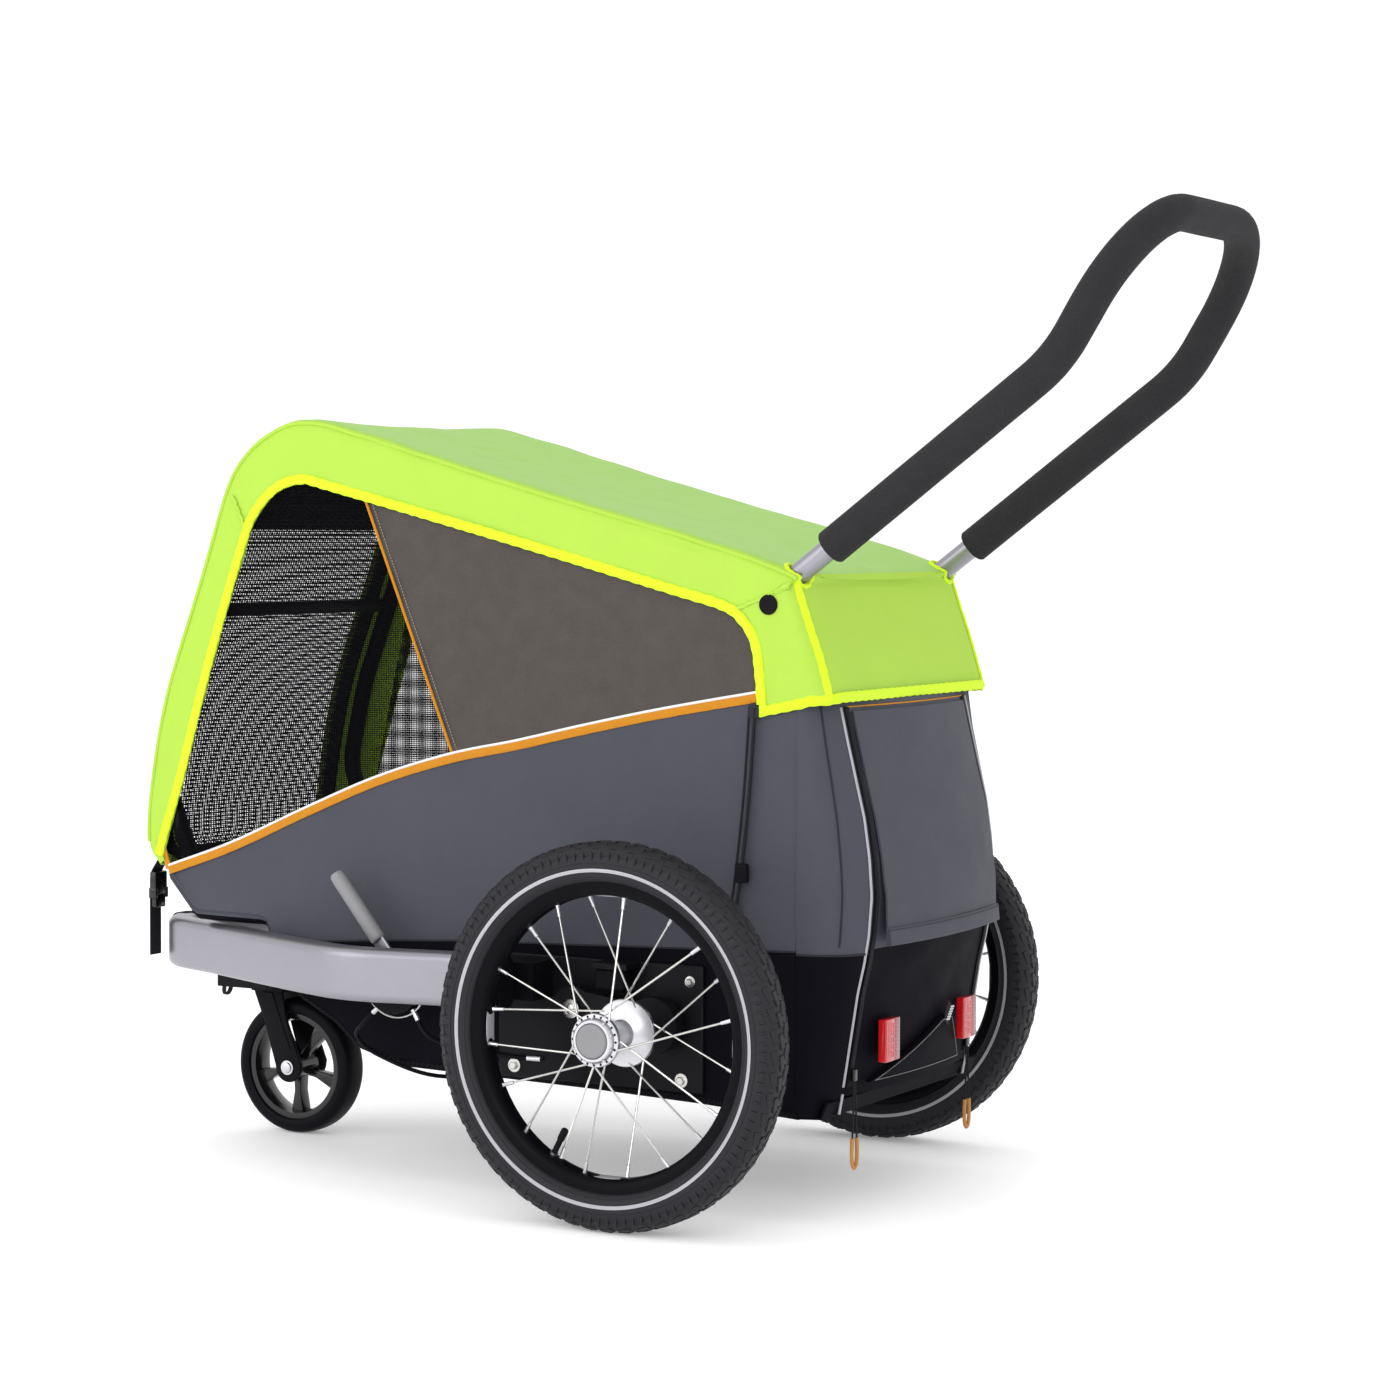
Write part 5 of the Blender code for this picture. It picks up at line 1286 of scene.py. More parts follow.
    def _open_for_bar(self, surface: Shape) -> None:
        """Takes away the faces where the push bar comes out, and gives the faces that face up the painted
        roof shade.
        """
        for side in (1, -1):
            origin, ahead, _ = self._bar_frame(side)
            kept = []
            for face in surface.faces:
                away = sum((surface.points[k] for k in face), Vector()) / len(face) - origin
                along = away.dot(ahead)
                if not (-0.12 < along < 0 and (away - ahead * along).length < self.bar_hole - 0.0005):
                    kept.append(face)
            surface.faces = kept
        # Faces that lie flatter than flattest_side take finish 1, the darker lime painted as shade of the
        # roof.
        surface.paints = []
        for face in surface.faces:
            a, b, c = (surface.points[k] for k in face[:3])
            surface.paints.append(1 if abs((b - a).cross(c - b).normalized().z) > self.flattest_side else 0)

    def _tape(self, line: Sequence[Vector], outs: Sequence[Vector], width: float, seed: float) -> Shape:
        """A puckered flat tape along a line."""
        line = spaced(line, max(12, int(length_of(line) / 0.0030)))
        tops = [outs[min(len(outs) - 1, int(k * len(outs) / len(line)))] for k in range(len(line))]
        sizes = [1 + 0.07 * math.sin(k * 1.25 + 2 * ripple(p, 0.03, seed)) for k, p in enumerate(line)]
        section = rounded_box_section(width, 0.0034, 0.0015, 2)
        return tube(line, section, tops, sizes)

    def hems(self) -> list[bpy.types.Object]:
        """Returns the bright tapes round the window openings and along the rear edge."""
        made = []
        hem, _, crown = self._lines()
        for side, word in SIDES:
            x = side * (BODY.cover_half + 0.0008)
            centre = [Vector((x, h.y, h.z)) + (Vector((0, c.y, c.z)) - Vector((0, h.y, h.z))).normalized()
                      * 0.0054
                      for h, c in zip(hem, crown)]
            tape = self._tape(centre[4:], [Vector((side, 0, 0))], self.side_tape, 4.0)
            edge = self._rear_edge(side)
            tape.add(self._tape([p for p, _ in edge], [n for _, n in edge], self.rear_tape, 6.0))
            made.append(self.shop.piece(f"cover_hem_{word}", tape, FINISH.lime_tape))
        return made

    def corner_seams(self) -> list[bpy.types.Object]:
        """Returns the puckered seams down the cover's two rear corners."""
        made = []
        rows = self.rows()
        column = self.side_points + self.corner_points // 2
        first = int((len(BODY.crown) - 0.35) * self.fine)
        for side, word in SIDES:
            line = [Vector((row[column].x * side, row[column].y, row[column].z)) for row in rows[first:]]
            outs = [Vector((side * 0.75, 0.62, 0.22)).normalized()]
            tape = self._tape([p + outs[0] * 0.0005 for p in line], outs, self.seam_tape, 8.0)
            made.append(self.shop.piece(f"cover_seam_{word}", tape, FINISH.lime_tape))
        return made

    def _rear_edge(self, side: int) -> list[tuple[Vector, Vector]]:
        """Returns points and outward directions along the cover's rear bottom edge."""
        hem_y, hem_z = BODY.hem[-1]
        end_y, end_z = BODY.seam[-1]
        points = []
        for k in range(8):
            t = k / 8
            points.append((Vector((side * BODY.cover_half, hem_y + (end_y - 0.022 - hem_y) * t,
                                   hem_z + (end_z - 0.004 - hem_z) * t)), Vector((side, 0, 0))))
        for k in range(9):
            angle = math.radians(90 * k / 8)
            points.append((Vector((side * (BODY.cover_half - self.rear_corner * (1 - math.cos(angle))),
                                   end_y - 0.022 + 0.022 * math.sin(angle), end_z - 0.003 * math.cos(angle))),
                           Vector((side * math.cos(angle), math.sin(angle), 0))))
        for k in range(1, 20):
            x = (BODY.cover_half - self.rear_corner) * (1 - k / 19)
            points.append((Vector((side * x, end_y + 0.0002, end_z)), Vector((0, 1, 0))))
        return [(p + Vector((0, 0, 0.004)) + n * 0.0006, n) for p, n in points]

    def welts(self) -> list[bpy.types.Object]:
        """Returns the sewn ridges along the roof's edges and across the skirts."""
        made = []
        hem, inner, crown = self._lines()
        for side, word in SIDES:
            x = side * BODY.cover_half
            edge = [Vector((x - side * 0.0035, i.y + (c.y - i.y) * 0.72, i.z + (c.z - i.z) * 0.72))
                    for i, c in zip(inner, crown)]
            edge = edge[self.fine: len(BODY.crown) * self.fine - self.fine // 2]
            line = spaced(edge, int(length_of(edge) / 0.004))
            ridge = tube([p + Vector((0, 0, 0.0006 * ripple(p, 0.02, 8.0))) for p in line], circle(0.0024, 8))
            for station in (5.0, 13.4):
                index = int(station * self.fine)
                low, high = hem[index], inner[index]
                seam = [Vector((x + side * (0.0004 + 0.0005 * math.sin(k * 1.7)),
                                low.y + (high.y - low.y) * k / 24
                                + 0.0007 * math.sin(k * 1.3), low.z + (high.z - low.z) * k / 24))
                        for k in range(25)]
                ridge.add(tube(seam, rounded_box_section(0.0040, 0.0024, 0.001, 2),
                               [Vector((side, 0, 0))] * 25))
            made.append(self.shop.piece(f"cover_welt_{word}", ridge, FINISH.lime))
        return made

    def badge(self) -> bpy.types.Object:
        """Returns the plain round badge on the left skirt, near the rear corner."""
        disc = lathe([(0, 0.0105), (0.0009, 0.0105), (0.0013, 0.0098), (0.0013, 0.0075), (0.0010, 0.0070),
                      (0.0010, 0.0)], 40)
        return self.shop.piece("cover_badge", disc.at((BODY.cover_half + 0.0010, 0.118, 0.640)),
                               FINISH.black_plastic)


# --- the side walls --------------------------------------------------------------------------------
@dataclass
class SideWall:
    """Grey panel, window net, upper panel, trim and rear corner of one side."""

    shop: Workshop
    side: int
    cell: float = 0.0023
    thread: float = 0.00046

    @property
    def word(self) -> str:
        """Returns left or right."""
        return "left" if self.side > 0 else "right"

    def _window(self) -> tuple[list[Pair], list[Pair], float]:
        """Returns the window's foot and top lines, and the height of the slanted seam's foot."""
        lifted = [(y, z + 0.0010) for y, z in BODY.trim]
        piping_z = value_on(lifted, BODY.piping_foot)
        top_z = 0.808
        top_y = BODY.piping_foot + BODY.piping_slope * (top_z - piping_z)
        foot = [p for p in lifted if p[0] < BODY.piping_foot - 0.02] + [(BODY.piping_foot, piping_z)]
        top = [(-0.554, 0.760), (-0.530, 0.788), (-0.500, 0.806), (-0.464, 0.812), (top_y, 0.7925)]
        return foot, top, piping_z

    def panel(self) -> bpy.types.Object:
        """Returns the grey lower panel."""
        knots = spaced([Vector((0, y, z)) for y, z in BODY.trim], 70)
        rows = []
        for i in range(15):
            row = []
            for top in knots:
                low = BODY.tub_top(top.y) + 0.0006
                z = low + (top.z - low) * i / 14
                p = Vector((BODY.half, top.y, z))
                inward = 0.0020 * math.sin(math.pi * i / 14) + 0.0012 * (1 + ripple(p, 0.08, 4.0))
                folds = 0.0006 * math.sin((top.y * 0.6 + z) / 0.020 + 2 * ripple(p, 0.09, 1.0))
                fade = min(1.0, i / 2, (14 - i) / 2)
                row.append(Vector((self.side * (p.x - fade * (inward + folds) * 0.8), p.y, p.z)))
            rows.append(row)
        panel = self.shop.cloth(f"side_panel_cloth_{self.word}", rows, FINISH.panel_grey, (self.side, 0, 0),
                                replaces=[f"side_panel_{self.word}"])
        self.shop.declare_sheet(panel, ["base_frame", f"side_hoop_{self.word}"])
        return panel

    def upper(self) -> bpy.types.Object:
        """Returns the warm grey upper panel with its stitching."""
        foot, _, piping_z = self._window()
        lifted = [(y, z + 0.0010) for y, z in BODY.trim if y > BODY.piping_foot + 0.02]
        low = spaced([Vector((0, BODY.piping_foot, piping_z))] + [Vector((0, y, z)) for y, z in lifted], 46)
        roof = BODY.inset(BODY.crown, 0.022)[6:]
        top_z = value_on(roof, BODY.piping_foot - 0.13)
        top_y = BODY.piping_foot + BODY.piping_slope * (top_z - piping_z)
        high = spaced([Vector((0, top_y, top_z)), Vector((0, -0.180, value_on(roof, -0.180))),
                       Vector((0, 0.128, value_on(roof, 0.128)))], 46)
        rows = []
        for i in range(22):
            row = []
            for a, b in zip(low, high):
                p = a.lerp(b, i / 21)
                fade = min(1.0, i / 2, (21 - i) / 2)
                dip = 0.0012 + 0.0012 * ripple(p, 0.07, 6.0) + 0.0006 * math.sin((p.y - p.z) / 0.018)
                row.append(Vector((self.side * (BODY.half - fade * max(0.0, dip)), p.y, p.z)))
            rows.append(row)
        panel = self.shop.cloth(f"upper_cloth_{self.word}", rows, FINISH.upper_grey, (self.side, 0, 0),
                                replaces=[f"upper_panel_{self.word}"])
        x = self.side * (BODY.half + 0.0004)
        slant = [Vector((x, p.y + 0.0075, p.z)) for p in (low[0].lerp(high[0], k / 40) for k in range(41))]
        stitches = self.shop.repeat.row([slant], 0.0036, (0.0022, 0.0007, 0.0006), (1, 0, 0), FINISH.thread)
        thread = self.shop.piece(f"upper_stitches_{self.word}", stitches, FINISH.thread, outward=False)
        piping = [Vector((x, p.y, p.z)) for p in (low[0].lerp(high[0], k / 20) for k in range(21))]
        orange = self.shop.piece(f"slant_piping_{self.word}", tube(piping, circle(0.0017, 8)), FINISH.orange)
        self.shop.declare_sheet(panel, [f"side_hoop_{self.word}"], [thread, orange])
        return panel

    def net(self) -> bpy.types.Object:
        """Returns the window's net."""
        foot, top, piping_z = self._window()
        outline = [Vector((0, y, z)) for y, z in foot + top[::-1]]
        lines = clipped_lines(outline, self.cell)
        x = self.side * (BODY.half - 0.0012)
        placed = [[Vector((x, p.y, p.z)) for p in line] for line in lines]
        shape = self.shop.repeat.net(placed, self.thread, FINISH.net)
        return self.shop.piece(f"window_net_{self.word}", shape, FINISH.net,
                               replaces=[f"side_window_{self.word}"], outward=False)

    def trims(self) -> list[bpy.types.Object]:
        """Returns the orange band and the white piping along the top of the grey panel."""
        x = self.side * (BODY.half + 0.0004)
        centre = [Vector((x, y, z)) for y, z in BODY.trim]
        line = spaced(smoothed(centre, 8), 200)
        out = [Vector((self.side, 0, 0))] * len(line)
        sizes = [1 + 0.05 * ripple(p, 0.012, 3.0) for p in line]
        band = tube([p + Vector((0, 0, -0.0040)) for p in line],
                    rounded_box_section(0.0095, 0.0022, 0.0009, 2), out, sizes)
        cord = tube([p + Vector((self.side * 0.0004, 0, 0.0018)) for p in line], circle(0.00155, 10))
        tip = [Vector((x, -0.650, 0.328)), Vector((x, -0.6545, 0.3400)), Vector((x, -0.6580, 0.3520))]
        band.add(tube(tip, rounded_box_section(0.0075, 0.0020, 0.0009, 2), [Vector((self.side, 0, 0))] * 3))
        return [self.shop.piece(f"trim_band_{self.word}", band, FINISH.orange),
                self.shop.piece(f"trim_piping_{self.word}", cord, FINISH.piping_white)]

    def corner(self) -> bpy.types.Object:
        """Returns the rear corner: grey above, black below."""
        rows, heights = [], []
        count, start = 48, BODY.corner_y + 0.0006
        for i in range(count):
            z = BODY.door_bottom + (BODY.door_top + 0.006 - BODY.door_bottom) * i / (count - 1)
            heights.append(z)
            depth = BODY.rear_y(z) - start
            row = []
            for k in range(15):
                angle = math.radians(90 * k / 14)
                p = Vector((BODY.half - 0.047 * (1 - math.cos(angle)), start + depth * math.sin(angle), z))
                dip = 0.0011 * (1 + ripple(p, 0.05, 7.0)) * math.sin(math.pi * k / 14)
                row.append(Vector((self.side * (p.x - dip * math.cos(angle)), p.y - dip * math.sin(angle),
                                   z)))
            rows.append(row)
        panel = self.shop.cloth(
            f"corner_cloth_{self.word}", rows, [FINISH.panel_grey, FINISH.black_cloth], (self.side, 1, 0),
            paint=lambda i, j: int(heights[i] < BODY.black_below), replaces=[f"corner_panel_{self.word}"])
        seam_lines = [[rows[i][7] + Vector((self.side * 0.0003, 0.0003, 0)) for i in range(18, count - 1)],
                      [Vector((p.x, p.y, 0.2805)) + Vector((self.side * 0.0004, 0.0004, 0))
                       for p in rows[min(range(count), key=lambda i: abs(heights[i] - 0.2805))]]]
        welt = Shape()
        for line in seam_lines:
            welt.add(tube(line, circle(0.0011, 8)))
        seam = self.shop.piece(f"corner_seam_{self.word}", welt, FINISH.dark_thread)
        self.shop.declare_sheet(panel, ["base_frame", f"side_hoop_{self.word}"], [seam])
        return panel

    def skirt(self) -> None:
        """Makes the black cloth below the corner, down to the trough's foot, and the piping's tail on it."""
        rows, tail = [], []
        for i in range(9):
            z = 0.1120 + (BODY.door_bottom + 0.003 - 0.1120) * i / 8
            depth = BODY.rear_y(BODY.door_bottom) - BODY.corner_y - 0.0005 - 0.004 * (1 - i / 8)
            row = []
            for k in range(15):
                angle = math.radians(90 * k / 14)
                row.append(Vector((self.side * (BODY.half - 0.0004 - 0.047 * (1 - math.cos(angle))),
                                   BODY.corner_y + depth * math.sin(angle), z)))
            rows.append(row)
            tail.append(row[-2] + Vector((0, 0.0016, 0)))
        self.shop.cloth(f"corner_skirt_{self.word}", rows, FINISH.black_cloth, (self.side, 1, 0))
        self.shop.piece(f"piping_tail_{self.word}", tube(tail, circle(0.0017, 8)), FINISH.reflective)

    def elastic(self) -> bpy.types.Object:
        """Returns the elastic that pulls the cover's corner down."""
        x = self.side * (BODY.cover_half + 0.0025)
        line = rounded_line([Vector((x, 0.104, 0.534)), Vector((x, 0.098, 0.440)), Vector((x, 0.085, 0.330)),
                             Vector((x, 0.068, 0.255))], 0.05, 8)
        toggle = pad((0.004, 0.007, 0.010), 0.002)
        stop = self.shop.piece(f"elastic_toggle_{self.word}", toggle.at((x, 0.0895, 0.362)),
                               FINISH.black_plastic)
        tab = pad((0.0012, 0.006, 0.007), 0.0008, 2)
        self.shop.piece(f"elastic_tab_{self.word}", tab.at((x, 0.1025, 0.530)), FINISH.dark_thread)
        second = [p + Vector((0, -0.0065, 0)) for p in line]
        self.shop.cord(f"elastic_cord_front_{self.word}", second, circle(0.0014, 10), 0.0028, FINISH.webbing,
                       "object", lay="taut")
        return self.shop.cord(f"elastic_cord_{self.word}", line, circle(0.0018, 10), 0.0036, FINISH.webbing,
                              "object", lay="taut", replaces=[f"elastic_{self.word}"], with_pieces=[stop])

    def build(self) -> None:
        """Makes everything on this side."""
        self.panel()
        self.upper()
        self.net()
        self.trims()
        self.corner()
        self.skirt()
        self.elastic()


def crossings(outline: Sequence[Vector], axis: int, at: float) -> list[float]:
    """Places where a straight line cuts an outline in the plane of y and z.

    Args:
        outline: corners of the outline.
        axis: 1 for a line of constant y and 2 for one of constant z.
        at: that constant.

    Returns:
        The other coordinate of each crossing, rising.
    """
    other, found = 3 - axis, []
    for a, b in zip(outline, list(outline[1:]) + [outline[0]]):
        if (a[axis] - at) * (b[axis] - at) < 0:
            t = (at - a[axis]) / (b[axis] - a[axis])
            found.append(a[other] + (b[other] - a[other]) * t)
    return sorted(found)


def clipped_lines(outline: Sequence[Vector], cell: float) -> list[list[Vector]]:
    """Crossing threads inside an outline in the plane of y and z.

    Args:
        outline: corners of the outline.
        cell: distance between threads.

    Returns:
        Two-point lines.
    """
    lines = []
    for axis in (1, 2):
        low, high = min(p[axis] for p in outline), max(p[axis] for p in outline)
        for k in range(int((high - low) / cell)):
            at = low + (k + 0.5) * cell
            ends = crossings(outline, axis, at)
            for a, b in zip(ends[::2], ends[1::2]):
                pair = [(at, a), (at, b)] if axis == 1 else [(a, at), (b, at)]
                lines.append([Vector((0, y, z)) for y, z in pair])
    return lines


# --- the front of the cabin and the trough ---------------------------------------------------------
@dataclass
class Nose:
    """The front window with its border, and the straps that hold the cover down."""

    shop: Workshop
    cell: float = 0.0046
    thread: float = 0.00085

    def _profile(self, deep: float) -> list[Vector]:
        """Returns the front's line from its foot to the roof, moved towards the cabin."""
        line = BODY.inset(BODY.crown, 0.0023 + deep)
        pairs = [(-0.6525 + deep, 0.336)] + line[1:8]
        line = smoothed([Vector((0, y, z)) for y, z in pairs], 6)
        tuck = Vector((0, 0.003, -0.0095))
        return [p + tuck * blend_step((index - 25) / 9) for index, p in enumerate(line)]

    def net(self) -> bpy.types.Object:
        """Returns the front net."""
        profile = self._profile(0.0012)
        half = 0.1740
        lines = []
        columns = int(2 * half / self.cell)
        for k in range(1, columns):
            lines.append([Vector((-half + 2 * half * k / columns, p.y, p.z)) for p in profile])
        even = spaced(profile, int(length_of(profile) / self.cell))
        lines += [[Vector((-half, p.y, p.z)), Vector((half, p.y, p.z))] for p in even[1:-1]]
        shape = self.shop.repeat.net(lines, self.thread, FINISH.front_net)
        return self.shop.piece("front_net", shape, FINISH.front_net, replaces=["front_window"], outward=False)

    def border(self) -> bpy.types.Object:
        """Returns the black cloth round the front net."""
        profile = self._profile(0.0)
        frame = Shape()
        for side in (1, -1):
            post = grid([[Vector((side * x, p.y, p.z)) for x in (0.1765, 0.168, 0.158, 0.150)]
                         for p in profile])
            frame.add(post if side > 0 else post.flipped())
        for low, high in ((0, 4), (len(profile) - 16, len(profile) - 1)):
            rows = [[Vector((0.150 - 0.300 * k / 8, p.y, p.z)) for k in range(9)]
                    for p in profile[low:high + 1]]
            frame.add(grid(rows))
        a, b, c = (frame.points[k] for k in frame.faces[10][:3])
        if (b - a).cross(c - b).y > 0:
            frame = frame.flipped()
        return self.shop.piece("front_border", frame, FINISH.black_cloth, outward=False, thickness=0.0012)

    def strap(self, side: int, word: str) -> bpy.types.Object:
        """Returns one hold-down strap with its side-release buckle.

        Args:
            side: 1 for left and -1 for right.
            word: left or right.
        """
        x, front = side * 0.1473, -0.70805
        path = rounded_line([Vector((x, -0.68325, 0.368)), Vector((x, -0.68505, 0.348)),
                             Vector((x, front, 0.316)),
                             Vector((x, front, 0.259)), Vector((x, front, 0.221))], 0.008, 4)
        tops = [Vector((0, -1, 0))] * len(path)
        body = pad((0.0115, 0.0045, 0.014), 0.0022)
        prong = pad((0.0095, 0.0035, 0.008), 0.0018)
        buckle = body.at((x, front + 0.0045, 0.304)).add(prong.at((x, front + 0.0045, 0.284)))
        for gap in (-1, 1):
            buckle.add(pad((0.0018, 0.0052, 0.006), 0.0008, 2)
                       .at((x + gap * 0.0100, front + 0.0045, 0.293)))
        clasp = self.shop.piece(f"strap_buckle_{word}", buckle, FINISH.gloss_plastic)
        return self.shop.cord(f"cover_strap_web_{word}", path, rounded_box_section(0.020, 0.0015, 0.0006, 2),
                              0.020, FINISH.webbing, "object", tops, "taut", "medium", [clasp],
                              replaces=[f"cover_strap_{word}"])

    def build(self) -> None:
        """Makes the front."""
        self.net()
        self.border()
        for side, word in SIDES:
            self.strap(side, word)


@dataclass
class Trough:
    """The black lower body with its grey nose, its rear sill and the rubber edging along its belly."""

    shop: Workshop
    bilge: float = 0.010

    def _section(self, y: float) -> list[Vector]:
        """Returns the trough's section at one y, from left to right."""
        low, high, x = value_on(BODY.belly, y), BODY.tub_top(y), BODY.half
        half = [Vector((x - (0.0008 if 0 < k < 5 else 0), y, high + (low + self.bilge - high) * k / 5))
                for k in range(6)]
        for k in range(1, 6):
            angle = math.radians(90 * k / 5)
            half.append(Vector((x - self.bilge * (1 - math.cos(angle)), y,
                                low + self.bilge * (1 - math.sin(angle)))))
        half.append(Vector((x * 0.5, y, low + 0.001)))
        return half + [Vector((-p.x, p.y, p.z)) for p in reversed(half)]

    def build(self) -> None:
        """Makes the trough."""
        ys = [p.y for p in spaced([Vector((0, y, z)) for y, z in BODY.belly], 110)]
        rows = [self._section(y) for y in ys]
        nose_rows = sum(1 for y in ys if y < -0.505)
        last = len(rows[0]) - 2
        self.shop.cloth("trough_cloth", rows, [FINISH.black_cloth, FINISH.panel_grey], (0, 0, -1),
                        paint=lambda i, j: 1 if i < nose_rows and (j < 6 or j > last - 6) else 0,
                        replaces=["tub"])
        lip_rows = [[Vector((0.187 * (1 - k / 6), y, z)) for k in range(13)]
                    for y, z in ((0.150, 0.1085), (0.176, 0.1100), (0.183, 0.127))]
        self.shop.cloth("trough_sill", lip_rows, FINISH.black_cloth, (0, 0.4, -1))
        for side, word in SIDES:
            x = side * (BODY.half - 0.0010)
            line = [Vector((x, y, value_on(BODY.belly, y) + 0.0065)) for y in ys if y > -0.485]
            teeth = self.shop.repeat.row([line], 0.0062, (0.0036, 0.0034, 0.0044), (0, 0, 1), FINISH.rubber)
            teeth.add(tube(line, circle(0.0017, 8)))
            self.shop.piece(f"belly_edging_{word}", teeth, FINISH.rubber)
            edge = [Vector((side * (BODY.half + 0.0002), y, BODY.tub_top(y) + 0.0003)) for y in ys
                    if y > -0.495]
            self.shop.piece(f"boundary_seam_{word}", tube(edge, circle(0.0011, 8)), FINISH.dark_thread)


# --- the rear door ---------------------------------------------------------------------------------
@dataclass
class Door:
    """The zipped rear door with its flap, reflectors, pouch and zip pulls."""

    shop: Workshop
    half: float = 0.1494

    def panel(self) -> bpy.types.Object:
        """Returns the door: grey above, black below."""
        rows, heights = [], []
        for i in range(62):
            z = BODY.door_bottom + (BODY.door_top - BODY.door_bottom) * i / 61
            heights.append(z)
            row = []
            for k in range(49):
                x = self.half * (k / 24 - 1)
                fade = min(1.0, i / 3, (61 - i) / 3, k / 3, (48 - k) / 3)
                p = Vector((x, BODY.door_y(x, z), z))
                dip = 0.0010 * (1 + ripple(p, 0.07, 13.0)) + 0.0005 * math.sin((x * 0.7 + z) / 0.013)
                row.append(p - Vector((0, fade * max(0.0, dip), 0)))
            rows.append(row)
        door = self.shop.cloth("rear_door_cloth", rows, [FINISH.panel_grey, FINISH.black_cloth], (0, 1, 0),
                               paint=lambda i, j: int(heights[i] < BODY.black_below), body="rear_door",
                               replaces=["rear_door"])
        extras = self.zips()
        self.shop.declare_sheet(door, ["side_hoop_left", "side_hoop_right"], extras)
        return door

    def _zip_line(self, side: int, inset: float, out: float) -> list[Vector]:
        """Returns a line beside a zip, inset from the door's edge and out from its face."""
        x, low, high = side * (BODY.door_half - inset), 0.140, 0.534
        heights = (low + (high - low) * k / 60 for k in range(61))
        return [Vector((x, BODY.door_y(abs(x), z, out), z)) for z in heights]

    def zips(self) -> list[bpy.types.Object]:
        """Returns the zips' tapes and teeth, with the reflective piping beside them."""
        on_door = []
        for side, word in SIDES:
            tape_line = self._zip_line(side, 0.0050, 0.0004)
            out = [Vector((side * 0.25, 0.97, 0))] * len(tape_line)
            tape = tube(tape_line, rounded_box_section(0.0078, 0.0012, 0.0004, 2), out)
            on_door.append(self.shop.piece(f"zip_tape_{word}", tape, FINISH.webbing, body="rear_door"))
            teeth = self.shop.repeat.row([self._zip_line(side, 0.0024, 0.0011)], 0.0021,
                                         (0.0012, 0.0034, 0.0013), (0, 1, 0), FINISH.black_plastic)
            on_door.append(self.shop.piece(f"zip_teeth_{word}", teeth, FINISH.black_plastic, body="rear_door",
                                           outward=False))
            piping = tube([Vector((side * 0.1545, BODY.rear_y(z) - 0.0004, z))
                           for z in (0.1405 + 0.3935 * k / 60 for k in range(61))], circle(0.0017, 8))
            self.shop.piece(f"zip_piping_{word}", piping, FINISH.reflective)
        line = [Vector((x, BODY.door_y(x, 0.5345, 0.0002), 0.5345))
                for x in (0.143 * (k / 20 - 1) for k in range(41))]
        on_door.append(self.shop.piece("door_orange_line",
                                       tube(line, rounded_box_section(0.0012, 0.0016, 0.0005, 2)),
                                       FINISH.orange, body="rear_door"))
        return on_door

    def flap(self) -> bpy.types.Object:
        """Returns the flap over the zips, which stands off at its folded foot."""
        top, half, length = 0.5300, 0.138, 0.2420
        rows = []
        for i in range(40):
            t = i / 39
            z = top - length * t
            out = 0.0031 + 0.0105 * t ** 3
            row = []
            for k in range(33):
                x = half * (k / 16 - 1)
                p = Vector((x, BODY.door_y(x, z, out), z))
                bump = 0.0010 * ripple(p, 0.06, 21.0) * min(1, i / 3)
                row.append(p + Vector((0, bump, 0)))
            rows.append(row)
        flap = self.shop.cloth("door_flap_cloth", rows, FINISH.panel_grey, (0, 1, 0), body="door_flap",
                               replaces=["door_flap"])
        z = top - length + 0.0095
        hem_line = [Vector((x, BODY.door_y(x, z, 0.0134), z))
                    for x in (half * (k / 24 - 1) for k in range(49))]
        fold = tube(hem_line, rounded_box_section(0.0050, 0.0190, 0.0022, 4),
                    [Vector((0, -0.10, 1))] * len(hem_line))
        hem = self.shop.piece("flap_hem", fold, FINISH.panel_grey, body="door_flap")
        lines = [[p + Vector((0, 0.0026, 0.0072)) for p in hem_line],
                 [p + Vector((0, 0.0026, -0.0072)) for p in hem_line]]
        stitches = self.shop.repeat.row(lines, 0.0034, (0.0021, 0.0005, 0.0005), (0, 1, 0),
                                        FINISH.dark_thread)
        seam = self.shop.piece("flap_stitches", stitches, FINISH.dark_thread, body="door_flap", outward=False)
        self.shop.declare_sheet(flap, ["rear_door_cloth"], [hem, seam])
        return flap

    def reflectors(self) -> None:
        """Makes the two red reflectors, each with a bright and a darker part."""
        for side, word in SIDES:
            low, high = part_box(f"reflector_{word}")
            low, high = low - self.shop.axle, high - self.shop.axle
            middle = low.x + (high.x - low.x) * 0.42
            bright = softened(block((middle, low.y, low.z), tuple(high)), 0.0014, 3)
            dark = softened(block(tuple(low), (middle, high.y - 0.0006, high.z)), 0.0014, 3)
            lens = Shape().add(bright, 0).add(dark, 1)
            grid_lines = [[Vector((middle + 0.002, high.y - 0.0001, low.z + (high.z - low.z) * k / 6)),
                           Vector((high.x - 0.002, high.y - 0.0001, low.z + (high.z - low.z) * k / 6))]
                          for k in range(1, 6)]
            lens.add(self.shop.repeat.row(grid_lines, 0.0034, (0.0027, 0.0060, 0.0006), (0, 1, 0),
                                          FINISH.red), 0)
            self.shop.piece(f"reflector_lens_{word}", lens, [FINISH.red, FINISH.dark_red], body="rear_door",
                            replaces=[f"reflector_{word}"])

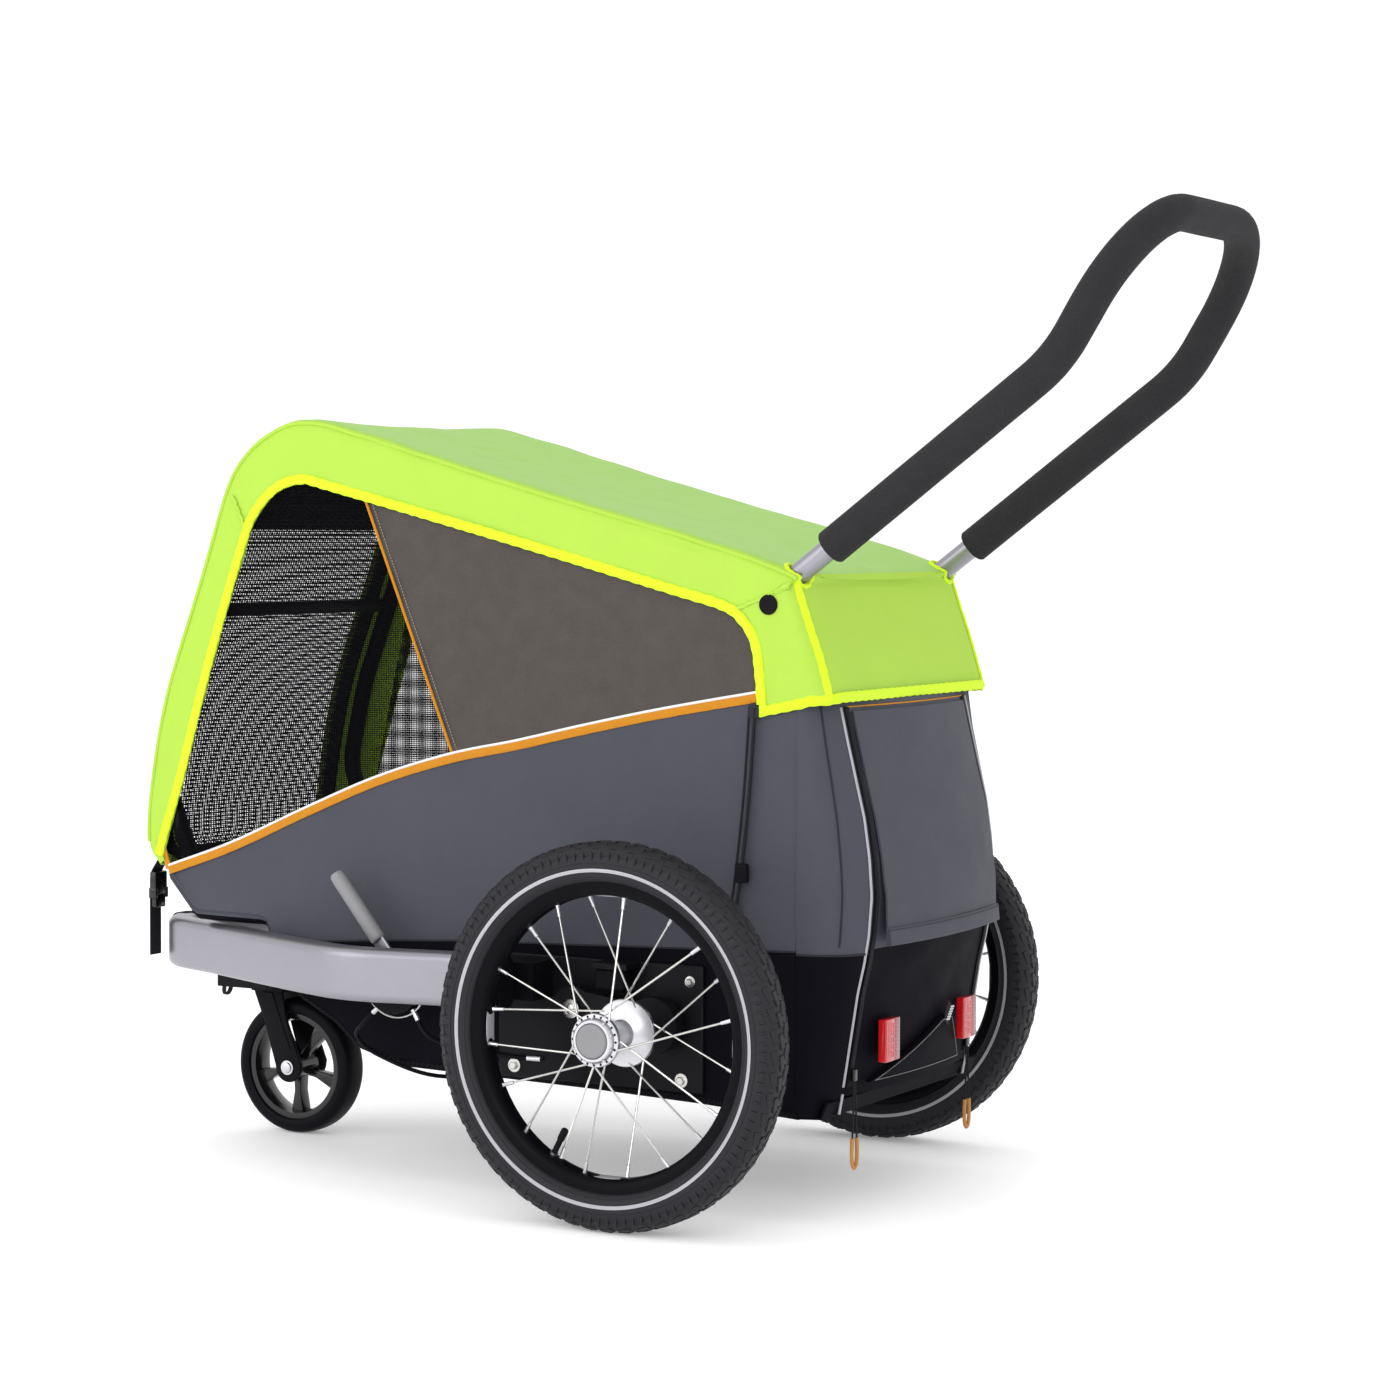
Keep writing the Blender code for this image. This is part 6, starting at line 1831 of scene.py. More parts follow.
    def pouch(self) -> None:
        """Makes the folded pouch with its hatched tab."""
        foot, tip = (0.118, -0.098, 0.141), (-0.028, -0.056, 0.192)
        rows = []
        for i in range(16):
            t = i / 15
            left, right, z = (a + (b - a) * t for a, b in zip(foot, tip))
            left -= 0.006 * math.sin(math.pi * t)
            xs = [left + (right - left) * k / 24 for k in range(25)]
            puff = 0.0012 * math.sin(math.pi * t)
            rows.append([Vector((x, BODY.door_y(x, z, 0.0070 + puff * math.sin(math.pi * k / 24)), z))
                         for k, x in enumerate(xs)])
        pouch = self.shop.cloth("pouch_cloth", rows, FINISH.black_cloth, (0, 1, 0), thickness=0.006,
                                body="rear_door", replaces=["pouch"])
        outline = [rows[0][0], rows[-1][0], rows[-1][-1], rows[0][-1]]
        centre = sum(outline, Vector()) / 4
        loop = [p.lerp(centre, 0.07) for p in [*rows[0][::4], *[r[-1] for r in rows[1::3]], *rows[-1][::-4],
                                                *[r[0] for r in rows[-2::-3]]]]
        line = [Vector((p.x, BODY.door_y(p.x, p.z, 0.0084), p.z)) for p in loop + [loop[0]]]
        stitches = self.shop.repeat.row([line], 0.0036, (0.0022, 0.0006, 0.0005), (0, 1, 0), FINISH.thread)
        seam = self.shop.piece("pouch_stitches", stitches, FINISH.thread, body="rear_door", outward=False)
        tab_line = [Vector((-0.036 - 0.012 * t, BODY.door_y(-0.040, 0.19 + 0.010 * t, 0.0078 - 0.002 * t),
                            0.186 + 0.020 * t))
                    for t in (k / 6 for k in range(7))]
        tab = self.shop.piece("pouch_tab", tube(tab_line, rounded_box_section(0.013, 0.0016, 0.0006, 2),
                                                [Vector((0, 1, 0))] * 7), FINISH.webbing, body="rear_door")
        hatch = [[Vector((-0.0405 - 0.0105 * t + d, tab_line[3].y + 0.0013, 0.1895 + 0.0125 * t))
                  for t in (0, 1)]
                 for d in (-0.003, 0.0, 0.003)]
        marks = self.shop.repeat.row(hatch, 0.0032, (0.0016, 0.0020, 0.0005), (0, 1, 0), FINISH.piping_white)
        hatch_piece = self.shop.piece("pouch_hatch", marks, FINISH.piping_white, body="rear_door",
                                      outward=False)
        self.shop.declare_sheet(pouch, ["rear_door_cloth"], [seam, tab, hatch_piece])

    def pulls(self) -> None:
        """Makes the zip pulls: a slider, a double cord and an orange loop each."""
        for side, word in SIDES:
            x, z = side * (BODY.door_half - 0.008), 0.150
            y = BODY.door_y(x, z, 0.0031)
            origin = Vector((x, y, z))
            left = [Vector((-0.0018, 0, 0)), Vector((-0.0022, 0.001, -0.020)),
                    Vector((-0.0040, 0.001, -0.050)),
                    Vector((-0.0062, 0.001, -0.076)), Vector((-0.0050, 0.001, -0.090)),
                    Vector((0, 0.001, -0.0955))]
            right = [Vector((-p.x, p.y, p.z)) for p in reversed(left[:-1])]
            line = smoothed([origin + p for p in left + right], 6)
            middle = len(line) // 2
            part = line[middle - 15: middle + 16]
            loop = self.shop.piece(f"pull_loop_{word}", tube(part, circle(0.0021, 10)), FINISH.orange_loop,
                                   body=f"zip_pull_{word}")
            slider = softened(block((-0.0042, -0.0020, -0.0065), (0.0042, 0.0026, 0.0065)), 0.0014, 3)
            self.shop.piece(f"zip_slider_{word}", slider.at(origin + Vector((0, 0, 0.002))),
                            FINISH.gloss_plastic, body="rear_door")
            self.shop.cord(f"pull_cord_{word}", line, circle(0.0011, 8), 0.0022, FINISH.webbing, "object",
                           lay="hanging", stiffness="limp", with_pieces=[loop], body=f"zip_pull_{word}",
                           replaces=[f"zip_pull_{word}"])

    def build(self) -> None:
        """Makes the whole rear."""
        self.panel()
        self.flap()
        self.reflectors()
        self.pouch()
        self.pulls()


# --- tubes and metalwork ---------------------------------------------------------------------------
@dataclass
class PushBar:
    """The bent push bar with its foam sleeve and the fittings that hold it."""

    shop: Workshop
    half_width: float = 0.177
    low_length: float = 0.424
    high_length: float = 0.175
    high_angle: float = math.radians(59)
    corner: float = 0.110
    tube_radius: float = 0.0115
    sleeve_radius: float = 0.0189
    sleeve_from: float = 0.113
    fitting_radius: float = 0.0168

    def path(self) -> list[Vector]:
        """Returns the bar's centre line from one end to the other."""
        bend_y, bend_z = along_bar(self.low_length)
        c, s = math.cos(self.high_angle), math.sin(self.high_angle)
        straight = self.high_length - self.corner
        half = rounded_line([Vector((self.half_width, *along_bar(0))),
                             Vector((self.half_width, bend_y, bend_z)),
                             Vector((self.half_width, bend_y + c * straight, bend_z + s * straight))], 0.055,
                             10)
        for k in range(1, 19):
            angle = math.radians(5 * k)
            rise = straight + self.corner * math.sin(angle)
            half.append(Vector((self.half_width - self.corner * (1 - math.cos(angle)), bend_y + c * rise,
                                bend_z + s * rise)))
        return half + [Vector((-p.x, p.y, p.z)) for p in reversed(half)]

    def build(self) -> None:
        """Makes the bar, its sleeve and its fittings."""
        path = self.path()
        self.shop.piece("push_bar_tube", tube(path, circle(self.tube_radius, 24)), FINISH.aluminium,
                        body="push_bar", replaces=["push_bar"])
        first = path[0] + (path[1] - path[0]).normalized() * self.sleeve_from
        line = [first, *[p for p in path if p.z > first.z + 0.002], Vector((-first.x, first.y, first.z))]
        fine = spaced(line, 150)
        start = (fine[1] - fine[0]).normalized()
        ends = [fine[0] + start * d for d in (0.0, 0.0006, 0.0022)]
        tail = [Vector((-p.x, p.y, p.z)) for p in reversed(ends)]
        sizes = [0.80, 0.93, 1.0] + [1 + 0.008 * ripple(p, 0.03, 2.0) for p in fine[1:-1]] + [1.0, 0.93, 0.80]
        sleeve = tube(ends + fine[1:-1] + tail, circle(self.sleeve_radius, 28), None, sizes)
        grip = self.shop.piece("foam_sleeve", sleeve, FINISH.foam, body="push_bar", replaces=["foam_grip"],
                               sharp=60)
        for side, word in SIDES:
            self.socket(side, word)

    def socket(self, side: int, word: str) -> None:
        """Makes the fitting at one end of the bar."""
        x = side * self.half_width
        marks = ((-0.008, 0.92), (-0.006, 1.0), (0.040, 1.0), (0.042, 1.03), (0.048, 1.03), (0.050, 0.98),
                 (0.052, 0.90))
        line = [Vector((x, *along_bar(d))) for d, _ in marks]
        self.shop.piece(f"bar_fitting_{word}",
                        tube(line, circle(self.fitting_radius, 28), None, [s for _, s in marks]),
                        FINISH.black_plastic, replaces=[f"bar_socket_{word}"])


@dataclass
class Bumper:
    """The aluminium bumper round the nose and what is fixed to it."""

    shop: Workshop
    height: float = 0.238
    thick: float = 0.030
    tall: float = 0.058
    corner: float = 0.010
    front: float = -0.692
    end_x: float = 0.260

    def path(self) -> list[Vector]:
        """Returns the centre line from the left rear end to the right one."""
        plan = [(self.end_x, -0.165), (0.263, -0.225), (0.285, -0.345), (0.255, -0.425), (0.171, -0.607),
                (0.139, self.front), (0.0, self.front)]
        half = rounded_line([Vector((x, y, self.height)) for x, y in plan], 0.045, 12)[:-1]
        return half + [Vector((-p.x, p.y, p.z)) for p in reversed(half)]

    def build(self) -> None:
        """Makes the bumper, its tape, plugs and bolts."""
        path = self.path()
        section = rounded_box_section(self.thick, self.tall, self.corner, 8)
        self.shop.piece("bumper_tube", tube(path, section, [Z_AXIS] * len(path)), FINISH.aluminium,
                        replaces=["bumper"])
        for side, word in SIDES:
            ends = [Vector((side * self.end_x, y, self.height)) for y in (-0.1640, -0.1615, -0.1595)]
            section = rounded_box_section(self.thick - 0.0004, self.tall - 0.0004, self.corner, 6)
            plug = tube(ends, section, [Z_AXIS] * 3, [1.0, 1.0, 0.93])
            self.shop.piece(f"bumper_plug_{word}", plug, FINISH.black_plastic)
            bolt = lathe([(0, 0.0), (0, 0.0062), (0.0030, 0.0062), (0.0042, 0.0050), (0.0042, 0.0)], 6)
            heads = bolt.at((0.2752, -0.186, 0.250)).add(bolt.at((0.2752, -0.186, 0.226)))
            self.shop.piece(f"bumper_bolts_{word}", heads.sided(side), FINISH.bright)
            wrap = rounded_box_section(self.thick + 0.0012, self.tall + 0.0012, self.corner + 0.0005, 6)
            tape = tube([Vector((side * x, self.front, self.height)) for x in (0.100, 0.118)], wrap,
                        [Z_AXIS] * 2)
            self.shop.piece(f"bumper_tape_{word}", tape, FINISH.black_cloth)


@dataclass
class Structure:
    """Hoops, crossbars and the parts that stay as the frame has them."""

    shop: Workshop
    frame: dict
    rail_x: float = 0.171
    rail_z: float = 0.1385
    rail_radius: float = 0.0099
    post_radius: float = 0.0089
    hoop_x: float = 0.1842
    hoop_radius: float = 0.0098

    def hoop(self, side: int, word: str) -> None:
        """Makes one side hoop."""
        x = side * self.hoop_x
        line = BODY.inset(BODY.crown, 0.002 + 0.0025 + 0.0009 + 0.010)
        end_y = along_bar(0.0)[0] - 0.012
        points = [Vector((x, -0.613, 0.303))] + [Vector((x, y, z)) for y, z in line[2:] if y < 0.04]
        points.append(Vector((x, end_y, value_on(line[6:], end_y))))
        path = rounded_line(points, 0.02, 6)
        self.shop.piece(f"hoop_tube_{word}", tube(path, circle(self.hoop_radius, 18)), FINISH.black_paint,
                        replaces=[f"side_hoop_{word}"])

    def base(self) -> None:
        """Makes the base frame's rails, cross tubes and uprights with round tubes."""
        rail, pipe, x = self.rail_z, circle(self.rail_radius, 16), self.rail_x
        plan = [(-0.600, 0.290), (-0.490, 0.290), (-0.452, 0.212), (-0.380, 0.162), (-0.320, rail),
                (0.158, rail)]
        half = tube(rounded_line(BODY.flat(plan, x), 0.03, 8), pipe)
        post = rounded_line(BODY.flat([(0.148, rail), (0.152, 0.300), along_bar(0.028)], x), 0.12, 10)
        half.add(tube(post, circle(self.post_radius, 16)))
        for y in (-0.185, 0.020):
            stub = [Vector((x + out, y, rail + 0.002)) for out in (0, 0.0262)]
            half.add(tube(stub, circle(0.0069, 14)))
        shape = Shape()
        for side, _ in SIDES:
            shape.add(half.sided(side))
        for y, z in ((-0.600, 0.290), (-0.300, rail), (-0.010, rail), (0.148, rail)):
            shape.add(tube([Vector((-x, y, z)), Vector((x, y, z))], pipe))
        self.shop.piece("base_tubes", shape, FINISH.black_paint, replaces=["base_frame"])

    def crossbar(self, node: str, radius: float) -> None:
        """Makes one cross tube in place of a node."""
        low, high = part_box(node)
        middle = (low + high) / 2 - self.shop.axle
        ends = [Vector((x, middle.y, middle.z)) for x in (low.x, low.x + 0.001, high.x - 0.001, high.x)]
        self.shop.piece(f"{node}_tube", tube(ends, circle(radius, 18), None, [0.94, 1, 1, 0.94]),
                        FINISH.black_paint, replaces=[node])

    def build(self) -> None:
        """Makes the frame's looks."""
        for side, word in SIDES:
            self.hoop(side, word)
            Workshop.repaint(self.frame, f"side_plate_{word}", FINISH.black_paint)
            Workshop.repaint(self.frame, f"swing_arm_{word}", FINISH.black_paint)
            Workshop.repaint(self.frame, f"elastomer_{word}", FINISH.rubber)
        self.base()
        self.crossbar("front_crossbar", 0.008)
        self.crossbar("rear_crossbar", 0.009)
        Workshop.repaint(self.frame, "floor_panel", FINISH.black_cloth)
        Workshop.repaint(self.frame, "caster_bracket", FINISH.black_paint)
        Workshop.repaint(self.frame, "caster_carriage", FINISH.black_plastic)


# --- wheels ----------------------------------------------------------------------------------------
@dataclass
class Wheel:
    """One 16 inch wheel with its arm's bolts."""

    shop: Workshop
    side: int
    radius: float = 0.200
    rim_radius: float = 0.158
    width: float = 0.047
    offset: float = 0.3163
    blocks: int = 58

    @property
    def word(self) -> str:
        """Returns left or right."""
        return "left" if self.side > 0 else "right"

    def put(self, name: str, shape: Shape, finishes: Finish | Sequence[Finish],
            **options: object) -> bpy.types.Object:
        """Places a shape that was drawn about the wheel's own middle, outer side at +x."""
        placed = shape.sided(self.side).at((self.side * self.offset, 0, self.radius))
        options.setdefault("body", f"wheel_{self.word}")
        return self.shop.piece(f"{name}_{self.word}", placed, finishes, **options)

    def _arch(self) -> list[Pair]:
        """Returns the tyre's outer section from one bead to the other."""
        half, low = self.width / 2, self.rim_radius + 0.0003
        marks = [(-0.52, 0), (-0.75, 0.06), (-0.93, 0.22), (-0.995, 0.42), (-0.965, 0.62), (-0.86, 0.78),
                 (-0.66, 0.90), (-0.36, 0.955), (0, 0.972)]
        points = smoothed([Vector((half * x, low + (self.radius - low) * r, 0)) for x, r in marks], 3)
        left = [(p.x, p.y) for p in points]
        return left + [(-x, r) for x, r in reversed(left[:-1])]

    def tyre(self) -> None:
        """Makes the tyre with its tread blocks and its reflective ring."""
        arch = self._arch()
        self.put("tyre_body", lathe(arch, 120, ring=True), FINISH.tyre, replaces=[f"tyre_{self.word}"],
                 sharp=50)
        tread = Shape()
        step = math.tau / self.blocks
        rows = ((0.0045, 0.1984, 0.0078, 0.0030, 0.0, 0), (-0.0045, 0.1984, 0.0078, 0.0030, 0.5, 0),
                (0.0133, 0.1958, 0.0078, 0.0034, 0.25, 26), (-0.0133, 0.1958, 0.0078, 0.0034, 0.75, -26),
                (0.0196, 0.1896, 0.0062, 0.0030, 0.6, 56), (-0.0196, 0.1896, 0.0062, 0.0030, 0.1, -56))
        for x, r, wide, tall, phase, lean in rows:
            unit = softened(block((-wide / 2, -0.0078, -tall / 2), (wide / 2, 0.0078, tall / 2)), 0.0007, 1)
            skew = Matrix.Rotation(math.radians(14 if x > 0 else -14), 4, "Z")
            unit = unit.moved(Matrix.Rotation(math.radians(lean), 4, "Y") @ skew)
            unit = unit.at((x, 0, r)).moved(Matrix.Rotation(step * phase, 4, "X"))
            tread.add(self.shop.repeat.ring(unit, self.blocks, FINISH.tyre))
        for sign in (1, -1):
            rib = pad((0.0007, 0.0010, 0.0080), 0.0003, 1)
            rib = rib.moved(Matrix.Rotation(math.radians(7 * sign), 4, "Y")).at((sign * 0.0228, 0, 0.1835))
            tread.add(self.shop.repeat.ring(rib, 2 * self.blocks, FINISH.tyre))
        self.put("tyre_tread", tread, FINISH.tyre, outward=False)
        outer = sorted((p for p in arch if p[0] > 0), key=lambda p: p[1])
        wall = [(r, x) for x, r in outer]
        rings, low, high = Shape(), 0.1700, 0.1736
        marks = [low + (high - low) * k / 6 for k in range(7)]
        face = [(value_on(wall, r) + 0.0004, r) for r in marks]
        back = [(x - 0.0012, r) for x, r in reversed(face)]
        for sign in (1, -1):
            rings.add(lathe([(sign * x, r) for x, r in face + back], 120, ring=True))
        self.put("tyre_ring", rings, FINISH.reflective)
        lines = Shape()
        for r in (0.1640, 0.1790):
            x = value_on(wall, r) + 0.0002
            lines.add(lathe([(x - 0.0006, r - 0.0005), (x + 0.0002, r - 0.0003), (x + 0.0002, r + 0.0003),
                             (x - 0.0006, r + 0.0005)], 120, ring=True))
        self.put("tyre_lines", lines, FINISH.tyre)

    def rim(self) -> None:
        """Makes the rim, the spoke nipples and the valve."""
        half = 0.015
        section = [(-half * 0.50, 0.1450), (-half * 0.2, 0.1446), (half * 0.2, 0.1446), (half * 0.50, 0.1450),
                   (half * 0.80, 0.1472), (half * 0.97, 0.1510), (half, 0.1560), (half * 1.04, 0.1592),
                   (half * 0.90, 0.1602), (half * 0.76, 0.1590), (0, 0.1560), (-half * 0.76, 0.1590),
                   (-half * 0.90, 0.1602), (-half * 1.04, 0.1592), (-half, 0.1560), (-half * 0.97, 0.1510),
                   (-half * 0.80, 0.1472)]
        self.put("rim_hoop", lathe(section, 120, ring=True), FINISH.rim_black, replaces=[f"rim_{self.word}"],
                 sharp=50)
        angle = math.radians(-118)
        out = Vector((0, math.cos(angle), math.sin(angle)))
        stem = [(0.1490, 0.0042, 0), (0.1440, 0.0042, 1), (0.1415, 0.0046, 1), (0.1412, 0.0032, 0),
                (0.1260, 0.0032, 0), (0.1255, 0.0040, 0), (0.1145, 0.0040, 0), (0.1130, 0.0030, 0)]
        line = [out * r for r, _, _ in stem]
        valve = tube(line, circle(1.0, 14), None, [s for _, s, _ in stem])
        count = 14
        for index in range(len(valve.faces)):
            ring = index // count
            valve.paints[index] = 1 if ring < len(stem) - 1 and stem[ring][2] else 0
        self.put("valve", valve, [FINISH.black_plastic, FINISH.bright])
        plate = pad((0.0072, 0.017, 0.0009), 0.0006, 2)
        decal = self.shop.repeat.ring(plate.at((0, 0, 0.1449)), 4, FINISH.reflective)
        self.put("rim_marks", decal, FINISH.reflective, outward=False)

    def _spokes(self) -> tuple[Shape, Shape]:
        """Returns all spokes and their nipples."""
        wires, nipples = Shape(), Shape()
        for flange, radius, lean in ((1, 0.0225, 1), (-1, 0.030, -1)):
            for k in range(2):
                angle = math.tau * (k + 0.25 * flange) / 10
                turn = lean * math.radians(38) * (1 if k % 2 else -1)
                x0 = flange * (0.030 + (0.0022 if k % 2 else -0.0022))
                start = Vector((x0, radius * math.cos(angle), radius * math.sin(angle)))
                end = Vector((flange * 0.004, 0.1447 * math.cos(angle + turn),
                              0.1447 * math.sin(angle + turn)))
                head = start - (end - start).normalized() * 0.002
                unit = tube([head, end], circle(0.00115, 8))
                knob = lathe([(-0.0016, 0.0), (-0.0016, 0.0016), (-0.0008, 0.0021), (0.0002, 0.0016),
                              (0.0002, 0.0)], 10)
                unit.add(knob.at(start + Vector((flange * (0.0022 if k % 2 else -0.0010) * 0.6, 0, 0))))
                wires.add(self.shop.repeat.ring(unit, 5, FINISH.steel))
                direction = (end - start).normalized()
                line = [end - direction * d for d in (0.0125, 0.0118, 0.003, 0.0)]
                cone = tube(line, circle(1.0, 8), None, [0.0012, 0.0019, 0.0021, 0.0026])
                nipples.add(self.shop.repeat.ring(cone, 5, FINISH.bright))
        return wires, nipples

    def hub(self) -> None:
        """Makes the hub with its drilled flanges, spokes and release button."""
        profile = [(-0.036, 0.0), (-0.036, 0.013), (-0.0335, 0.0160), (-0.0330, 0.0346), (-0.0322, 0.035),
                   (-0.0278, 0.035), (-0.0270, 0.0343), (-0.0262, 0.0240), (-0.0210, 0.0150),
                   (-0.0150, 0.0140),
                   (0.0190, 0.0140), (0.0235, 0.0150), (0.0268, 0.0210), (0.0272, 0.0270), (0.0278, 0.0275),
                   (0.0322, 0.0275), (0.0330, 0.0268), (0.0334, 0.0238), (0.0380, 0.0222), (0.0390, 0.0210),
                   (0.0390, 0.0186), (0.0380, 0.0180), (0.0315, 0.0180), (0.0315, 0.0)]
        wires, nipples = self._spokes()
        body = lathe(profile, 72)
        holes, screws = Shape(), Shape()
        for x, r in ((0.0331, 0.0251), (-0.0331, 0.0310)):
            step = math.copysign(0.0003, x)
            dot = lathe([(x - step, 0.0), (x - step, 0.0013), (x + step, 0.0013), (x + step, 0.0)], 12)
            holes.add(self.shop.repeat.ring(dot.at((0, 0, r)), 20, FINISH.black_plastic))
        bead = lathe([(0.0360, 0.0), (0.0360, 0.0011), (0.0388, 0.0011), (0.0392, 0.0006), (0.0392, 0.0)], 10)
        screws.add(self.shop.repeat.ring(bead.at((0, 0, 0.0232)), 10, FINISH.bright))
        whole = Shape().add(body, 0).add(wires, 1).add(holes, 2).add(screws, 0)
        self.put("hub_shell", whole, [FINISH.bright, FINISH.steel, FINISH.black_plastic],
                 replaces=[f"hub_{self.word}"])
        self.put("nipples", nipples, FINISH.bright)
        cap = [(0.0352, 0.0), (0.0352, 0.0177), (0.0392, 0.0177), (0.0404, 0.0170), (0.0410, 0.0155),
               (0.0408, 0.0120), (0.0400, 0.0090), (0.0398, 0.0)]
        button = lathe(cap, 60)
        self.put("release_cap", button, FINISH.grey_plastic, body=f"release_button_{self.word}",
                 replaces=[f"release_button_{self.word}"])

    def arm(self) -> None:
        """Makes the bolts and washers of the arm and its plate."""
        shapes = Shape()
        for x, y, z, r in ((0.2362, -0.095, 0.212, 0.0100), (0.2026, -0.185, 0.1405, 0.0075),
                           (0.2026, 0.020, 0.1405, 0.0075), (0.2026, 0.030, 0.245, 0.0060),
                           (0.2026, -0.190, 0.245, 0.0060)):
            washer = lathe([(0, 0.0), (0, r), (0.0010, r), (0.0012, r * 0.8), (0.0012, 0.0)], 24)
            head = [(0, 0.0), (0, r * 0.62), (0.0040, r * 0.62), (0.0048, r * 0.5), (0.0048, 0.0)]
            shapes.add(washer.at((x, y, z))).add(lathe(head, 6).at((x, y, z)))
        self.shop.piece(f"plate_bolts_{self.word}", shapes.sided(self.side), FINISH.steel)
        rib = softened(block((0.2330, 0.012, -0.0035), (0.2352, 0.075, 0.0035)), 0.0008, 2)
        lean = Matrix.Rotation(math.atan2(-0.012, 0.095), 4, "X")
        rib = rib.moved(lean).at((0, -0.095, 0.212))
        self.shop.piece(f"arm_rib_{self.word}", rib.sided(self.side), FINISH.black_paint,
                        body=f"swing_arm_{self.word}")

    def build(self) -> None:
        """Makes the wheel."""
        self.tyre()
        self.rim()
        self.hub()
        self.arm()


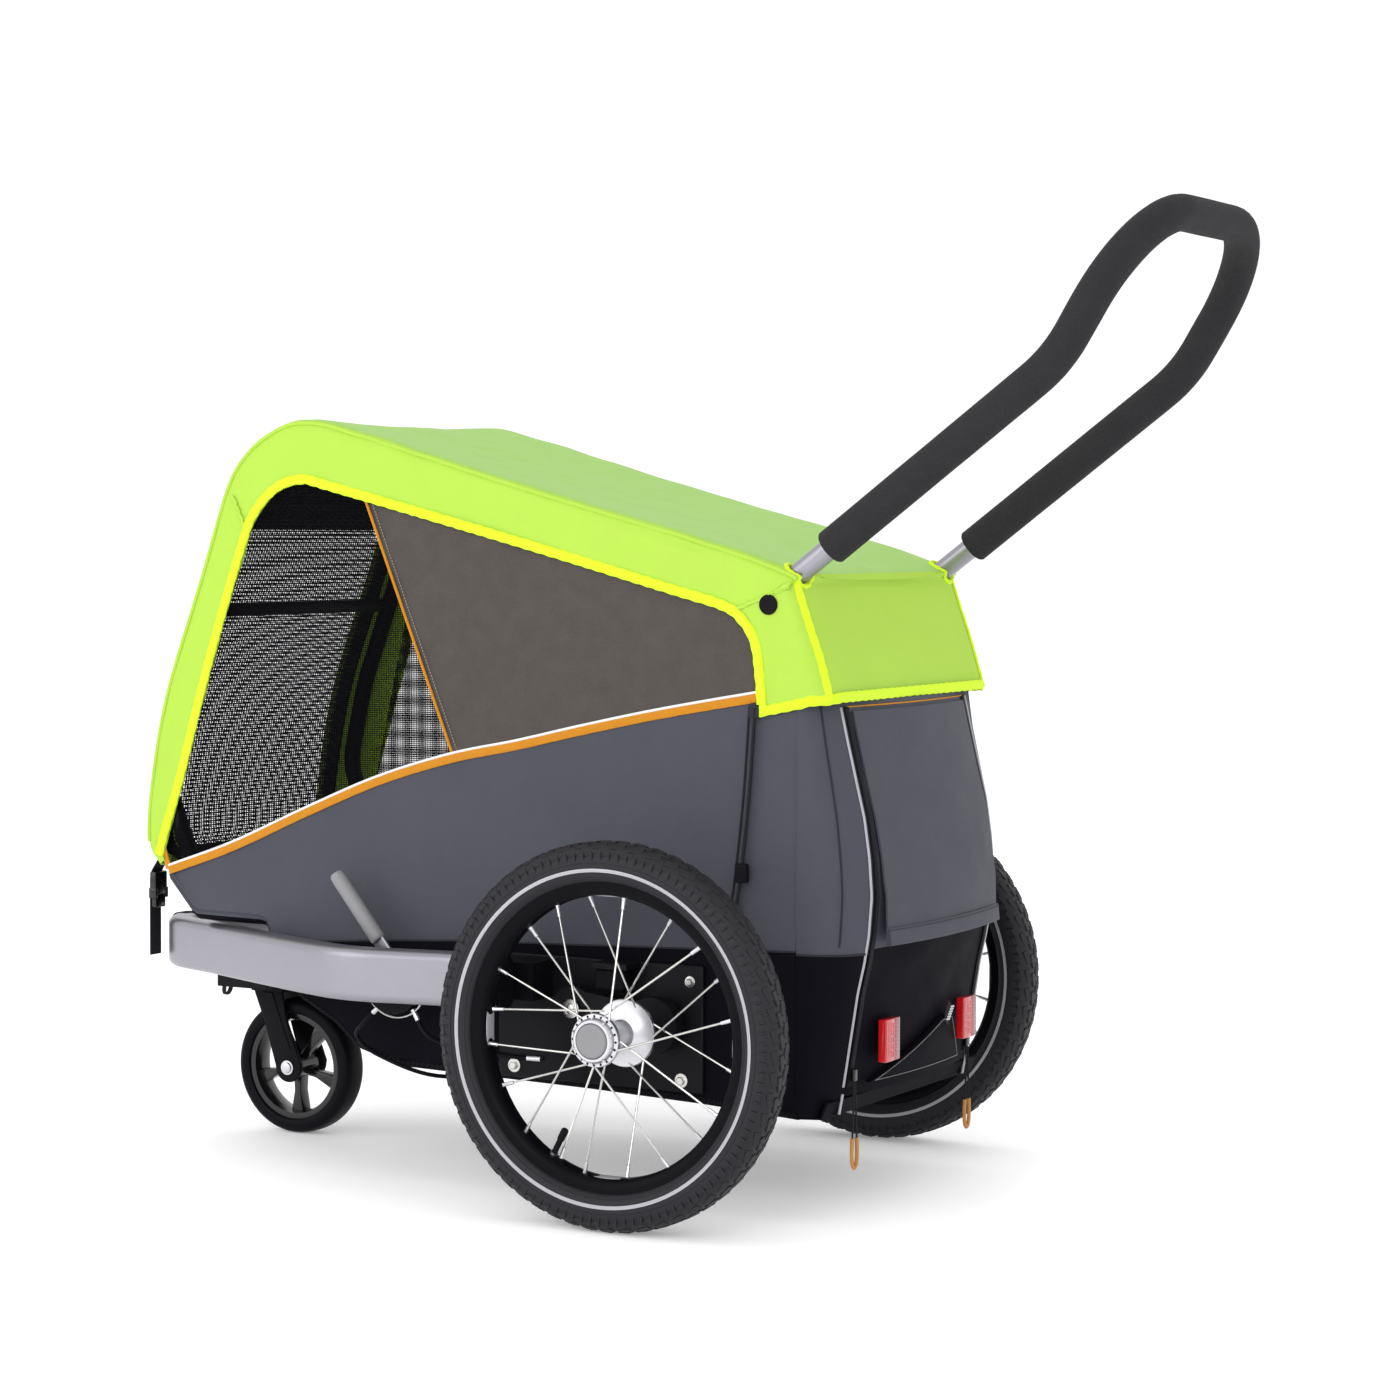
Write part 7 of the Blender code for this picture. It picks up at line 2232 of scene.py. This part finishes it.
# --- the caster ------------------------------------------------------------------------------------
@dataclass
class Caster:
    """The small front wheel with its fork and its index knob."""

    shop: Workshop
    radius: float = 0.080
    place: tuple[float, float, float] = (0.0, -0.6065, 0.080)

    def wheel(self) -> None:
        """Makes the tyre and the five-spoke rim."""
        half = 0.019
        marks = [(0.78, 0.0625), (0.92, 0.0640), (0.985, 0.0680), (0.95, 0.0735), (0.80, 0.0775),
                 (0.50, 0.0794), (0.0, 0.0800)]
        points = smoothed([Vector((half * x, r, 0)) for x, r in marks], 4)
        right = [(p.x, p.y) for p in points]
        section = right + [(-x, r) for x, r in reversed(right[:-1])]
        self.shop.piece("caster_tread", lathe(section, 96, ring=True).at(self.place), FINISH.rubber,
                        body="caster_wheel", replaces=["caster_tyre"], sharp=50)
        rim = lathe([(-0.0145, 0.0560), (-0.006, 0.0535), (0.006, 0.0535), (0.0145, 0.0560), (0.0152, 0.0600),
                     (0.0150, 0.0624), (-0.0150, 0.0624), (-0.0152, 0.0600)], 96, ring=True)
        rim.add(lathe([(-0.0178, 0.0), (-0.0178, 0.0120), (-0.0160, 0.0138), (0.0160, 0.0138),
                       (0.0178, 0.0120), (0.0178, 0.0)], 36))
        outline = [(-0.0050, 0.0120), (0.0050, 0.0120), (0.0040, 0.0300), (0.0085, 0.0560), (-0.0085, 0.0560),
                   (-0.0040, 0.0300)]
        spoke = softened(slab([(y, z) for y, z in outline], -0.0085, 0.0085), 0.0012, 2)
        turned = spoke.moved(Matrix.Rotation(math.radians(54 - 90), 4, "X"))
        rim.add(self.shop.repeat.ring(turned, 5, FINISH.black_plastic))
        self.shop.piece("caster_spokes", rim.at(self.place), FINISH.gloss_plastic, body="caster_wheel",
                        replaces=["caster_rim"])
        bolt = Shape()
        for side in (1, -1):
            head = lathe([(0.0284, 0.0), (0.0284, 0.0085), (0.0296, 0.0085), (0.0298, 0.0064),
                          (0.0318, 0.0060), (0.0324, 0.0045), (0.0324, 0.0)], 28)
            bolt.add(head.sided(side))
        self.shop.piece("caster_bolt", bolt.at(self.place), FINISH.bright, body="caster_fork",
                        replaces=["caster_axle"])

    def fork(self) -> None:
        """Makes the fork: crown, bridge and two tapering legs."""
        top = 0.1778
        y0, trail = -0.640, 0.0335
        crown = [(0.0, 0.0225), (-0.0080, 0.0230), (-0.0100, 0.0220)]
        turned = lathe([(0.0, 0.0), *crown, (-0.0100, 0.0)], 40)
        upright = Matrix.Rotation(-math.pi / 2, 4, "Y")
        shape = turned.moved(upright).at((0, y0, top))
        bridge = softened(block((-0.028, -0.020, -0.0100), (0.028, 0.026, -0.0020)), 0.0022)
        shape.add(bridge.at((0, y0, top)))
        shape.add(tube([Vector((0, y0, top - 0.002)), Vector((0, y0, top + 0.018))], circle(0.008, 20)))
        drop = top - 0.080
        outline = [(-0.018, -0.003), (0.024, -0.003), (0.0315, -drop * 0.45), (trail + 0.0185, -drop + 0.003)]
        for k in range(13):
            angle = math.radians(-180 * k / 12)
            outline.append((trail + 0.0178 * math.cos(angle), -drop + 0.0178 * math.sin(angle)))
        outline += [(trail - 0.0185, -drop + 0.003), (-0.001, -drop * 0.45)]
        for side in (1, -1):
            leg = softened(slab(outline, 0.0221, 0.0279), 0.0016, 2)
            rib = softened(slab([(-0.002, -0.010), (0.012, -0.010), (trail + 0.004, -drop + 0.022),
                                 (trail - 0.004, -drop + 0.022)], 0.0272, 0.0290), 0.0007, 1)
            shape.add(leg.sided(side).at((0, y0, top)))
            shape.add(rib.sided(side).at((0, y0, top)))
        self.shop.piece("fork_casting", shape, FINISH.black_plastic, body="caster_fork", replaces=["fork"])

    def knob(self) -> None:
        """Makes the index knob with its hanging strap loop."""
        low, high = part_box("index_knob")
        middle = (low + high) / 2 - self.shop.axle
        x, z = middle.x, middle.z
        marks = [(-0.7035, 0.0030), (-0.7030, 0.0055), (-0.7010, 0.0078), (-0.6975, 0.0085),
                 (-0.6935, 0.0080),
                 (-0.6905, 0.0062), (-0.6893, 0.0045), (-0.6885, 0.0029), (-0.6745, 0.0029)]
        line = [Vector((x, y, z)) for y, _ in marks]
        ball = tube(line, circle(1.0, 28), None, [r for _, r in marks])
        knob = self.shop.piece("index_ball", ball, FINISH.bright, body="index_knob", replaces=["index_knob"])
        left = [(0.0010, 0.0090), (0.0045, 0.0165), (0.0068, 0.025), (0.0050, 0.0325)]
        half = [Vector((x - wide, -0.6985 - 0.20 * (drop - 0.009), z - drop)) for wide, drop in left]
        foot = Vector((x, -0.6985 - 0.20 * 0.0265, z - 0.0355))
        loop = smoothed(half + [foot] + [Vector((2 * x - p.x, p.y, p.z)) for p in reversed(half)], 5)
        centre = Vector((x, -0.701, z - 0.028))
        tops = [Vector((p.x - centre.x, 0, (p.z - centre.z) * 0.35)).normalized() for p in loop]
        self.shop.cord("knob_loop", loop, rounded_box_section(0.0060, 0.0012, 0.0005, 2), 0.0060,
                       FINISH.webbing, "object", tops, "hanging", "limp", [knob], body="index_knob")

    def carrier(self) -> None:
        """Makes the bolt and the receptacle blocks on the bracket."""
        pin = lathe([(0, 0.0), (0, 0.0095), (0.0030, 0.0095), (0.0046, 0.0080), (0.0050, 0.0)], 28)
        pin = pin.moved(Matrix.Rotation(-math.pi / 2, 4, "Y")).at((0, -0.640, 0.2090))
        self.shop.piece("bracket_bolt", pin, FINISH.steel)
        for side, word in SIDES:
            case = softened(block((0.050, -0.664, 0.182), (0.080, -0.604, 0.206)), 0.003, 3)
            self.shop.piece(f"receptacle_{word}", case.sided(side), FINISH.black_plastic)

    def build(self) -> None:
        """Makes the caster."""
        self.wheel()
        self.fork()
        self.knob()
        self.carrier()


# --- the brake -------------------------------------------------------------------------------------
@dataclass
class Brake:
    """Parking brake: housing on the bumper, lever with its grip, and two cables."""

    shop: Workshop
    place: Pair = (-0.309, 0.228)
    angle: float = math.radians(129)
    radius: float = 0.035
    depth: float = 0.022

    def housing(self) -> tuple[float, float]:
        """Makes the round housing and returns the x of both its faces."""
        low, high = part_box("brake_housing")
        outer = high.x
        inner = outer - self.depth
        profile = [(outer, 0.0), (outer, 0.0345), (outer - 0.0015, self.radius),
                   (outer - 0.0180, self.radius),
                   (outer - 0.0210, 0.0330), (inner, 0.0300), (inner, 0.0150), (inner - 0.0003, 0.0050),
                   (low.x + 0.0006, 0.0050), (low.x, 0.0)]
        shape = lathe(profile, 64)
        ribs = softened(block((inner - 0.0006, -0.0013, 0.018), (inner + 0.004, 0.0013, 0.031)), 0.0004, 1)
        shape.add(self.shop.repeat.ring(ribs, 12, FINISH.black_plastic))
        self.shop.piece("brake_case", shape.at((0, *self.place)), FINISH.black_plastic,
                        replaces=["brake_housing"])
        return inner, outer

    def lever(self, inner: float) -> None:
        """Makes the blade and its grey grip.

        Args:
            inner: x of the housing's inner face.
        """
        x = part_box("brake_lever")[1].x - 0.004
        direction = Vector((0, math.cos(self.angle), math.sin(self.angle)))
        origin = Vector((x, *self.place))
        blade = lathe([(-0.004, 0.0), (-0.004, 0.0135), (-0.0032, 0.014), (0.0032, 0.014), (0.004, 0.0135),
                       (0.004, 0.0)], 36).at(origin)
        line = [origin + direction * d for d in (0.004, 0.040, 0.070)]
        blade.add(tube(line, rounded_box_section(0.015, 0.0048, 0.0018, 3), [X_AXIS] * 3))
        self.shop.piece("lever_blade", blade, FINISH.aluminium, body="brake_lever", replaces=["brake_lever"])
        marks = [(0.052, 0.84), (0.0535, 0.97), (0.056, 1.0), (0.134, 1.0), (0.139, 0.95), (0.1415, 0.80),
                 (0.142, 0.62)]
        grip = tube([origin + direction * d for d, _ in marks], circle(0.0085, 28), None,
                    [s for _, s in marks])
        self.shop.piece("lever_handle", grip, FINISH.grey_plastic, body="brake_lever",
                        replaces=["lever_grip"])
        arc = [Vector((inner + 0.012, self.place[0] + 0.0395 * math.cos(a),
                       self.place[1] + 0.0395 * math.sin(a)))
               for a in (math.radians(-150 + 130 * k / 16) for k in range(17))]
        self.shop.piece("housing_wire", tube(arc, circle(0.0013, 8)), FINISH.steel)

    def cables(self, middle: float) -> None:
        """Makes the two cables with their ferrules.

        Args:
            middle: x of the housing's middle.
        """
        y, z = self.place
        bottom = z - self.radius
        clip = BODY.half + 0.0006 + 0.005 + 0.0003 + 0.0024
        left = [(middle, y + 0.022, bottom + 0.0055), (middle - 0.003, -0.268, 0.170),
                (clip + 0.006, -0.235, 0.155), (clip, -0.195, 0.150), (clip, -0.150, 0.150)]
        right = [(middle, y - 0.022, bottom + 0.0055), (middle - 0.002, -0.352, 0.180),
                 (middle - 0.012, -0.368, 0.162),
                 (middle - 0.030, -0.352, 0.140), (0.180, -0.300, 0.1165), (0.100, -0.262, 0.1140),
                 (-0.100, -0.220, 0.1140), (-0.184, -0.200, 0.1140), (-clip - 0.001, -0.186, 0.124),
                 (-clip - 0.0004, -0.165, 0.145), (-clip, -0.145, 0.160)]
        for word, points in (("left", left), ("right", right)):
            line = smoothed([Vector(p) for p in points], 8)
            ferrules = []
            for index, (a, b) in enumerate(((0, 3), (-4, -1))):
                span = [line[a], line[b]] if a >= 0 else [line[b], line[a]]
                piece = tube(span, circle(0.0030, 14))
                ferrules.append(self.shop.piece(f"ferrule_{word}_{index}", piece, FINISH.bright))
            self.shop.cord(f"brake_hose_{word}", line, circle(0.0023, 12), 0.0046, FINISH.rubber, "object",
                           lay="taut", stiffness="stiff", with_pieces=ferrules,
                           replaces=[f"brake_cable_{word}"])

    def build(self) -> None:
        """Makes the brake."""
        inner, outer = self.housing()
        self.lever(inner)
        self.cables((inner + outer) / 2)


# --- the room --------------------------------------------------------------------------------------
@dataclass
class Studio:
    """Pale floor, soft lights and the camera."""

    shop: Workshop
    eye: tuple[float, float, float] = (3.335, 1.747, 0.722)
    yaw: float = 0.499
    pitch: float = 0.051
    roll: float = 0.005
    lens: float = 88.506
    floor_reach: float = 40.0
    lamps: tuple[tuple, ...] = (
        ("key", (3.6, 0.6, 1.7), 2.2, 44), ("side", (2.6, -2.2, 1.5), 2.2, 22),
        ("rear", (-1.2, 3.4, 1.8), 2.0, 7))

    def camera(self) -> None:
        """Places the camera behind and to the left of the trailer."""
        data = bpy.data.cameras.new("camera")
        data.sensor_width, data.lens = 36.0, self.lens
        data.clip_start, data.clip_end = 0.05, 100
        ahead = Vector((-math.cos(self.pitch) * math.cos(self.yaw),
                        -math.cos(self.pitch) * math.sin(self.yaw), -math.sin(self.pitch)))
        right = ahead.cross(Z_AXIS).normalized()
        up = right.cross(ahead)
        c, s = math.cos(self.roll), math.sin(self.roll)
        right, up = right * c + up * s, up * c - right * s
        camera = new_object("camera", data)
        turn = Matrix((right, up, -ahead)).transposed().to_4x4()
        camera.matrix_world = Matrix.Translation(Vector(self.eye) + self.shop.axle) @ turn
        bpy.context.scene.camera = camera

    def light(self, name: str, place: Sequence[float], size: float, power: float) -> None:
        """Adds a soft square light that faces the trailer.

        Args:
            name: its name.
            place: where it stands, in the frame.
            size: length of its side.
            power: in watts.
        """
        data = bpy.data.lights.new(name, "AREA")
        data.size, data.energy = size, power
        lamp = new_object(name, data)
        lamp.location = Vector(place)
        lamp.rotation_mode = "QUATERNION"
        lamp.rotation_quaternion = (Vector((0, 0, 0.4)) - lamp.location).to_track_quat("-Z", "Y")

    def floor(self) -> None:
        """Adds the pale floor."""
        mesh = bpy.data.meshes.new("floor")
        reach = self.floor_reach
        mesh.from_pydata([(-reach, -reach, 0), (reach, -reach, 0), (reach, reach, 0), (-reach, reach, 0)], [],
                         [(0, 1, 2, 3)])
        paint = bpy.data.materials.new("pale_floor")
        paint.use_nodes = True
        shader = paint.node_tree.nodes["Principled BSDF"]
        shader.inputs["Base Color"].default_value = (0.96, 0.955, 0.965, 1)
        shader.inputs["Roughness"].default_value = 0.8
        shader.inputs["Emission Color"].default_value = (1.0, 1.0, 1.0, 1)
        shader.inputs["Emission Strength"].default_value = 0.2
        mesh.materials.append(paint)
        floor = new_object("floor", mesh)

    def build(self) -> None:
        """Lights the room."""
        self.floor()
        world = bpy.data.worlds.new("room")
        world.use_nodes = True
        world.node_tree.nodes["Background"].inputs["Color"].default_value = (1.0, 1.0, 1.0, 1)
        world.node_tree.nodes["Background"].inputs["Strength"].default_value = 1.08
        bpy.context.scene.world = world
        for name, place, size, power in self.lamps:
            self.light(name, place, size, power)
        bpy.context.scene.view_settings.view_transform = "Standard"


# --- the whole trailer -----------------------------------------------------------------------------
@dataclass
class Trailer:
    """The trailer as its sub-assemblies."""

    shop: Workshop
    frame: dict

    def parts(self) -> list:
        """Returns the sub-assemblies in the order that they are made."""
        shop = self.shop
        sides = [SideWall(shop, 1), SideWall(shop, -1)]
        wheels = [Wheel(shop, 1), Wheel(shop, -1)]
        return [Cover(shop), *sides, Nose(shop), Trough(shop), Door(shop), PushBar(shop), Bumper(shop),
                Structure(shop, self.frame), *wheels, Caster(shop), Brake(shop)]

    def build(self) -> None:
        """Makes the trailer."""
        for part in self.parts():
            log.info("-- %s", type(part).__name__)
            part.build()


def main() -> None:
    """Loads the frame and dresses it."""
    logging.basicConfig(level=logging.INFO, format="%(message)s", stream=sys.stdout)
    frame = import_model()
    low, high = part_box("tyre_left")
    shop = Workshop((low.y + high.y) / 2)
    studio = Studio(shop)
    studio.camera()
    Trailer(shop, frame).build()
    studio.build()
    log.info("%d pieces made", len(shop.made))


if __name__ == "__main__":
    main()
